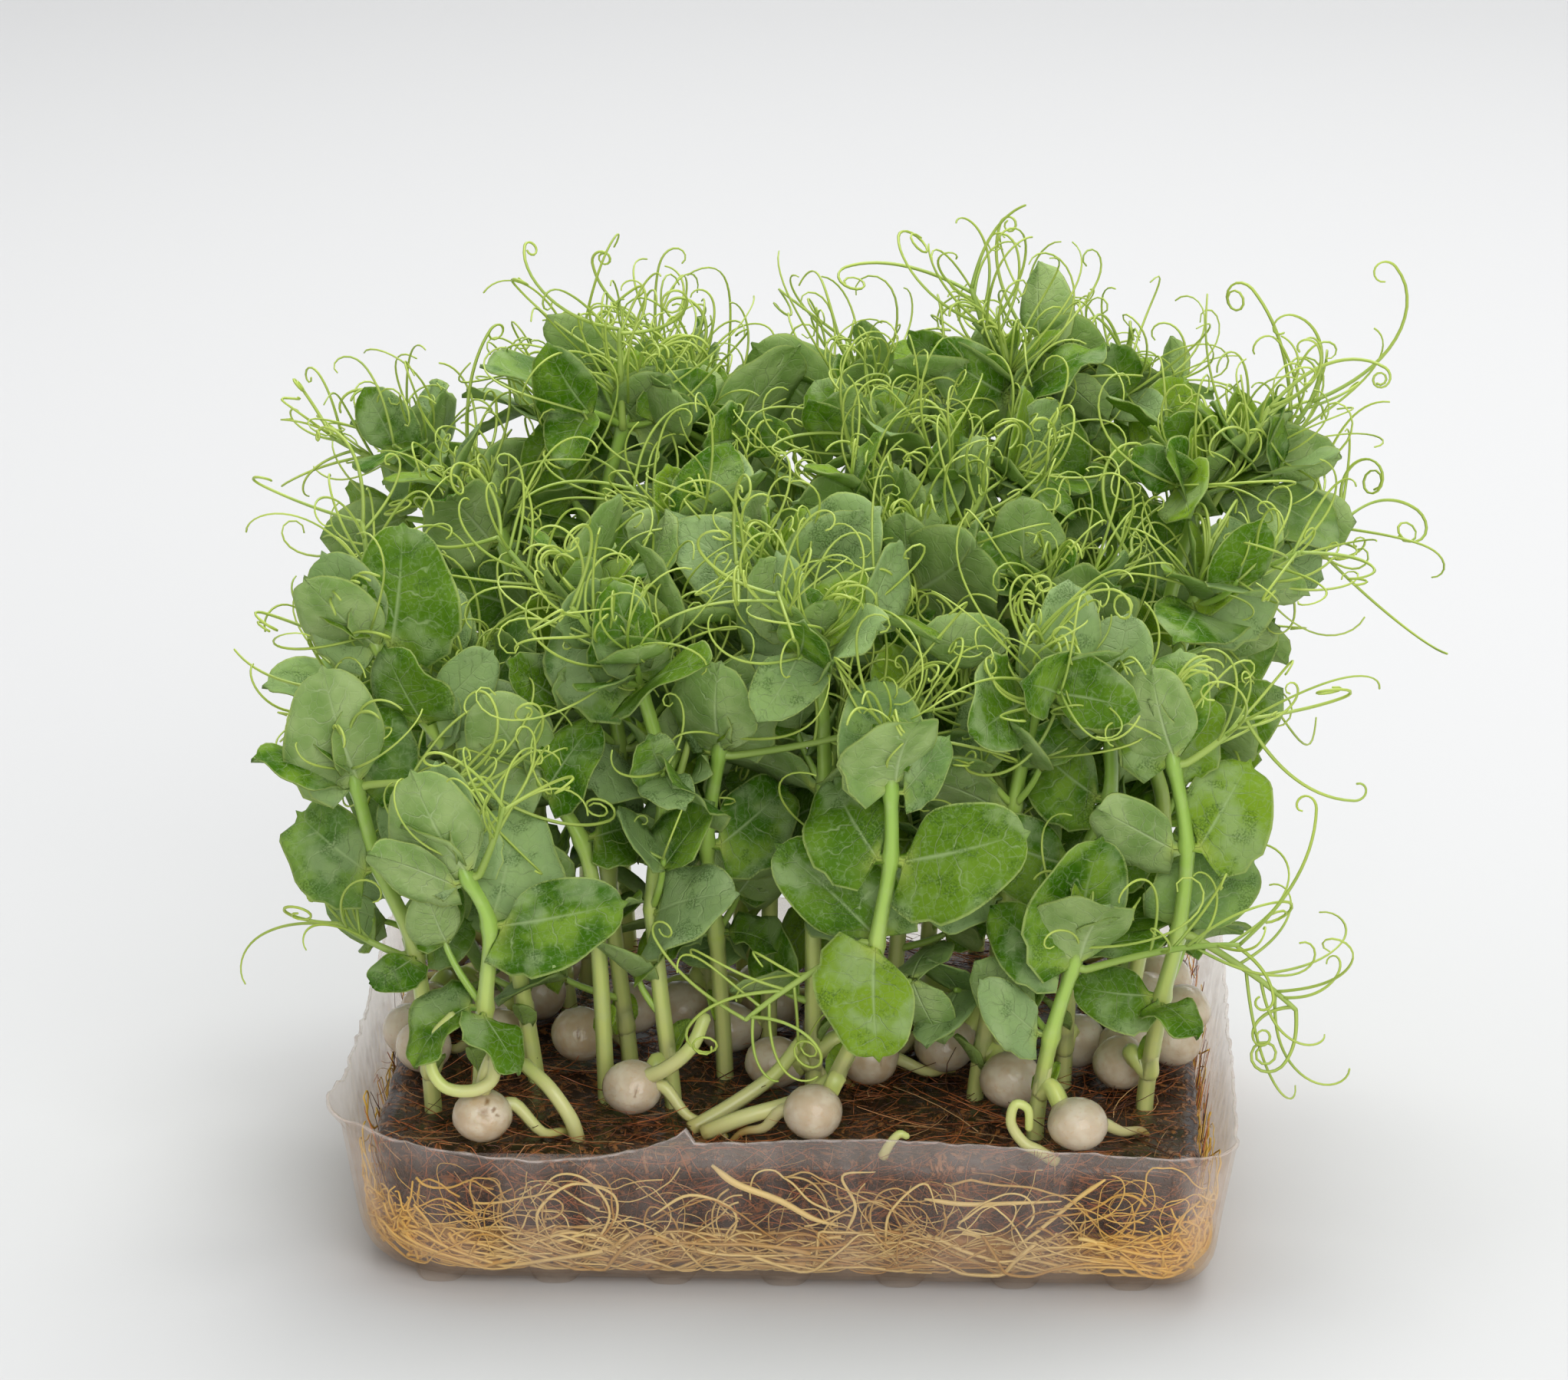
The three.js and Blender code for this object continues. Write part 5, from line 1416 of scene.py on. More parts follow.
SEED_GRID = (16, 24)  # steps from end to end of a seed, and round it
DENTS = SimpleNamespace(count=3, rise=(-0.4, 0.9), size=(0.25, 0.6), depth=(0.02, 0.085))
WRINKLES = SimpleNamespace(broad=0.026, fine=0.012)
SPROUTING = SimpleNamespace(height=0.2, width=0.42)  # the bulge where the shoot comes out
SPLIT = SimpleNamespace(share=0.35, width=0.07, depth=0.06)  # the share of the seeds with an open coat


def add_seed(skin, seed):
    """A swollen pea: wrinkled a little, dented, and on some the coat split open."""
    rows, columns = SEED_GRID
    key = seed.index
    pick = partial(draw, key, FOR.pea, 0)
    down = math.pi * np.arange(1, rows) / rows
    around = TURN * np.arange(columns) / columns
    ways = columned(
        np.outer(np.sin(down), np.cos(around)),
        np.repeat(np.cos(down)[:, None], columns, 1),
        np.outer(np.sin(down), np.sin(around)),
    ).reshape(-1, 3)
    ways = np.concatenate([[[0, 1, 0]], ways, [[0, -1, 0]]])
    swell = np.ones(len(ways))
    # Painted shade in the hollows: strongest in the small dents and along the split coat
    hollow_shade = np.zeros(len(ways))
    for k in range(DENTS.count):
        dent = unit(outward(pick(10 + k) * TURN, between(*DENTS.rise, pick(20 + k))))
        size = between(*DENTS.size, pick(30 + k))
        near = hill(np.arccos(np.clip(ways @ dent, -1, 1)), 0, size)
        swell -= between(*DENTS.depth, pick(40 + k)) * near
        hollow_shade += near * (0.6 if size < 0.4 else 0.25)
    shift = vec(key * 3.1, key * 1.7, 0)
    for i, way in enumerate(ways):
        swell[i] += (
            WRINKLES.broad * noise.noise(Vector(way * 2.3 + shift))
            + WRINKLES.fine * noise.noise(Vector(way * 6 + shift))
        )
    if seed.peak is not None:
        peak = turned(seed.peak, UP, -seed.turn)
        swell += SPROUTING.height * hill(np.arccos(np.clip(ways @ peak, -1, 1)), 0, SPROUTING.width)
    if pick(2) < SPLIT.share:
        plane = unit(outward(pick(3) * TURN, 0.4 * pick(4)))
        lens = hill(ways @ plane, 0, SPLIT.width) * (ways[:, 2] > -0.1)
        swell -= SPLIT.depth * lens
        hollow_shade += 1.1 * lens
    scaled = ways * swell[:, None] * vec(seed.wide, seed.wide * 0.97, seed.tall)
    c, s = math.cos(seed.turn), math.sin(seed.turn)
    x, y, z = scaled.T
    points = columned(x * c - y * s, x * s + y * c, z)
    points += seed.centre
    caps = end_fans(0, 1, len(ways) - 1, 1 + (rows - 2) * columns, columns)
    marks = columned(hollow_shade, np.full(len(ways), key / SEED_COUNT), np.full(len(ways), pick(5)))
    skin.add(points, [ring_quads(rows - 1, columns, 1), caps], "seed", marks, ways + shift)


# Late sprouts and bare shoots among the front seeds: the line, then the radii at its foot and its tip
HOOK = [
    (-43.5, -45.5, 27), (-43, -46.2, 31), (-41.6, -47, 34.5), (-41.8, -47.6, 31.2), (-44.5, -48.2, 29.6),
    (-48.5, -48.2, 30), (-50.6, -47.6, 33), (-50.2, -46.6, 37), (-47.5, -45.6, 40),
]
HOOK_RADII = (1.15, 0.75)
SPROUTS = [
    (
        [
            (39, -48, 19.6), (36.5, -48.2, 21.4), (34.2, -47.8, 22.6), (32.4, -47.5, 25.4),
            (33, -47.4, 28.2), (34.8, -47.2, 27.4), (35, -47, 24.4),
        ],
        0.95,
        0.6,
    ),
    ([(14, -48, 20), (15, -48, 22), (16.4, -47.8, 23.6), (17.6, -47.6, 23.2)], 0.8, 0.5),
    ([(-30, -42, 19.8), (-31, -43, 23.6), (-34, -42, 27.8), (-37.5, -38, 29.5), (-38, -33, 28)], 1.15, 1.0),
    ([(-22.6, -33.5, 26), (-18, -36, 28.5), (-14, -36, 32), (-12, -34, 36)], 1.2, 1.0),
    ([(-12, -40, 20.4), (-6, -40.5, 23.2), (2, -39, 25.4), (7, -37, 28.6), (9, -38, 32)], 1.25, 1.05),
    ([(-14, -38, 20.2), (-8, -35, 23), (-2, -33, 27), (2, -32, 32)], 1.2, 1.0),
]


def add_sprout(skin, line, thick, thin, sides):
    """A bare pale shoot along the line."""
    points = smooth_line(line, 6)
    shares = np.linspace(0, 1, len(points))
    add_tube(skin, "stem", points, between(thick, thin, shares), sides, 0.8, None, -0.4, 0.3)


# ---------------------------------------------------------------- tray

def outline(inset, corner_steps, long_steps, short_steps):
    """The tray's outline seen from above, this far inside its rim."""
    a = RIM_WIDTH / 2 - inset
    b = RIM_DEPTH / 2 - inset
    corners = [
        (1, -1, CORNERS["front_right"], -90, short_steps),
        (1, 1, CORNERS["back_right"], 0, long_steps),
        (-1, 1, CORNERS["back_left"], 90, short_steps),
        (-1, -1, CORNERS["front_left"], 180, long_steps),
    ]
    arcs = []
    for x, y, r, start, _ in corners:
        radius = max(r - inset * 0.5, 3)
        angle = (start + np.linspace(0, 90, corner_steps + 1)) * DEG
        middle = vec(x * (a - radius), y * (b - radius))
        arcs.append(middle + radius * columned(np.cos(angle), np.sin(angle)))
    points = []
    for c, arc in enumerate(arcs):
        points.extend(arc)
        steps = corners[c][4]
        following = arcs[(c + 1) % 4][0]
        points.extend(arc[-1] + (following - arc[-1]) * i / steps for i in range(1, steps))
    return np.array(points)


TEAR_X = -14  # where the front of the rim is torn


def rim_height(x, y):
    """The hand-cut rim: long waves, one torn peak with a dip beside it, and a raised front left corner."""
    wave = 0.8 * np.sin(x * 0.075 + 0.6) + 0.5 * np.sin(y * 0.11 + x * 0.04 + 1)
    front = hill(y, -RIM_DEPTH / 2, 12)
    torn = 3 * hill(x, TEAR_X, 5) * front
    dip = -1.6 * hill(x, -36, 14) * front
    corner = 1.6 * np.exp(-(((x + 65) / 7) ** 2) - ((y + 42) / 9) ** 2)
    return RIM_HEIGHT + wave + torn + dip + corner


def tray_inset(z):
    heights = [step[0] for step in TRAY_PROFILE]
    insets = [step[1] for step in TRAY_PROFILE]
    return np.interp(z, heights, insets)


def resampled(loop, count):
    """A closed loop of x, y points as `count` evenly spaced ones."""
    closed = np.concatenate([loop, loop[:1]])
    length = np.concatenate([[0], np.cumsum(np.linalg.norm(np.diff(closed, axis=0), axis=1))])
    at = np.arange(count) / count * length[-1]
    return columned(np.interp(at, length, closed[:, 0]), np.interp(at, length, closed[:, 1]))


def lofted(skin, look, rings, marks, flats):
    """Closes a stack of rings, each with as many points, into one shell."""
    count = len(rings[0])
    bottom = len(rings) * count
    faces = [ring_quads(len(rings), count), end_fans(bottom, 0, bottom + 1, bottom - count, count)]
    points = np.concatenate([*rings, [rings[0].mean(axis=0)], [rings[-1].mean(axis=0)]])
    ends = np.zeros((2, 3))
    skin.add(points, faces, look, np.concatenate([marks, ends]), np.concatenate([flats, ends]))


TRAY_POINTS = 330
TRAY_ROUND = 46  # centimetres round the rim
RIM = 1e9  # the level that stands for the hand-cut rim, above every other
TRAY_LEVELS = [1.2, 1.45, 1.9, 2.6, 3.6, 5.0, 6.6, 8.5, 10.5, 13, 15.5, 18, 20, 22, RIM / 10, RIM]
PLASTIC = 0.5  # the wall's thickness as drawn
FLUTES = SimpleNamespace(count=29, depth=0.16)
BUCKLE = 0.25  # how far the wall strays in and out besides
ROUNDED_PROFILE = [
    (1.2, 7.5), (1.45, 6.2), (1.9, 5.3), (2.6, 4.6), (3.6, 3.85), (5, 3.2), (6.5, 2.8), (24, 0),
]


def add_tray(skin):
    """The thin wall, pressed with soft flutes, up to its hand-cut rim, and the ribs that it stands on."""
    share = np.arange(TRAY_POINTS) / TRAY_POINTS

    def ring(level, thickness):
        z = min(level, RIM_HEIGHT)
        inset = np.interp(z, [p[0] for p in ROUNDED_PROFILE], [p[1] for p in ROUNDED_PROFILE])
        xy = resampled(outline(inset + thickness, 10, 20, 20), TRAY_POINTS)
        out = xy / np.linalg.norm(xy, axis=1)[:, None]
        height = min(1.0, max(0.0, (z - 3) / 8))
        flute = FLUTES.depth * height * np.cos(TURN * share * FLUTES.count) ** 6
        buckle = np.array([noise.noise(Vector((x * 0.09, y * 0.09, z * 0.05))) for x, y in xy])
        xy = xy - out * (flute + BUCKLE * height * buckle)[:, None]
        if level > RIM_HEIGHT:
            x, y = xy[:, 0], xy[:, 1]
            top = rim_height(x, y)
            ragged = np.array([noise.noise(Vector((a * 0.35, b * 0.35, 3.0))) for a, b in xy])
            top = top + 0.45 * ragged + 0.1 * np.sin(share * TURN * 61)
            front = y < -45
            off = x - TEAR_X - 0.4
            tear = 2.2 * np.exp(-np.abs(off) / 2.6) * (off < 0) * front
            top = top + tear - 2.4 * hill(x, TEAR_X, 5) * front
            flare = 2.6 * np.exp(-(((x + 63) / 5) ** 2) - ((y + 44) / 6) ** 2)
            xy = xy + out * (flare + 0.3 * ragged)[:, None]
            top = top - (0.4 if level < RIM else 0.0)
            return np.column_stack([xy, top])
        floor = thickness if level <= 1.3 else 0.35 * (thickness > 0)
        return np.column_stack([xy, np.full(TRAY_POINTS, z + floor)])

    levels = TRAY_LEVELS + TRAY_LEVELS[::-1]
    inner = [0.0] * len(TRAY_LEVELS) + [PLASTIC] * len(TRAY_LEVELS)
    rings = [ring(level, thickness) for level, thickness in zip(levels, inner)]
    edge = np.repeat([float(level == RIM) for level in levels], TRAY_POINTS)
    heights = np.concatenate([r[:, 2] for r in rings])
    marks = columned(heights / RIM_HEIGHT, edge, np.zeros(len(heights)))
    around = np.tile(share * TRAY_ROUND, len(levels))
    flats = columned(around, heights / 10, np.repeat(inner, TRAY_POINTS))
    lofted(skin, "plastic", rings, marks, flats)
    for i in range(FOOT_COUNT):
        add_foot(skin, (i - (FOOT_COUNT - 1) / 2) * FOOT_PITCH)


# (height, how much narrower than the whole rib) up one of the ribs under the tray
FOOT_ROUNDING = [(0.0, 0.7), (0.12, 0.35), (0.4, 0.1), (1.0, 0.0), (FOOT_HEIGHT + WALL / 2, 0.05)]


def add_foot(skin, x):
    """One of the ribs: flat below, rounded at its sides and ends."""
    sides = 32
    around = TURN * np.arange(sides) / sides
    c = np.sign(np.cos(around)) * np.abs(np.cos(around)) ** 0.6
    s = np.sign(np.sin(around)) * np.abs(np.sin(around)) ** 0.2
    rings = []
    for z, narrower in FOOT_ROUNDING:
        half_x = FOOT_WIDTH / 2 - narrower
        half_y = RIM_DEPTH / 2 - FOOT_INSET - narrower
        rings.append(np.column_stack([x + half_x * c, half_y * s, np.full(sides, z)]))
    flats = np.concatenate(rings) / 10
    lofted(skin, "plastic", rings, np.zeros((len(flats), 3)), flats)


# ---------------------------------------------------------------- coir and roots

def mat_rings(bottom, top, inset, roughness, count):
    """The rough mat by the solids' own formula, with more levels and finer unevenness."""
    def rough(x, y, z):
        waves = np.sin(x * 0.31 + z) + np.sin(y * 0.37 + 2 * z) + np.sin((x + y) * 0.17)
        return roughness * waves * 0.33

    def fine(points, size, amount):
        return amount * np.array([noise.noise(Vector(p * size)) for p in points])

    def level(z, share, rise):
        xy = resampled(outline(tray_inset(min(z, RIM_HEIGHT)) + inset, 6, 16, 16), count)
        edge = 1 - np.abs(rough(xy[:, 0], xy[:, 1], z)) / 60
        xy = xy * share * edge[:, None]
        points = np.column_stack([xy, z + rise * rough(xy[:, 0], xy[:, 1], 0)])
        out = xy / np.linalg.norm(xy, axis=1)[:, None]
        dent = -np.abs(fine(points, 0.5, 0.7)) if share > 0.9 else np.zeros(count)
        points[:, :2] += out * dent[:, None]
        points[:, 2] += fine(points, 0.35, 0.5) * (rise > 0)
        return points

    rings = [level(bottom, share, 0) for share in (0.6, 0.985)]
    rings += [level(z, 1, 0) for z in np.linspace(bottom + 0.6, top - 1.4, 7)]
    rings += [level(top - 0.8, 0.995, 0.3), level(top - 0.2, 0.98, 0.6)]
    rings += [level(top, share, 1) for share in np.linspace(0.95, 0.05, 16)]
    return rings


def add_mat(skin, look, rings):
    """A mat's closed shell."""
    points = np.concatenate(rings)
    none = np.zeros(len(points))
    lofted(skin, look, rings, columned(points[:, 2] / RIM_HEIGHT, none, none), points / 10)


class Wall:
    """Places along the inside of the tray's wall: how far round, how high, how deep inside."""

    COUNT = 720

    def __init__(self):
        self.loops = {}
        for z in range(1, 27):
            inset = float(tray_inset(min(max(z, 2.6), RIM_HEIGHT)))
            self.loops[z] = [resampled(outline(inset + depth, 8, 24, 20), self.COUNT) for depth in (0, 6)]
        loop = self.loops[12][0]
        self.length = float(np.sum(np.linalg.norm(loop - np.roll(loop, 1, axis=0), axis=1)))
        self.corner = float(loop[0][0])

    def front(self, x):
        """How far round the wall the place at x on the front wall is."""
        return self.length - (self.corner - x)

    def place(self, around, z, depth):
        """around is in millimetres along the wall, depth in millimetres from the tray's outside."""
        at = (around / self.length * self.COUNT) % self.COUNT
        low = min(max(int(z), 1), 25)
        rise = min(max(z - low, 0), 1)
        spots = []
        for loops in (self.loops[low], self.loops[low + 1]):
            ends = []
            for loop in loops:
                i = int(at)
                ends.append(loop[i] + (loop[(i + 1) % self.COUNT] - loop[i]) * (at - i))
            spots.append(ends[0] + (ends[1] - ends[0]) * depth / 6)
        xy = spots[0] + (spots[1] - spots[0]) * rise
        return vec(xy[0], xy[1], z)


ROOTS = SimpleNamespace(
    bed=250, curling=260, corner=60, floor=40, low=2.7, high=9.6, top=20.5,
    bed_swirl=0.22, bed_step=2.4, curling_swirl=0.62, curling_step=1.45,
)
TURN_BACK = 0.5  # the angle by which a root turns away, at each step, from its upper and lower limits
FRONT_ROOTS = 0.5  # the share of the roots that starts at the front wall
FRONT_WALL = (-60, 56)  # the X between which the roots and fibres of the front wall start


def root_path(wall, key, low, high, swirl, step, steps):
    """A root that wanders along the inside of the wall, between the mat and the plastic."""
    pick = partial(draw, key, FOR.root, 0)
    around = pick(1) * wall.length
    if pick(2) < FRONT_ROOTS:
        around = wall.front(between(*FRONT_WALL, pick(1)))
    z = between(low, high, pick(3))
    angle = between(-0.6, 0.6, pick(4)) + (math.pi if pick(5) < 0.5 else 0)
    bend = between(-swirl, swirl, pick(6))
    depth = between(1.15, 3.2, pick(7))
    points = []
    for i in range(steps):
        points.append(wall.place(around, z, depth))
        bend = 0.85 * bend + 0.6 * swirl * (draw(key, FOR.root_step, i, 1) - 0.5)
        angle += bend
        if z > high - 1.5:
            angle += TURN_BACK * (1 if math.cos(angle) < 0 else -1)
        if z < low + 0.8:
            angle += TURN_BACK * (1 if math.cos(angle) > 0 else -1)
        around += step * math.cos(angle)
        z = min(max(z + step * math.sin(angle), low), high)
        depth = min(max(depth + 0.6 * (draw(key, FOR.root_step, i, 2) - 0.5), 1.1), 3.6)
    return smooth_line(points, 2)


def floor_root(key):
    """A root flat on the tray's floor."""
    pick = partial(draw, key, FOR.floor_root, 0)
    x = between(-52, 52, pick(1))
    y = between(-42, 42, pick(2))
    angle = pick(3) * TURN
    points = []
    for i in range(14):
        if within((x, y), ROOT_REACH):
            points.append(vec(x, y, 2.25 + 0.35 * draw(key, FOR.floor_step, i, 2)))
        angle += 0.9 * (draw(key, FOR.floor_step, i, 1) - 0.5)
        x += 2.6 * math.cos(angle)
        y += 2.6 * math.sin(angle)
    return points


# The thickest roots at the front wall: (x, z) along each, and its radius
THICK_ROOTS = [
    ([(-11, 20), (-7, 17.5), (-1, 15), (3.5, 12), (7, 10.5)], 0.55),
    ([(20, 15), (26, 14.2), (33, 14.6), (40, 15.2)], 0.38),
    ([(46, 19), (42.5, 15.5), (37, 10), (32, 6)], 0.36),
    ([(-38, 8), (-36, 13), (-31, 17), (-26, 15), (-27, 10), (-33, 7)], 0.25),
    ([(-30, 6), (-27, 12), (-29, 17.5), (-34, 18), (-37, 14)], 0.22),
    ([(-20, 12), (-14, 15.5), (-8, 13), (-10, 8), (-17, 7)], 0.24),
    ([(8, 9), (10, 14), (8, 18.5), (13, 19.5)], 0.26),
    ([(14, 7), (15, 13), (20, 17.5), (22, 13)], 0.22),
]


def add_roots(skin):
    """The root mat, and the roots that wander and curl up from it between the coir and the wall."""
    wall = Wall()
    add_mat(skin, "root", mat_rings(ROOT_BOTTOM + 0.15, ROOT_TOP, ROOT_INSET + 1.6, 0.5, 140))
    for key in range(ROOTS.bed):
        pick = partial(draw, key, FOR.root_look, 0)
        steps = 9 + int(9 * pick(3))
        points = root_path(wall, key, ROOTS.low, ROOTS.high, ROOTS.bed_swirl, ROOTS.bed_step, steps)
        thick = between(0.13, 0.42, pick(1) ** 1.7)
        add_taper(skin, "root", points, thick, thick * 0.5, 4, pick(2))
    for key in range(KEYS.curling_root, KEYS.curling_root + ROOTS.curling):
        pick = partial(draw, key, FOR.root_look, 0)
        top = between(11, ROOTS.top, pick(4))
        steps = 9 + int(11 * pick(3))
        points = root_path(wall, key, 5, top, ROOTS.curling_swirl, ROOTS.curling_step, steps)
        thick = between(0.08, 0.22, pick(1) ** 1.3)
        add_taper(skin, "root", points, thick, thick * 0.6, 4, pick(2))
    for key in range(KEYS.corner_root, KEYS.corner_root + ROOTS.corner):
        pick = partial(draw, key, FOR.root_look, 0)
        at = wall.front(-56 - 14 * pick(5)) if key % 2 else 8 * pick(5)
        points = []
        z = between(3, 8, pick(6))
        for i in range(7):
            bend = partial(draw, key, FOR.root_bend, i)
            points.append(wall.place(at, z, between(1.0, 2.2, bend(1))))
            at += between(-2.2, 2.2, bend(2))
            z = min(max(z + between(-0.8, 2.6, bend(3)), 2.8), 19)
        add_taper(skin, "root", smooth_line(points, 3), 0.26, 0.14, 4, 0.3)
    for n, (path, radius) in enumerate(THICK_ROOTS):
        line = smooth_line([wall.place(wall.front(x), z, 1.9 + 0.7 * math.sin(n + x)) for x, z in path], 6)
        radii = radii_along(line, [0, 0.15, 0.7, 1], [0.4, 1, 0.8, 0.25]) * radius
        add_tube(skin, "root", line, radii, 7, 0.85)
    for key in range(ROOTS.floor):
        points = floor_root(key)
        if len(points) > 4:
            add_taper(skin, "root", smooth_line(points, 2), 0.3, 0.16, 4, draw(key, FOR.root_bend, 0, 4))


FIBRES = SimpleNamespace(top=1700, side=1100, thin=0.05, thick=0.13)
FRONT_FIBRES = 0.4  # the share of the side fibres that lies along the front wall


def add_fibre(skin, key, points):
    """A stiff hair of coir."""
    radius = between(FIBRES.thin, FIBRES.thick, draw(key, FOR.fibre, 0, 4) ** 2)
    add_taper(skin, "fibre", points, radius, radius * 0.6, 3, draw(key, FOR.fibre, 0, 5))


def add_coir(skin):
    """The coir mat, with loose fibres on its top and along the wall."""
    add_mat(skin, "coir_pith", mat_rings(COIR_BOTTOM - 0.6, COIR_TOP - 0.1, COIR_INSET - 0.4, 0.7, 200))
    wall = Wall()
    for key in range(FIBRES.top):
        pick = partial(draw, key, FOR.top_fibre, 0)
        length = between(4, 16, pick(5))
        heading = outward(pick(3) * TURN, between(-0.05, 0.45, pick(4) ** 3))
        x = between(-57, 57, pick(1))
        y = between(-47, 47, pick(2))
        points = [vec(x, y, COIR_TOP + between(-0.3, 0.7, pick(6)))]
        for _ in range(4):
            bent = turned(heading, UP, between(-0.4, 0.4, pick(7)))
            heading = unit(bent + UP * between(-0.08, 0.08, pick(8)))
            ahead = points[-1] + heading * length / 4
            if within(ahead, FIBRE_REACH):
                points.append(ahead)
        if len(points) > 2:
            add_fibre(skin, key, points)
    for key in range(KEYS.side_fibre, KEYS.side_fibre + FIBRES.side):
        pick = partial(draw, key, FOR.side_fibre, 0)
        around = pick(1) * wall.length
        if pick(9) < FRONT_FIBRES:
            around = wall.front(between(*FRONT_WALL, pick(1)))
        z = between(8.5, 20.5, pick(2))
        depth = between(3.3, 4.7, pick(3))
        step = between(4, 13, pick(7)) / 4
        angle = between(-0.8, 0.8, pick(4)) if pick(5) < 0.6 else between(-2.4, 2.4, pick(4))
        points = []
        for _ in range(5):
            points.append(wall.place(around, z, depth))
            angle += between(-0.25, 0.25, pick(8))
            around += step * math.cos(angle)
            z = min(max(z + step * math.sin(angle), 7), 22.5)
            depth = max(depth - 0.1, 2.4)
        add_fibre(skin, key, points)


# ---------------------------------------------------------------- materials

class Shader:
    """A material's nodes, wired by short calls."""

    def __init__(self, name):
        self.material = bpy.data.materials.new(name)
        self.material.use_nodes = True
        self.nodes = self.material.node_tree.nodes
        self.links = self.material.node_tree.links
        self.nodes.clear()
        self.output = self.nodes.new("ShaderNodeOutputMaterial")

    def put(self, socket, value):
        """Links a socket into the socket, or sets a plain value on it."""
        if isinstance(value, bpy.types.NodeSocket):
            self.links.new(value, socket)
        elif isinstance(value, tuple) and len(value) == 3 and socket.type == "RGBA":
            socket.default_value = (*value, 1)
        else:
            socket.default_value = value

    def node(self, kind, settings=None, **sockets):
        node = self.nodes.new("ShaderNode" + kind)
        for key, value in (settings or {}).items():
            setattr(node, key, value)
        for key, value in sockets.items():
            self.put(node.inputs[key.replace("_", " ")], value)
        return node

    def inputs(self, node, *values, first=0):
        """Fills the node's inputs in order and gives the node back."""
        for i, value in enumerate(values, first):
            self.put(node.inputs[i], value)
        return node

    def math(self, operation, *values, clamp=False):
        node = self.node("Math", {"operation": operation, "use_clamp": clamp})
        return self.inputs(node, *values).outputs[0]

    def times(self, a, b):
        return self.math("MULTIPLY", a, b)

    def ramp(self, value, low, high, start=0.0, end=1.0):
        """Runs from start to end as value runs from low to high, and no further."""
        node = self.node("MapRange", {"interpolation_type": "SMOOTHSTEP"})
        return self.inputs(node, value, low, high, start, end).outputs[0]

    def mix(self, share, a, b):
        node = self.node("Mix", {"data_type": "RGBA"})
        self.put(node.inputs[0], share)
        return self.inputs(node, a, b, first=6).outputs[2]

    def over(self, under, colour, *ramp):
        """Lays a colour over another by a ramp's share."""
        return self.mix(self.ramp(*ramp), under, colour)

    def split(self, vector):
        return self.node("SeparateXYZ", Vector=vector).outputs

    def attribute(self, name):
        """The three numbers that the mesh holds at each point under this name."""
        return self.node("Attribute", {"attribute_name": name}).outputs["Vector"]

    def place(self):
        return self.node("NewGeometry").outputs["Position"]

    def sideways(self):
        """How far the point stands from the tray's middle along X, in metres."""
        return self.math("ABSOLUTE", self.split(self.place())[0])

    def stretched(self, vector, factors):
        node = self.node("VectorMath", {"operation": "MULTIPLY"})
        return self.inputs(node, vector, factors).outputs[0]

    def noise(self, vector, scale, detail=3.0, rough=0.55):
        node = self.node("TexNoise", Vector=vector, Scale=scale, Detail=detail, Roughness=rough)
        return node.outputs[0]

    def bump(self, height, strength, distance):
        return self.node("Bump", Height=height, Strength=strength, Distance=distance).outputs[0]

    def blend(self, share, first, second):
        node = self.inputs(self.node("MixShader"), share)
        self.links.new(first.outputs[0], node.inputs[1])
        self.links.new(second.outputs[0], node.inputs[2])
        return node

    def surface(self, shader):
        self.links.new(shader.outputs[0], self.output.inputs["Surface"])


# The colours of each material
LEAF = SimpleNamespace(
    deep=(0.06, 0.18, 0.003), bright=(0.255, 0.43, 0.045),
    dark=(0.11, 0.24, 0.01), fresh=(0.34, 0.52, 0.035), pale=(0.44, 0.6, 0.27),
    bloom=(0.48, 0.62, 0.3), frost=(0.4, 0.54, 0.25), young=(0.4, 0.58, 0.05),
    under_deep=(0.28, 0.44, 0.12), under_bright=(0.5, 0.65, 0.26), under_young=(0.36, 0.52, 0.1),
    vein=(0.5, 0.65, 0.3), under_vein=(0.66, 0.8, 0.42), heel=(0.6, 0.72, 0.16), edge=(0.52, 0.66, 0.2),
    wet=(0.03, 0.1, 0.012), light=(0.5, 0.72, 0.03),
)
# STEM.groove is painted shade for the stem's grooves
STEM = SimpleNamespace(
    pale=(0.74, 0.76, 0.28), green=(0.38, 0.57, 0.1), top=(0.29, 0.49, 0.08), root=(0.8, 0.68, 0.38),
    root_end=(0.42, 0.2, 0.05), groove=(0.2, 0.34, 0.06), light=(0.56, 0.7, 0.16),
    joint=(0.5, 0.62, 0.1), bloom=(0.55, 0.62, 0.33),
)
TENDRIL = SimpleNamespace(
    foot=(0.38, 0.54, 0.11), end=(0.58, 0.72, 0.12), light=(0.66, 0.79, 0.2), dark=(0.27, 0.44, 0.07)
)
# SEED.dent is painted shade for the seed's dents and its split coat
SEED = SimpleNamespace(
    tan=(0.56, 0.42, 0.26), cream=(0.7, 0.6, 0.44), light=(0.74, 0.66, 0.52), speck=(0.62, 0.4, 0.22),
    dent=(0.26, 0.14, 0.05),
)
ROOT = SimpleNamespace(
    brown=(0.52, 0.27, 0.05), cream=(0.96, 0.77, 0.32), amber=(1.0, 0.62, 0.08), dark=(0.42, 0.22, 0.07)
)
COIR = SimpleNamespace(deep=(0.02, 0.007, 0.003), strand=(0.38, 0.145, 0.04), wet=(0.02, 0.008, 0.003))
FIBRE = SimpleNamespace(dark=(0.08, 0.024, 0.01), brown=(0.52, 0.16, 0.045), straw=(0.66, 0.4, 0.17))
# The side walls' two colours and the colour of the band below the rim are painted sheen
HAZE = SimpleNamespace(
    low=(0.86, 0.66, 0.5), high=(0.84, 0.69, 0.62), sheen_low=(0.92, 0.66, 0.34),
    sheen_high=(0.9, 0.77, 0.68), rim_sheen=(0.84, 0.73, 0.68), clear=(0.97, 0.95, 0.93),
)
FLOOR_GREY = (0.65, 0.65, 0.65)

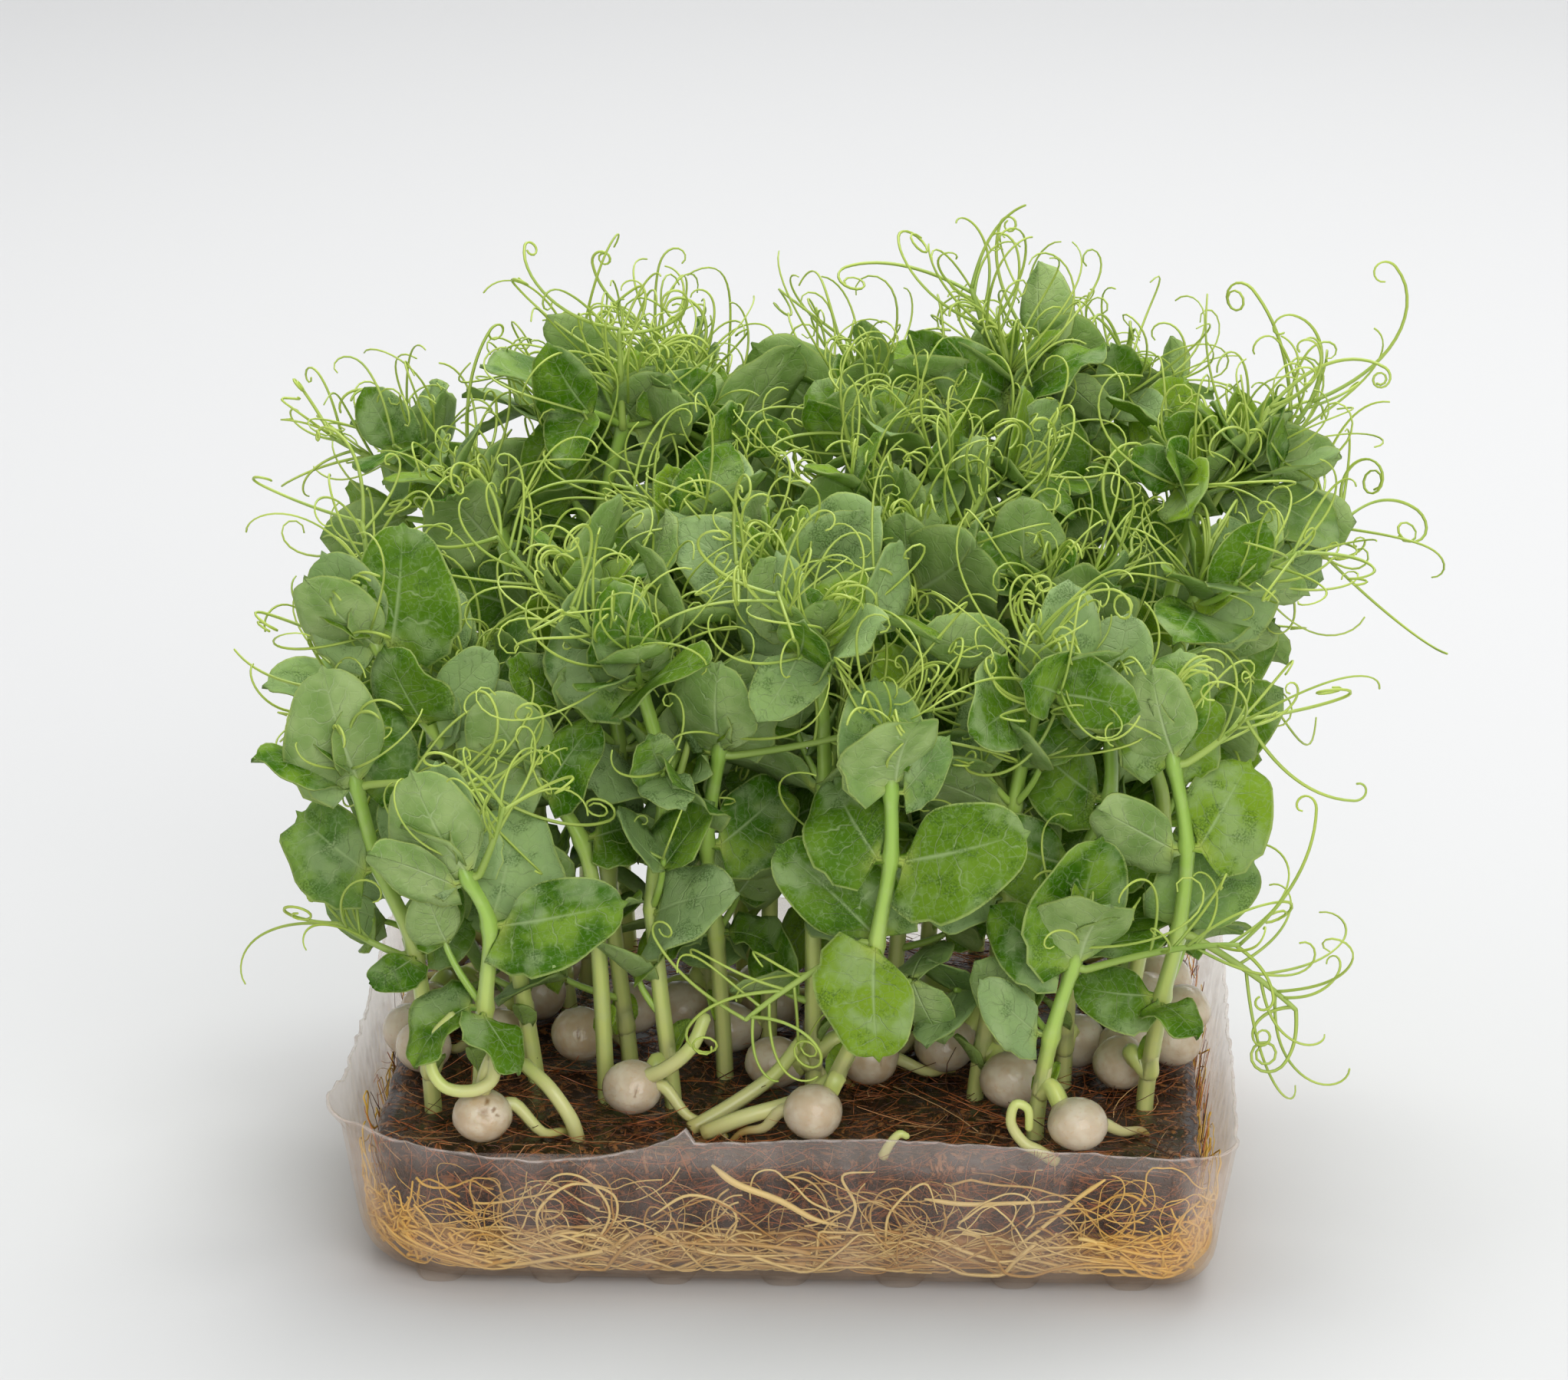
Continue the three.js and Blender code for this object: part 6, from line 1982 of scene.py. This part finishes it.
# How far red, green and blue light goes inside a stem and a seed, in metres
STEM_DEPTHS = (0.0014, 0.0018, 0.0005)
SEED_DEPTHS = (0.003, 0.0018, 0.0008)

SIDE_VEINS = 6.5  # from a leaf's tip to its heel
VEIN_NET = 6.5  # meshes of the finest veins to a centimetre
LEAF_GLOW = 0.32  # the share of the light that goes through a leaf
TENDRIL_GLOW = 0.22  # the same for a tendril


def leaf_material():
    """marks: along from tip to heel, out from midrib to margin, tone. flat: centimetres on the blade,
    and 1 on the upper face."""
    s = Shader("leaf")
    q, t, tone = s.split(s.attribute("marks"))
    flat = s.attribute("flat")
    face = s.split(flat)[2]
    broad = s.noise(flat, 1.7, 2.0)
    fine = s.noise(flat, 16.0, 4.0)
    young = s.math("SUBTRACT", tone, 1.0, clamp=True)
    base = s.over(LEAF.deep, LEAF.bright, broad, 0.38, 0.66)
    base = s.over(base, LEAF.dark, tone, 0.55, 0.75, 0.0, 0.7)
    base = s.over(base, LEAF.fresh, tone, 0.85, 1.0, 0.0, 0.7)
    base = s.over(base, LEAF.pale, tone, 0.14, 0.42, 0.75, 0.0)
    base = s.over(base, LEAF.bloom, s.noise(flat, 1.1, 3.0), 0.5, 0.64, 0.0, 0.55)
    base = s.over(base, LEAF.frost, fine, 0.5, 0.7, 0.0, 0.35)
    base = s.mix(young, base, LEAF.young)
    under = s.over(LEAF.under_deep, LEAF.under_bright, broad, 0.3, 0.7)
    under = s.mix(young, under, LEAF.under_young)
    colour = s.mix(face, under, base)
    wobble = s.times(s.math("SUBTRACT", s.noise(flat, 2.4, 2.0), 0.5), 1.5)
    lane = s.math("ADD", s.times(s.math("POWER", q, 0.85), SIDE_VEINS), wobble)
    off = s.math("ABSOLUTE", s.math("SUBTRACT", lane, s.math("ROUND", lane)))
    side_vein = s.times(s.ramp(off, 0.0, 0.06, 1.0, 0.0), s.ramp(t, 0.3, 1.0, 0.85, 0.0))
    midrib = s.times(s.ramp(t, 0.0, 0.065, 1.0, 0.0), s.ramp(q, 0.0, 0.5, 0.35, 1.0))
    net = s.node("TexVoronoi", {"feature": "DISTANCE_TO_EDGE"}, Vector=flat, Scale=VEIN_NET)
    net_vein = s.ramp(net.outputs["Distance"], 0.0, 0.06, 0.3, 0.0)
    vein = s.math("MAXIMUM", s.math("MAXIMUM", side_vein, midrib), net_vein)
    colour = s.mix(s.times(vein, 0.7), colour, s.mix(face, LEAF.under_vein, LEAF.vein))
    heel = s.times(s.ramp(q, 0.66, 0.98), s.ramp(t, 0.05, 0.9, 1.0, 0.0))
    colour = s.mix(s.times(heel, 0.85), colour, LEAF.heel)
    colour = s.over(colour, LEAF.edge, t, 0.94, 0.98, 0.0, 0.8)
    patch = s.ramp(s.noise(flat, 2.6, 3.0), 0.53, 0.63)
    speckle = s.ramp(s.noise(flat, 34.0, 3.0), 0.4, 0.6)
    wet = s.times(s.times(patch, speckle), face)
    colour = s.mix(s.times(wet, 0.55), colour, LEAF.wet)
    rough = s.ramp(wet, 0.0, 1.0, 0.46, 0.26)
    height = s.math("ADD", s.times(vein, -0.6), s.times(fine, 0.45))
    normal = s.bump(height, 0.9, 0.00025)
    skin = s.node(
        "BsdfPrincipled", Base_Color=colour, Roughness=rough, Normal=normal, Specular_IOR_Level=0.1
    )
    through = s.node("BsdfTranslucent", Color=s.mix(0.4, colour, LEAF.light), Normal=normal)
    s.surface(s.blend(LEAF_GLOW, skin, through))


def stem_material():
    """marks: along the stem, below 0 for a root, round it, tone. flat: length, groove, radius."""
    s = Shader("stem")
    along, _, tone = s.split(s.attribute("marks"))
    _, ridge, thick = s.split(s.attribute("flat"))
    place = s.place()
    colour = s.over(STEM.pale, STEM.green, along, 0.2, 0.62)
    colour = s.over(colour, STEM.top, along, 0.5, 1.0)
    colour = s.over(colour, STEM.root, along, -0.1, 0.08, 0.8, 0.0)
    colour = s.over(colour, STEM.root_end, along, -0.5, -0.25, 0.9, 0.0)
    # Painted shade: darker down in the stem's grooves and paler on its ridges
    colour = s.over(colour, STEM.groove, ridge, 0.95, 1.06, 0.3, 0.0)
    colour = s.mix(s.times(tone, 0.3), colour, STEM.light)
    colour = s.over(colour, STEM.joint, thick, 1.3, 1.45, 0.0, 0.6)
    colour = s.over(colour, STEM.bloom, s.noise(place, 350.0, 3.0), 0.5, 0.8, 0.0, 0.3)
    skin = s.node(
        "BsdfPrincipled",
        Base_Color=colour,
        Normal=s.bump(s.noise(place, 900.0, 2.0), 0.25, 0.0001),
        Roughness=0.28,
        Subsurface_Weight=0.3,
        Subsurface_Radius=STEM_DEPTHS,
        Subsurface_Scale=1.0,
    )
    s.surface(skin)


def tendril_material():
    """marks: along the tendril from its foot to its tip, round it, tone."""
    s = Shader("tendril")
    along, _, tone = s.split(s.attribute("marks"))
    colour = s.over(TENDRIL.foot, TENDRIL.end, along, 0.0, 0.7)
    colour = s.mix(s.times(tone, 0.45), colour, TENDRIL.light)
    colour = s.over(colour, TENDRIL.dark, s.noise(s.place(), 120.0, 2.0), 0.42, 0.7, 0.0, 0.4)
    skin = s.node("BsdfPrincipled", Base_Color=colour, Roughness=0.4)
    s.surface(s.blend(TENDRIL_GLOW, skin, s.node("BsdfTranslucent", Color=colour)))


def seed_material():
    """marks: how much painted shade lies in the dents and along the split coat, the seed's own number,
    tone. flat: the way out from the seed's middle.
    """
    s = Shader("seed")
    dent, _, tone = s.split(s.attribute("marks"))
    flat = s.attribute("flat")
    fine = s.noise(flat, 7.0, 3.0)
    colour = s.over(SEED.tan, SEED.cream, s.noise(flat, 1.3, 2.0), 0.35, 0.65)
    colour = s.mix(s.times(tone, 0.5), colour, SEED.light)
    colour = s.over(colour, SEED.speck, fine, 0.55, 0.7, 0.0, 0.35)
    # Painted shade: darker brown in the dents and along the split in the coat
    colour = s.over(colour, SEED.dent, dent, 0.55, 1.2, 0.0, 0.85)
    skin = s.node(
        "BsdfPrincipled",
        Base_Color=colour,
        Normal=s.bump(fine, 0.3, 0.0002),
        Roughness=0.2,
        Subsurface_Weight=0.25,
        Subsurface_Radius=SEED_DEPTHS,
        Subsurface_Scale=1.0,
    )
    s.surface(skin)


def root_material():
    """marks: the third number is the tone. The roots near the tray's left and right ends are amber."""
    s = Shader("root")
    tone = s.split(s.attribute("marks"))[2]
    place = s.place()
    fine = s.noise(place, 420.0, 3.0)
    colour = s.mix(tone, ROOT.brown, ROOT.cream)
    amber = s.times(s.ramp(s.sideways(), 0.034, 0.056), s.ramp(s.noise(place, 28.0, 2.0), 0.25, 0.5))
    colour = s.mix(s.times(amber, 0.85), colour, ROOT.amber)
    colour = s.over(colour, ROOT.dark, fine, 0.5, 0.8, 0.0, 0.3)
    s.surface(s.node("BsdfPrincipled", Base_Color=colour, Normal=s.bump(fine, 0.4, 0.0002), Roughness=0.38))


# The layers of coir strands: how far each is turned, and how it is squeezed along each axis
STRANDS = [(0.5, (1.0, 7.0, 4.0)), (2.1, (1.0, 6.0, 5.0)), (3.7, (1.2, 5.0, 6.0))]


def coir_material():
    """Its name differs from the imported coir's own material, which is called coir."""
    s = Shader("coir_pith")
    place = s.place()
    lines = None
    for turn, squeeze in STRANDS:
        way = s.node("VectorRotate", {"rotation_type": "EULER_XYZ"}, Vector=place)
        way.inputs["Rotation"].default_value = (0.35 * turn, 0.5 * turn, turn)
        strand = s.ramp(s.noise(s.stretched(way.outputs[0], squeeze), 170.0, 3.0, 0.6), 0.54, 0.65)
        lines = strand if lines is None else s.math("MAXIMUM", lines, strand)
    colour = s.mix(lines, COIR.deep, COIR.strand)
    colour = s.over(colour, COIR.wet, s.noise(place, 90.0, 3.0), 0.44, 0.68, 0.0, 0.6)
    skin = s.node(
        "BsdfPrincipled",
        Base_Color=colour,
        Normal=s.bump(lines, 0.9, 0.0008),
        Roughness=0.3,
        Coat_Weight=0.25,
        Coat_Roughness=0.14,
    )
    s.surface(skin)


def fibre_material():
    s = Shader("fibre")
    tone = s.split(s.attribute("marks"))[2]
    colour = s.over(FIBRE.dark, FIBRE.brown, tone, 0.15, 0.75)
    colour = s.over(colour, FIBRE.straw, tone, 0.86, 0.97)
    s.surface(s.node("BsdfPrincipled", Base_Color=colour, Roughness=0.35))


def plastic_material():
    """Clear plastic with a haze that is denser low down, and painted sheen: the side walls hazier and
    warmer, as they look seen edge-on, and a paler, hazier band below the rim of the front and back walls.
    marks: share of the height, 1 on the rim's cut edge. flat: round the tray, height, depth in the wall."""
    s = Shader("plastic")
    high, edge, _ = s.split(s.attribute("marks"))
    flat = s.attribute("flat")
    haze = s.noise(s.stretched(flat, (1.0, 0.25, 1.0)), 1.3, 3.0)
    film = s.noise(flat, 4.0, 4.0)
    sides = s.sideways()
    # Painted sheen: the side walls are made hazier and warmer, standing in for the plastic seen edge-on
    edge_on_sheen = s.times(s.ramp(sides, 0.054, 0.062), s.ramp(film, 0.3, 0.65, 0.4, 1.0))
    edge_on_sheen = s.times(edge_on_sheen, s.ramp(high, 0.7, 1.0, 1.0, 0.3))
    warm = s.over(HAZE.sheen_low, HAZE.sheen_high, high, 0.25, 0.6)
    plain = s.over(HAZE.low, HAZE.high, high, 0.1, 0.35)
    # Painted sheen: a paler, hazier band below the rim of the front and back walls
    rim_sheen = s.times(s.ramp(high, 0.76, 0.96), s.ramp(sides, 0.05, 0.062, 1.0, 0.0))
    colour = s.mix(rim_sheen, s.mix(edge_on_sheen, plain, warm), HAZE.rim_sheen)
    cover = s.math("ADD", s.ramp(haze, 0.35, 0.65, 0.02, 0.085), s.ramp(high, 0.1, 0.4, 0.07, 0.0))
    cover = s.math("ADD", cover, s.times(edge_on_sheen, 0.26))
    cover = s.math("ADD", cover, s.times(rim_sheen, 0.08))
    # Painted highlight: the rim's cut edge is made more opaque, a bright line along it
    shine = s.times(edge, s.ramp(film, 0.35, 0.6, 0.15, 0.5))
    skin = s.node(
        "BsdfPrincipled",
        Base_Color=colour,
        Normal=s.bump(film, 0.15, 0.0005),
        Roughness=0.16,
        Specular_IOR_Level=0.5,
    )
    clear = s.node("BsdfTransparent", Color=HAZE.clear)
    s.surface(s.blend(s.math("MAXIMUM", cover, shine), clear, skin))


def floor_material():
    s = Shader("floor")
    s.surface(s.node("BsdfPrincipled", Base_Color=FLOOR_GREY, Roughness=0.85, Specular_IOR_Level=0.2))


leaf_material()
stem_material()
tendril_material()
seed_material()
root_material()
coir_material()
fibre_material()
plastic_material()
floor_material()

# ---------------------------------------------------------------- building the pieces

def shoot_parts():
    """Each plant with its blades and tendrils as the solids hold them."""
    parts = []
    for index, plant in enumerate(all_plants()):
        corners = Corners([f"shoot_{index + 1:02d}"])
        tendril_sides, stipule_sides = sides_for(plant)
        blades = [found_blade(corners, plant, index, e, side) for e, side in enumerate(stipule_sides)]
        plans = [found_tendril(corners, plant, index, e, side) for e, side in enumerate(tendril_sides)]
        parts.append((plant, [b for b in blades if b], [p for p in plans if p]))
    return parts


EXTRA_CURLS = 7  # thin tendrils added to each found one
TUFTS = SimpleNamespace(front=4, middle=12, rear=19)  # and to the end of each stem
REAR = 15  # the Y behind which a plant is a rear one
ARCH_REACH = 15  # the furthest that a seed lies from the stem that its shoot joins
SPARSE = 8  # the last of the front plants, which have a single side shoot each


def build_shoots(seeds):
    """One piece for each shoot, with the pale arches from the seeds that lie nearest to it."""
    parts = shoot_parts()
    room = Room([blade for _, blades, _ in parts for blade in blades])
    arches = {}
    for seed in seeds:
        reach = [math.hypot(*(seed.centre[:2] - p.root)) for p, _, _ in parts]
        nearest = reach.index(min(reach))
        if min(reach) < ARCH_REACH:
            arches.setdefault(nearest, []).append(seed)
    count = [0, 0]
    for index, (plant, blades, plans) in enumerate(parts):
        skin = Skin(f"pea_shoot_{index + 1:02d}", ["leaf", "stem", "tendril"])
        tip, way = add_stem(skin, plant, index)
        for e, blade in enumerate(blades):
            add_leaf(skin, FULL_LEAF, blade, draw(index, FOR.leaf_tone, e, 1), index * 8 + e)
        for e, plan in enumerate(plans):
            add_compound_tendril(skin, room, plan, index * 4 + e, EXTRA_CURLS)
        add_young_leaves(skin, tip, way, index, front=index <= SPARSE)
        add_comb(skin, room, tip, way, index)
        rear = plant.root[1] > REAR
        tuft = TUFTS.front if index <= SPARSE else TUFTS.rear if rear else TUFTS.middle
        add_tuft(skin, room, tip, way, KEYS.tuft + index, tuft)
        add_side_shoots(skin, room, plant, index)
        add_bract(skin, plant, index)
        for seed in arches.get(index, []):
            add_arch(skin, seed, plant, seed.index)
        skin.finish("shoots", f"shoot_{index + 1:02d}")
        count[0] += len(blades)
        count[1] += len(plans)
    print("leaves and tendrils found:", count)


def build_seeds(seeds, stems):
    """One piece for each node of seeds, with the radicles that leave them."""
    for node in sorted({seed.node for seed in seeds}):
        skin = Skin(node.replace("seeds", "pea_seeds"), ["seed", "stem"])
        for seed in seeds:
            if seed.node == node:
                add_seed(skin, seed)
                add_radicle(skin, seed, stems)
                if seed.index == 0:
                    add_sprout(skin, HOOK, *HOOK_RADII, 10)
        skin.finish("seeds", node)


def build_tray():
    """The tray, the root mat and the coir mat, one piece each."""
    skin = Skin("punnet", ["plastic"])
    add_tray(skin)
    skin.finish("tray", "tray")
    skin = Skin("roots", ["root"])
    add_roots(skin)
    skin.finish("roots", "root_mat")
    skin = Skin("coir", ["coir_pith", "fibre", "stem", "root"])
    add_coir(skin)
    for line, thick, thin in SPROUTS:
        add_sprout(skin, line, thick, thin, 9)
    skin.finish("coir", "coir_mat")


# Radicles keep away from the listed stems and from this back corner of the mat
BARE_CORNER = (-60, 48)

seeds = found_seeds()
print("seeds found:", len(seeds), "in", len({seed.node for seed in seeds}), "nodes")
build_shoots(seeds)
build_seeds(seeds, [plant.root for plant in PLANTS] + [BARE_CORNER])
build_tray()

# ---------------------------------------------------------------- stage and light

# The floor, in metres: it runs from front to back and bends up into a wall
SWEEP = SimpleNamespace(half_width=2.5, front=-2.5, back=0.9, bend=0.8, top=3.0, steps=16)


def make_sweep():
    """A pale floor that curves up into a backdrop."""
    profile = [(SWEEP.front, 0.0), (SWEEP.back, 0.0)]
    for angle in np.linspace(0, math.pi / 2, SWEEP.steps)[1:]:
        y = SWEEP.back + SWEEP.bend * math.sin(angle)
        profile.append((y, SWEEP.bend - SWEEP.bend * math.cos(angle)))
    profile.append((SWEEP.back + SWEEP.bend, SWEEP.top))
    points = [(x, y, z) for y, z in profile for x in (-SWEEP.half_width, SWEEP.half_width)]
    faces = [(2 * i, 2 * i + 1, 2 * i + 3, 2 * i + 2) for i in range(len(profile) - 1)]
    mesh = bpy.data.meshes.new("sweep")
    mesh.from_pydata(points, [], faces)
    mesh.polygons.foreach_set("use_smooth", np.ones(len(faces), bool))
    mesh.materials.append(bpy.data.materials["floor"])
    sweep = bpy.data.objects.new("sweep", mesh)
    bpy.context.scene.collection.objects.link(sweep)


LIGHT_AIM = (0, 0, 0.07)
# Name, place and size in metres, watts
LIGHTS = [
    ("key", (0.02, 0.3, 1.3), 0.9, 11.5),
    ("front", (0.35, -1.1, 0.65), 1.1, 8.7),
    ("back", (0.2, 0.8, 0.9), 0.8, 4),
]


def area_light(name, place, size, power):
    data = bpy.data.lights.new(name, "AREA")
    data.shape = "DISK"
    data.size = size
    data.energy = power
    light = bpy.data.objects.new(name, data)
    light.location = place
    way = Vector(LIGHT_AIM) - Vector(place)
    light.rotation_euler = way.to_track_quat("-Z", "Y").to_euler()
    bpy.context.scene.collection.objects.link(light)


WORLD_TINT = (0.96, 0.98, 1.0, 1)
WORLD_STRENGTH = 0.46


def make_world():
    world = bpy.data.worlds.new("world")
    world.use_nodes = True
    background = world.node_tree.nodes["Background"]
    background.inputs[0].default_value = WORLD_TINT
    background.inputs[1].default_value = WORLD_STRENGTH
    bpy.context.scene.world = world


make_sweep()
make_world()
for light in LIGHTS:
    area_light(*light)
bpy.context.scene.view_settings.view_transform = "Standard"
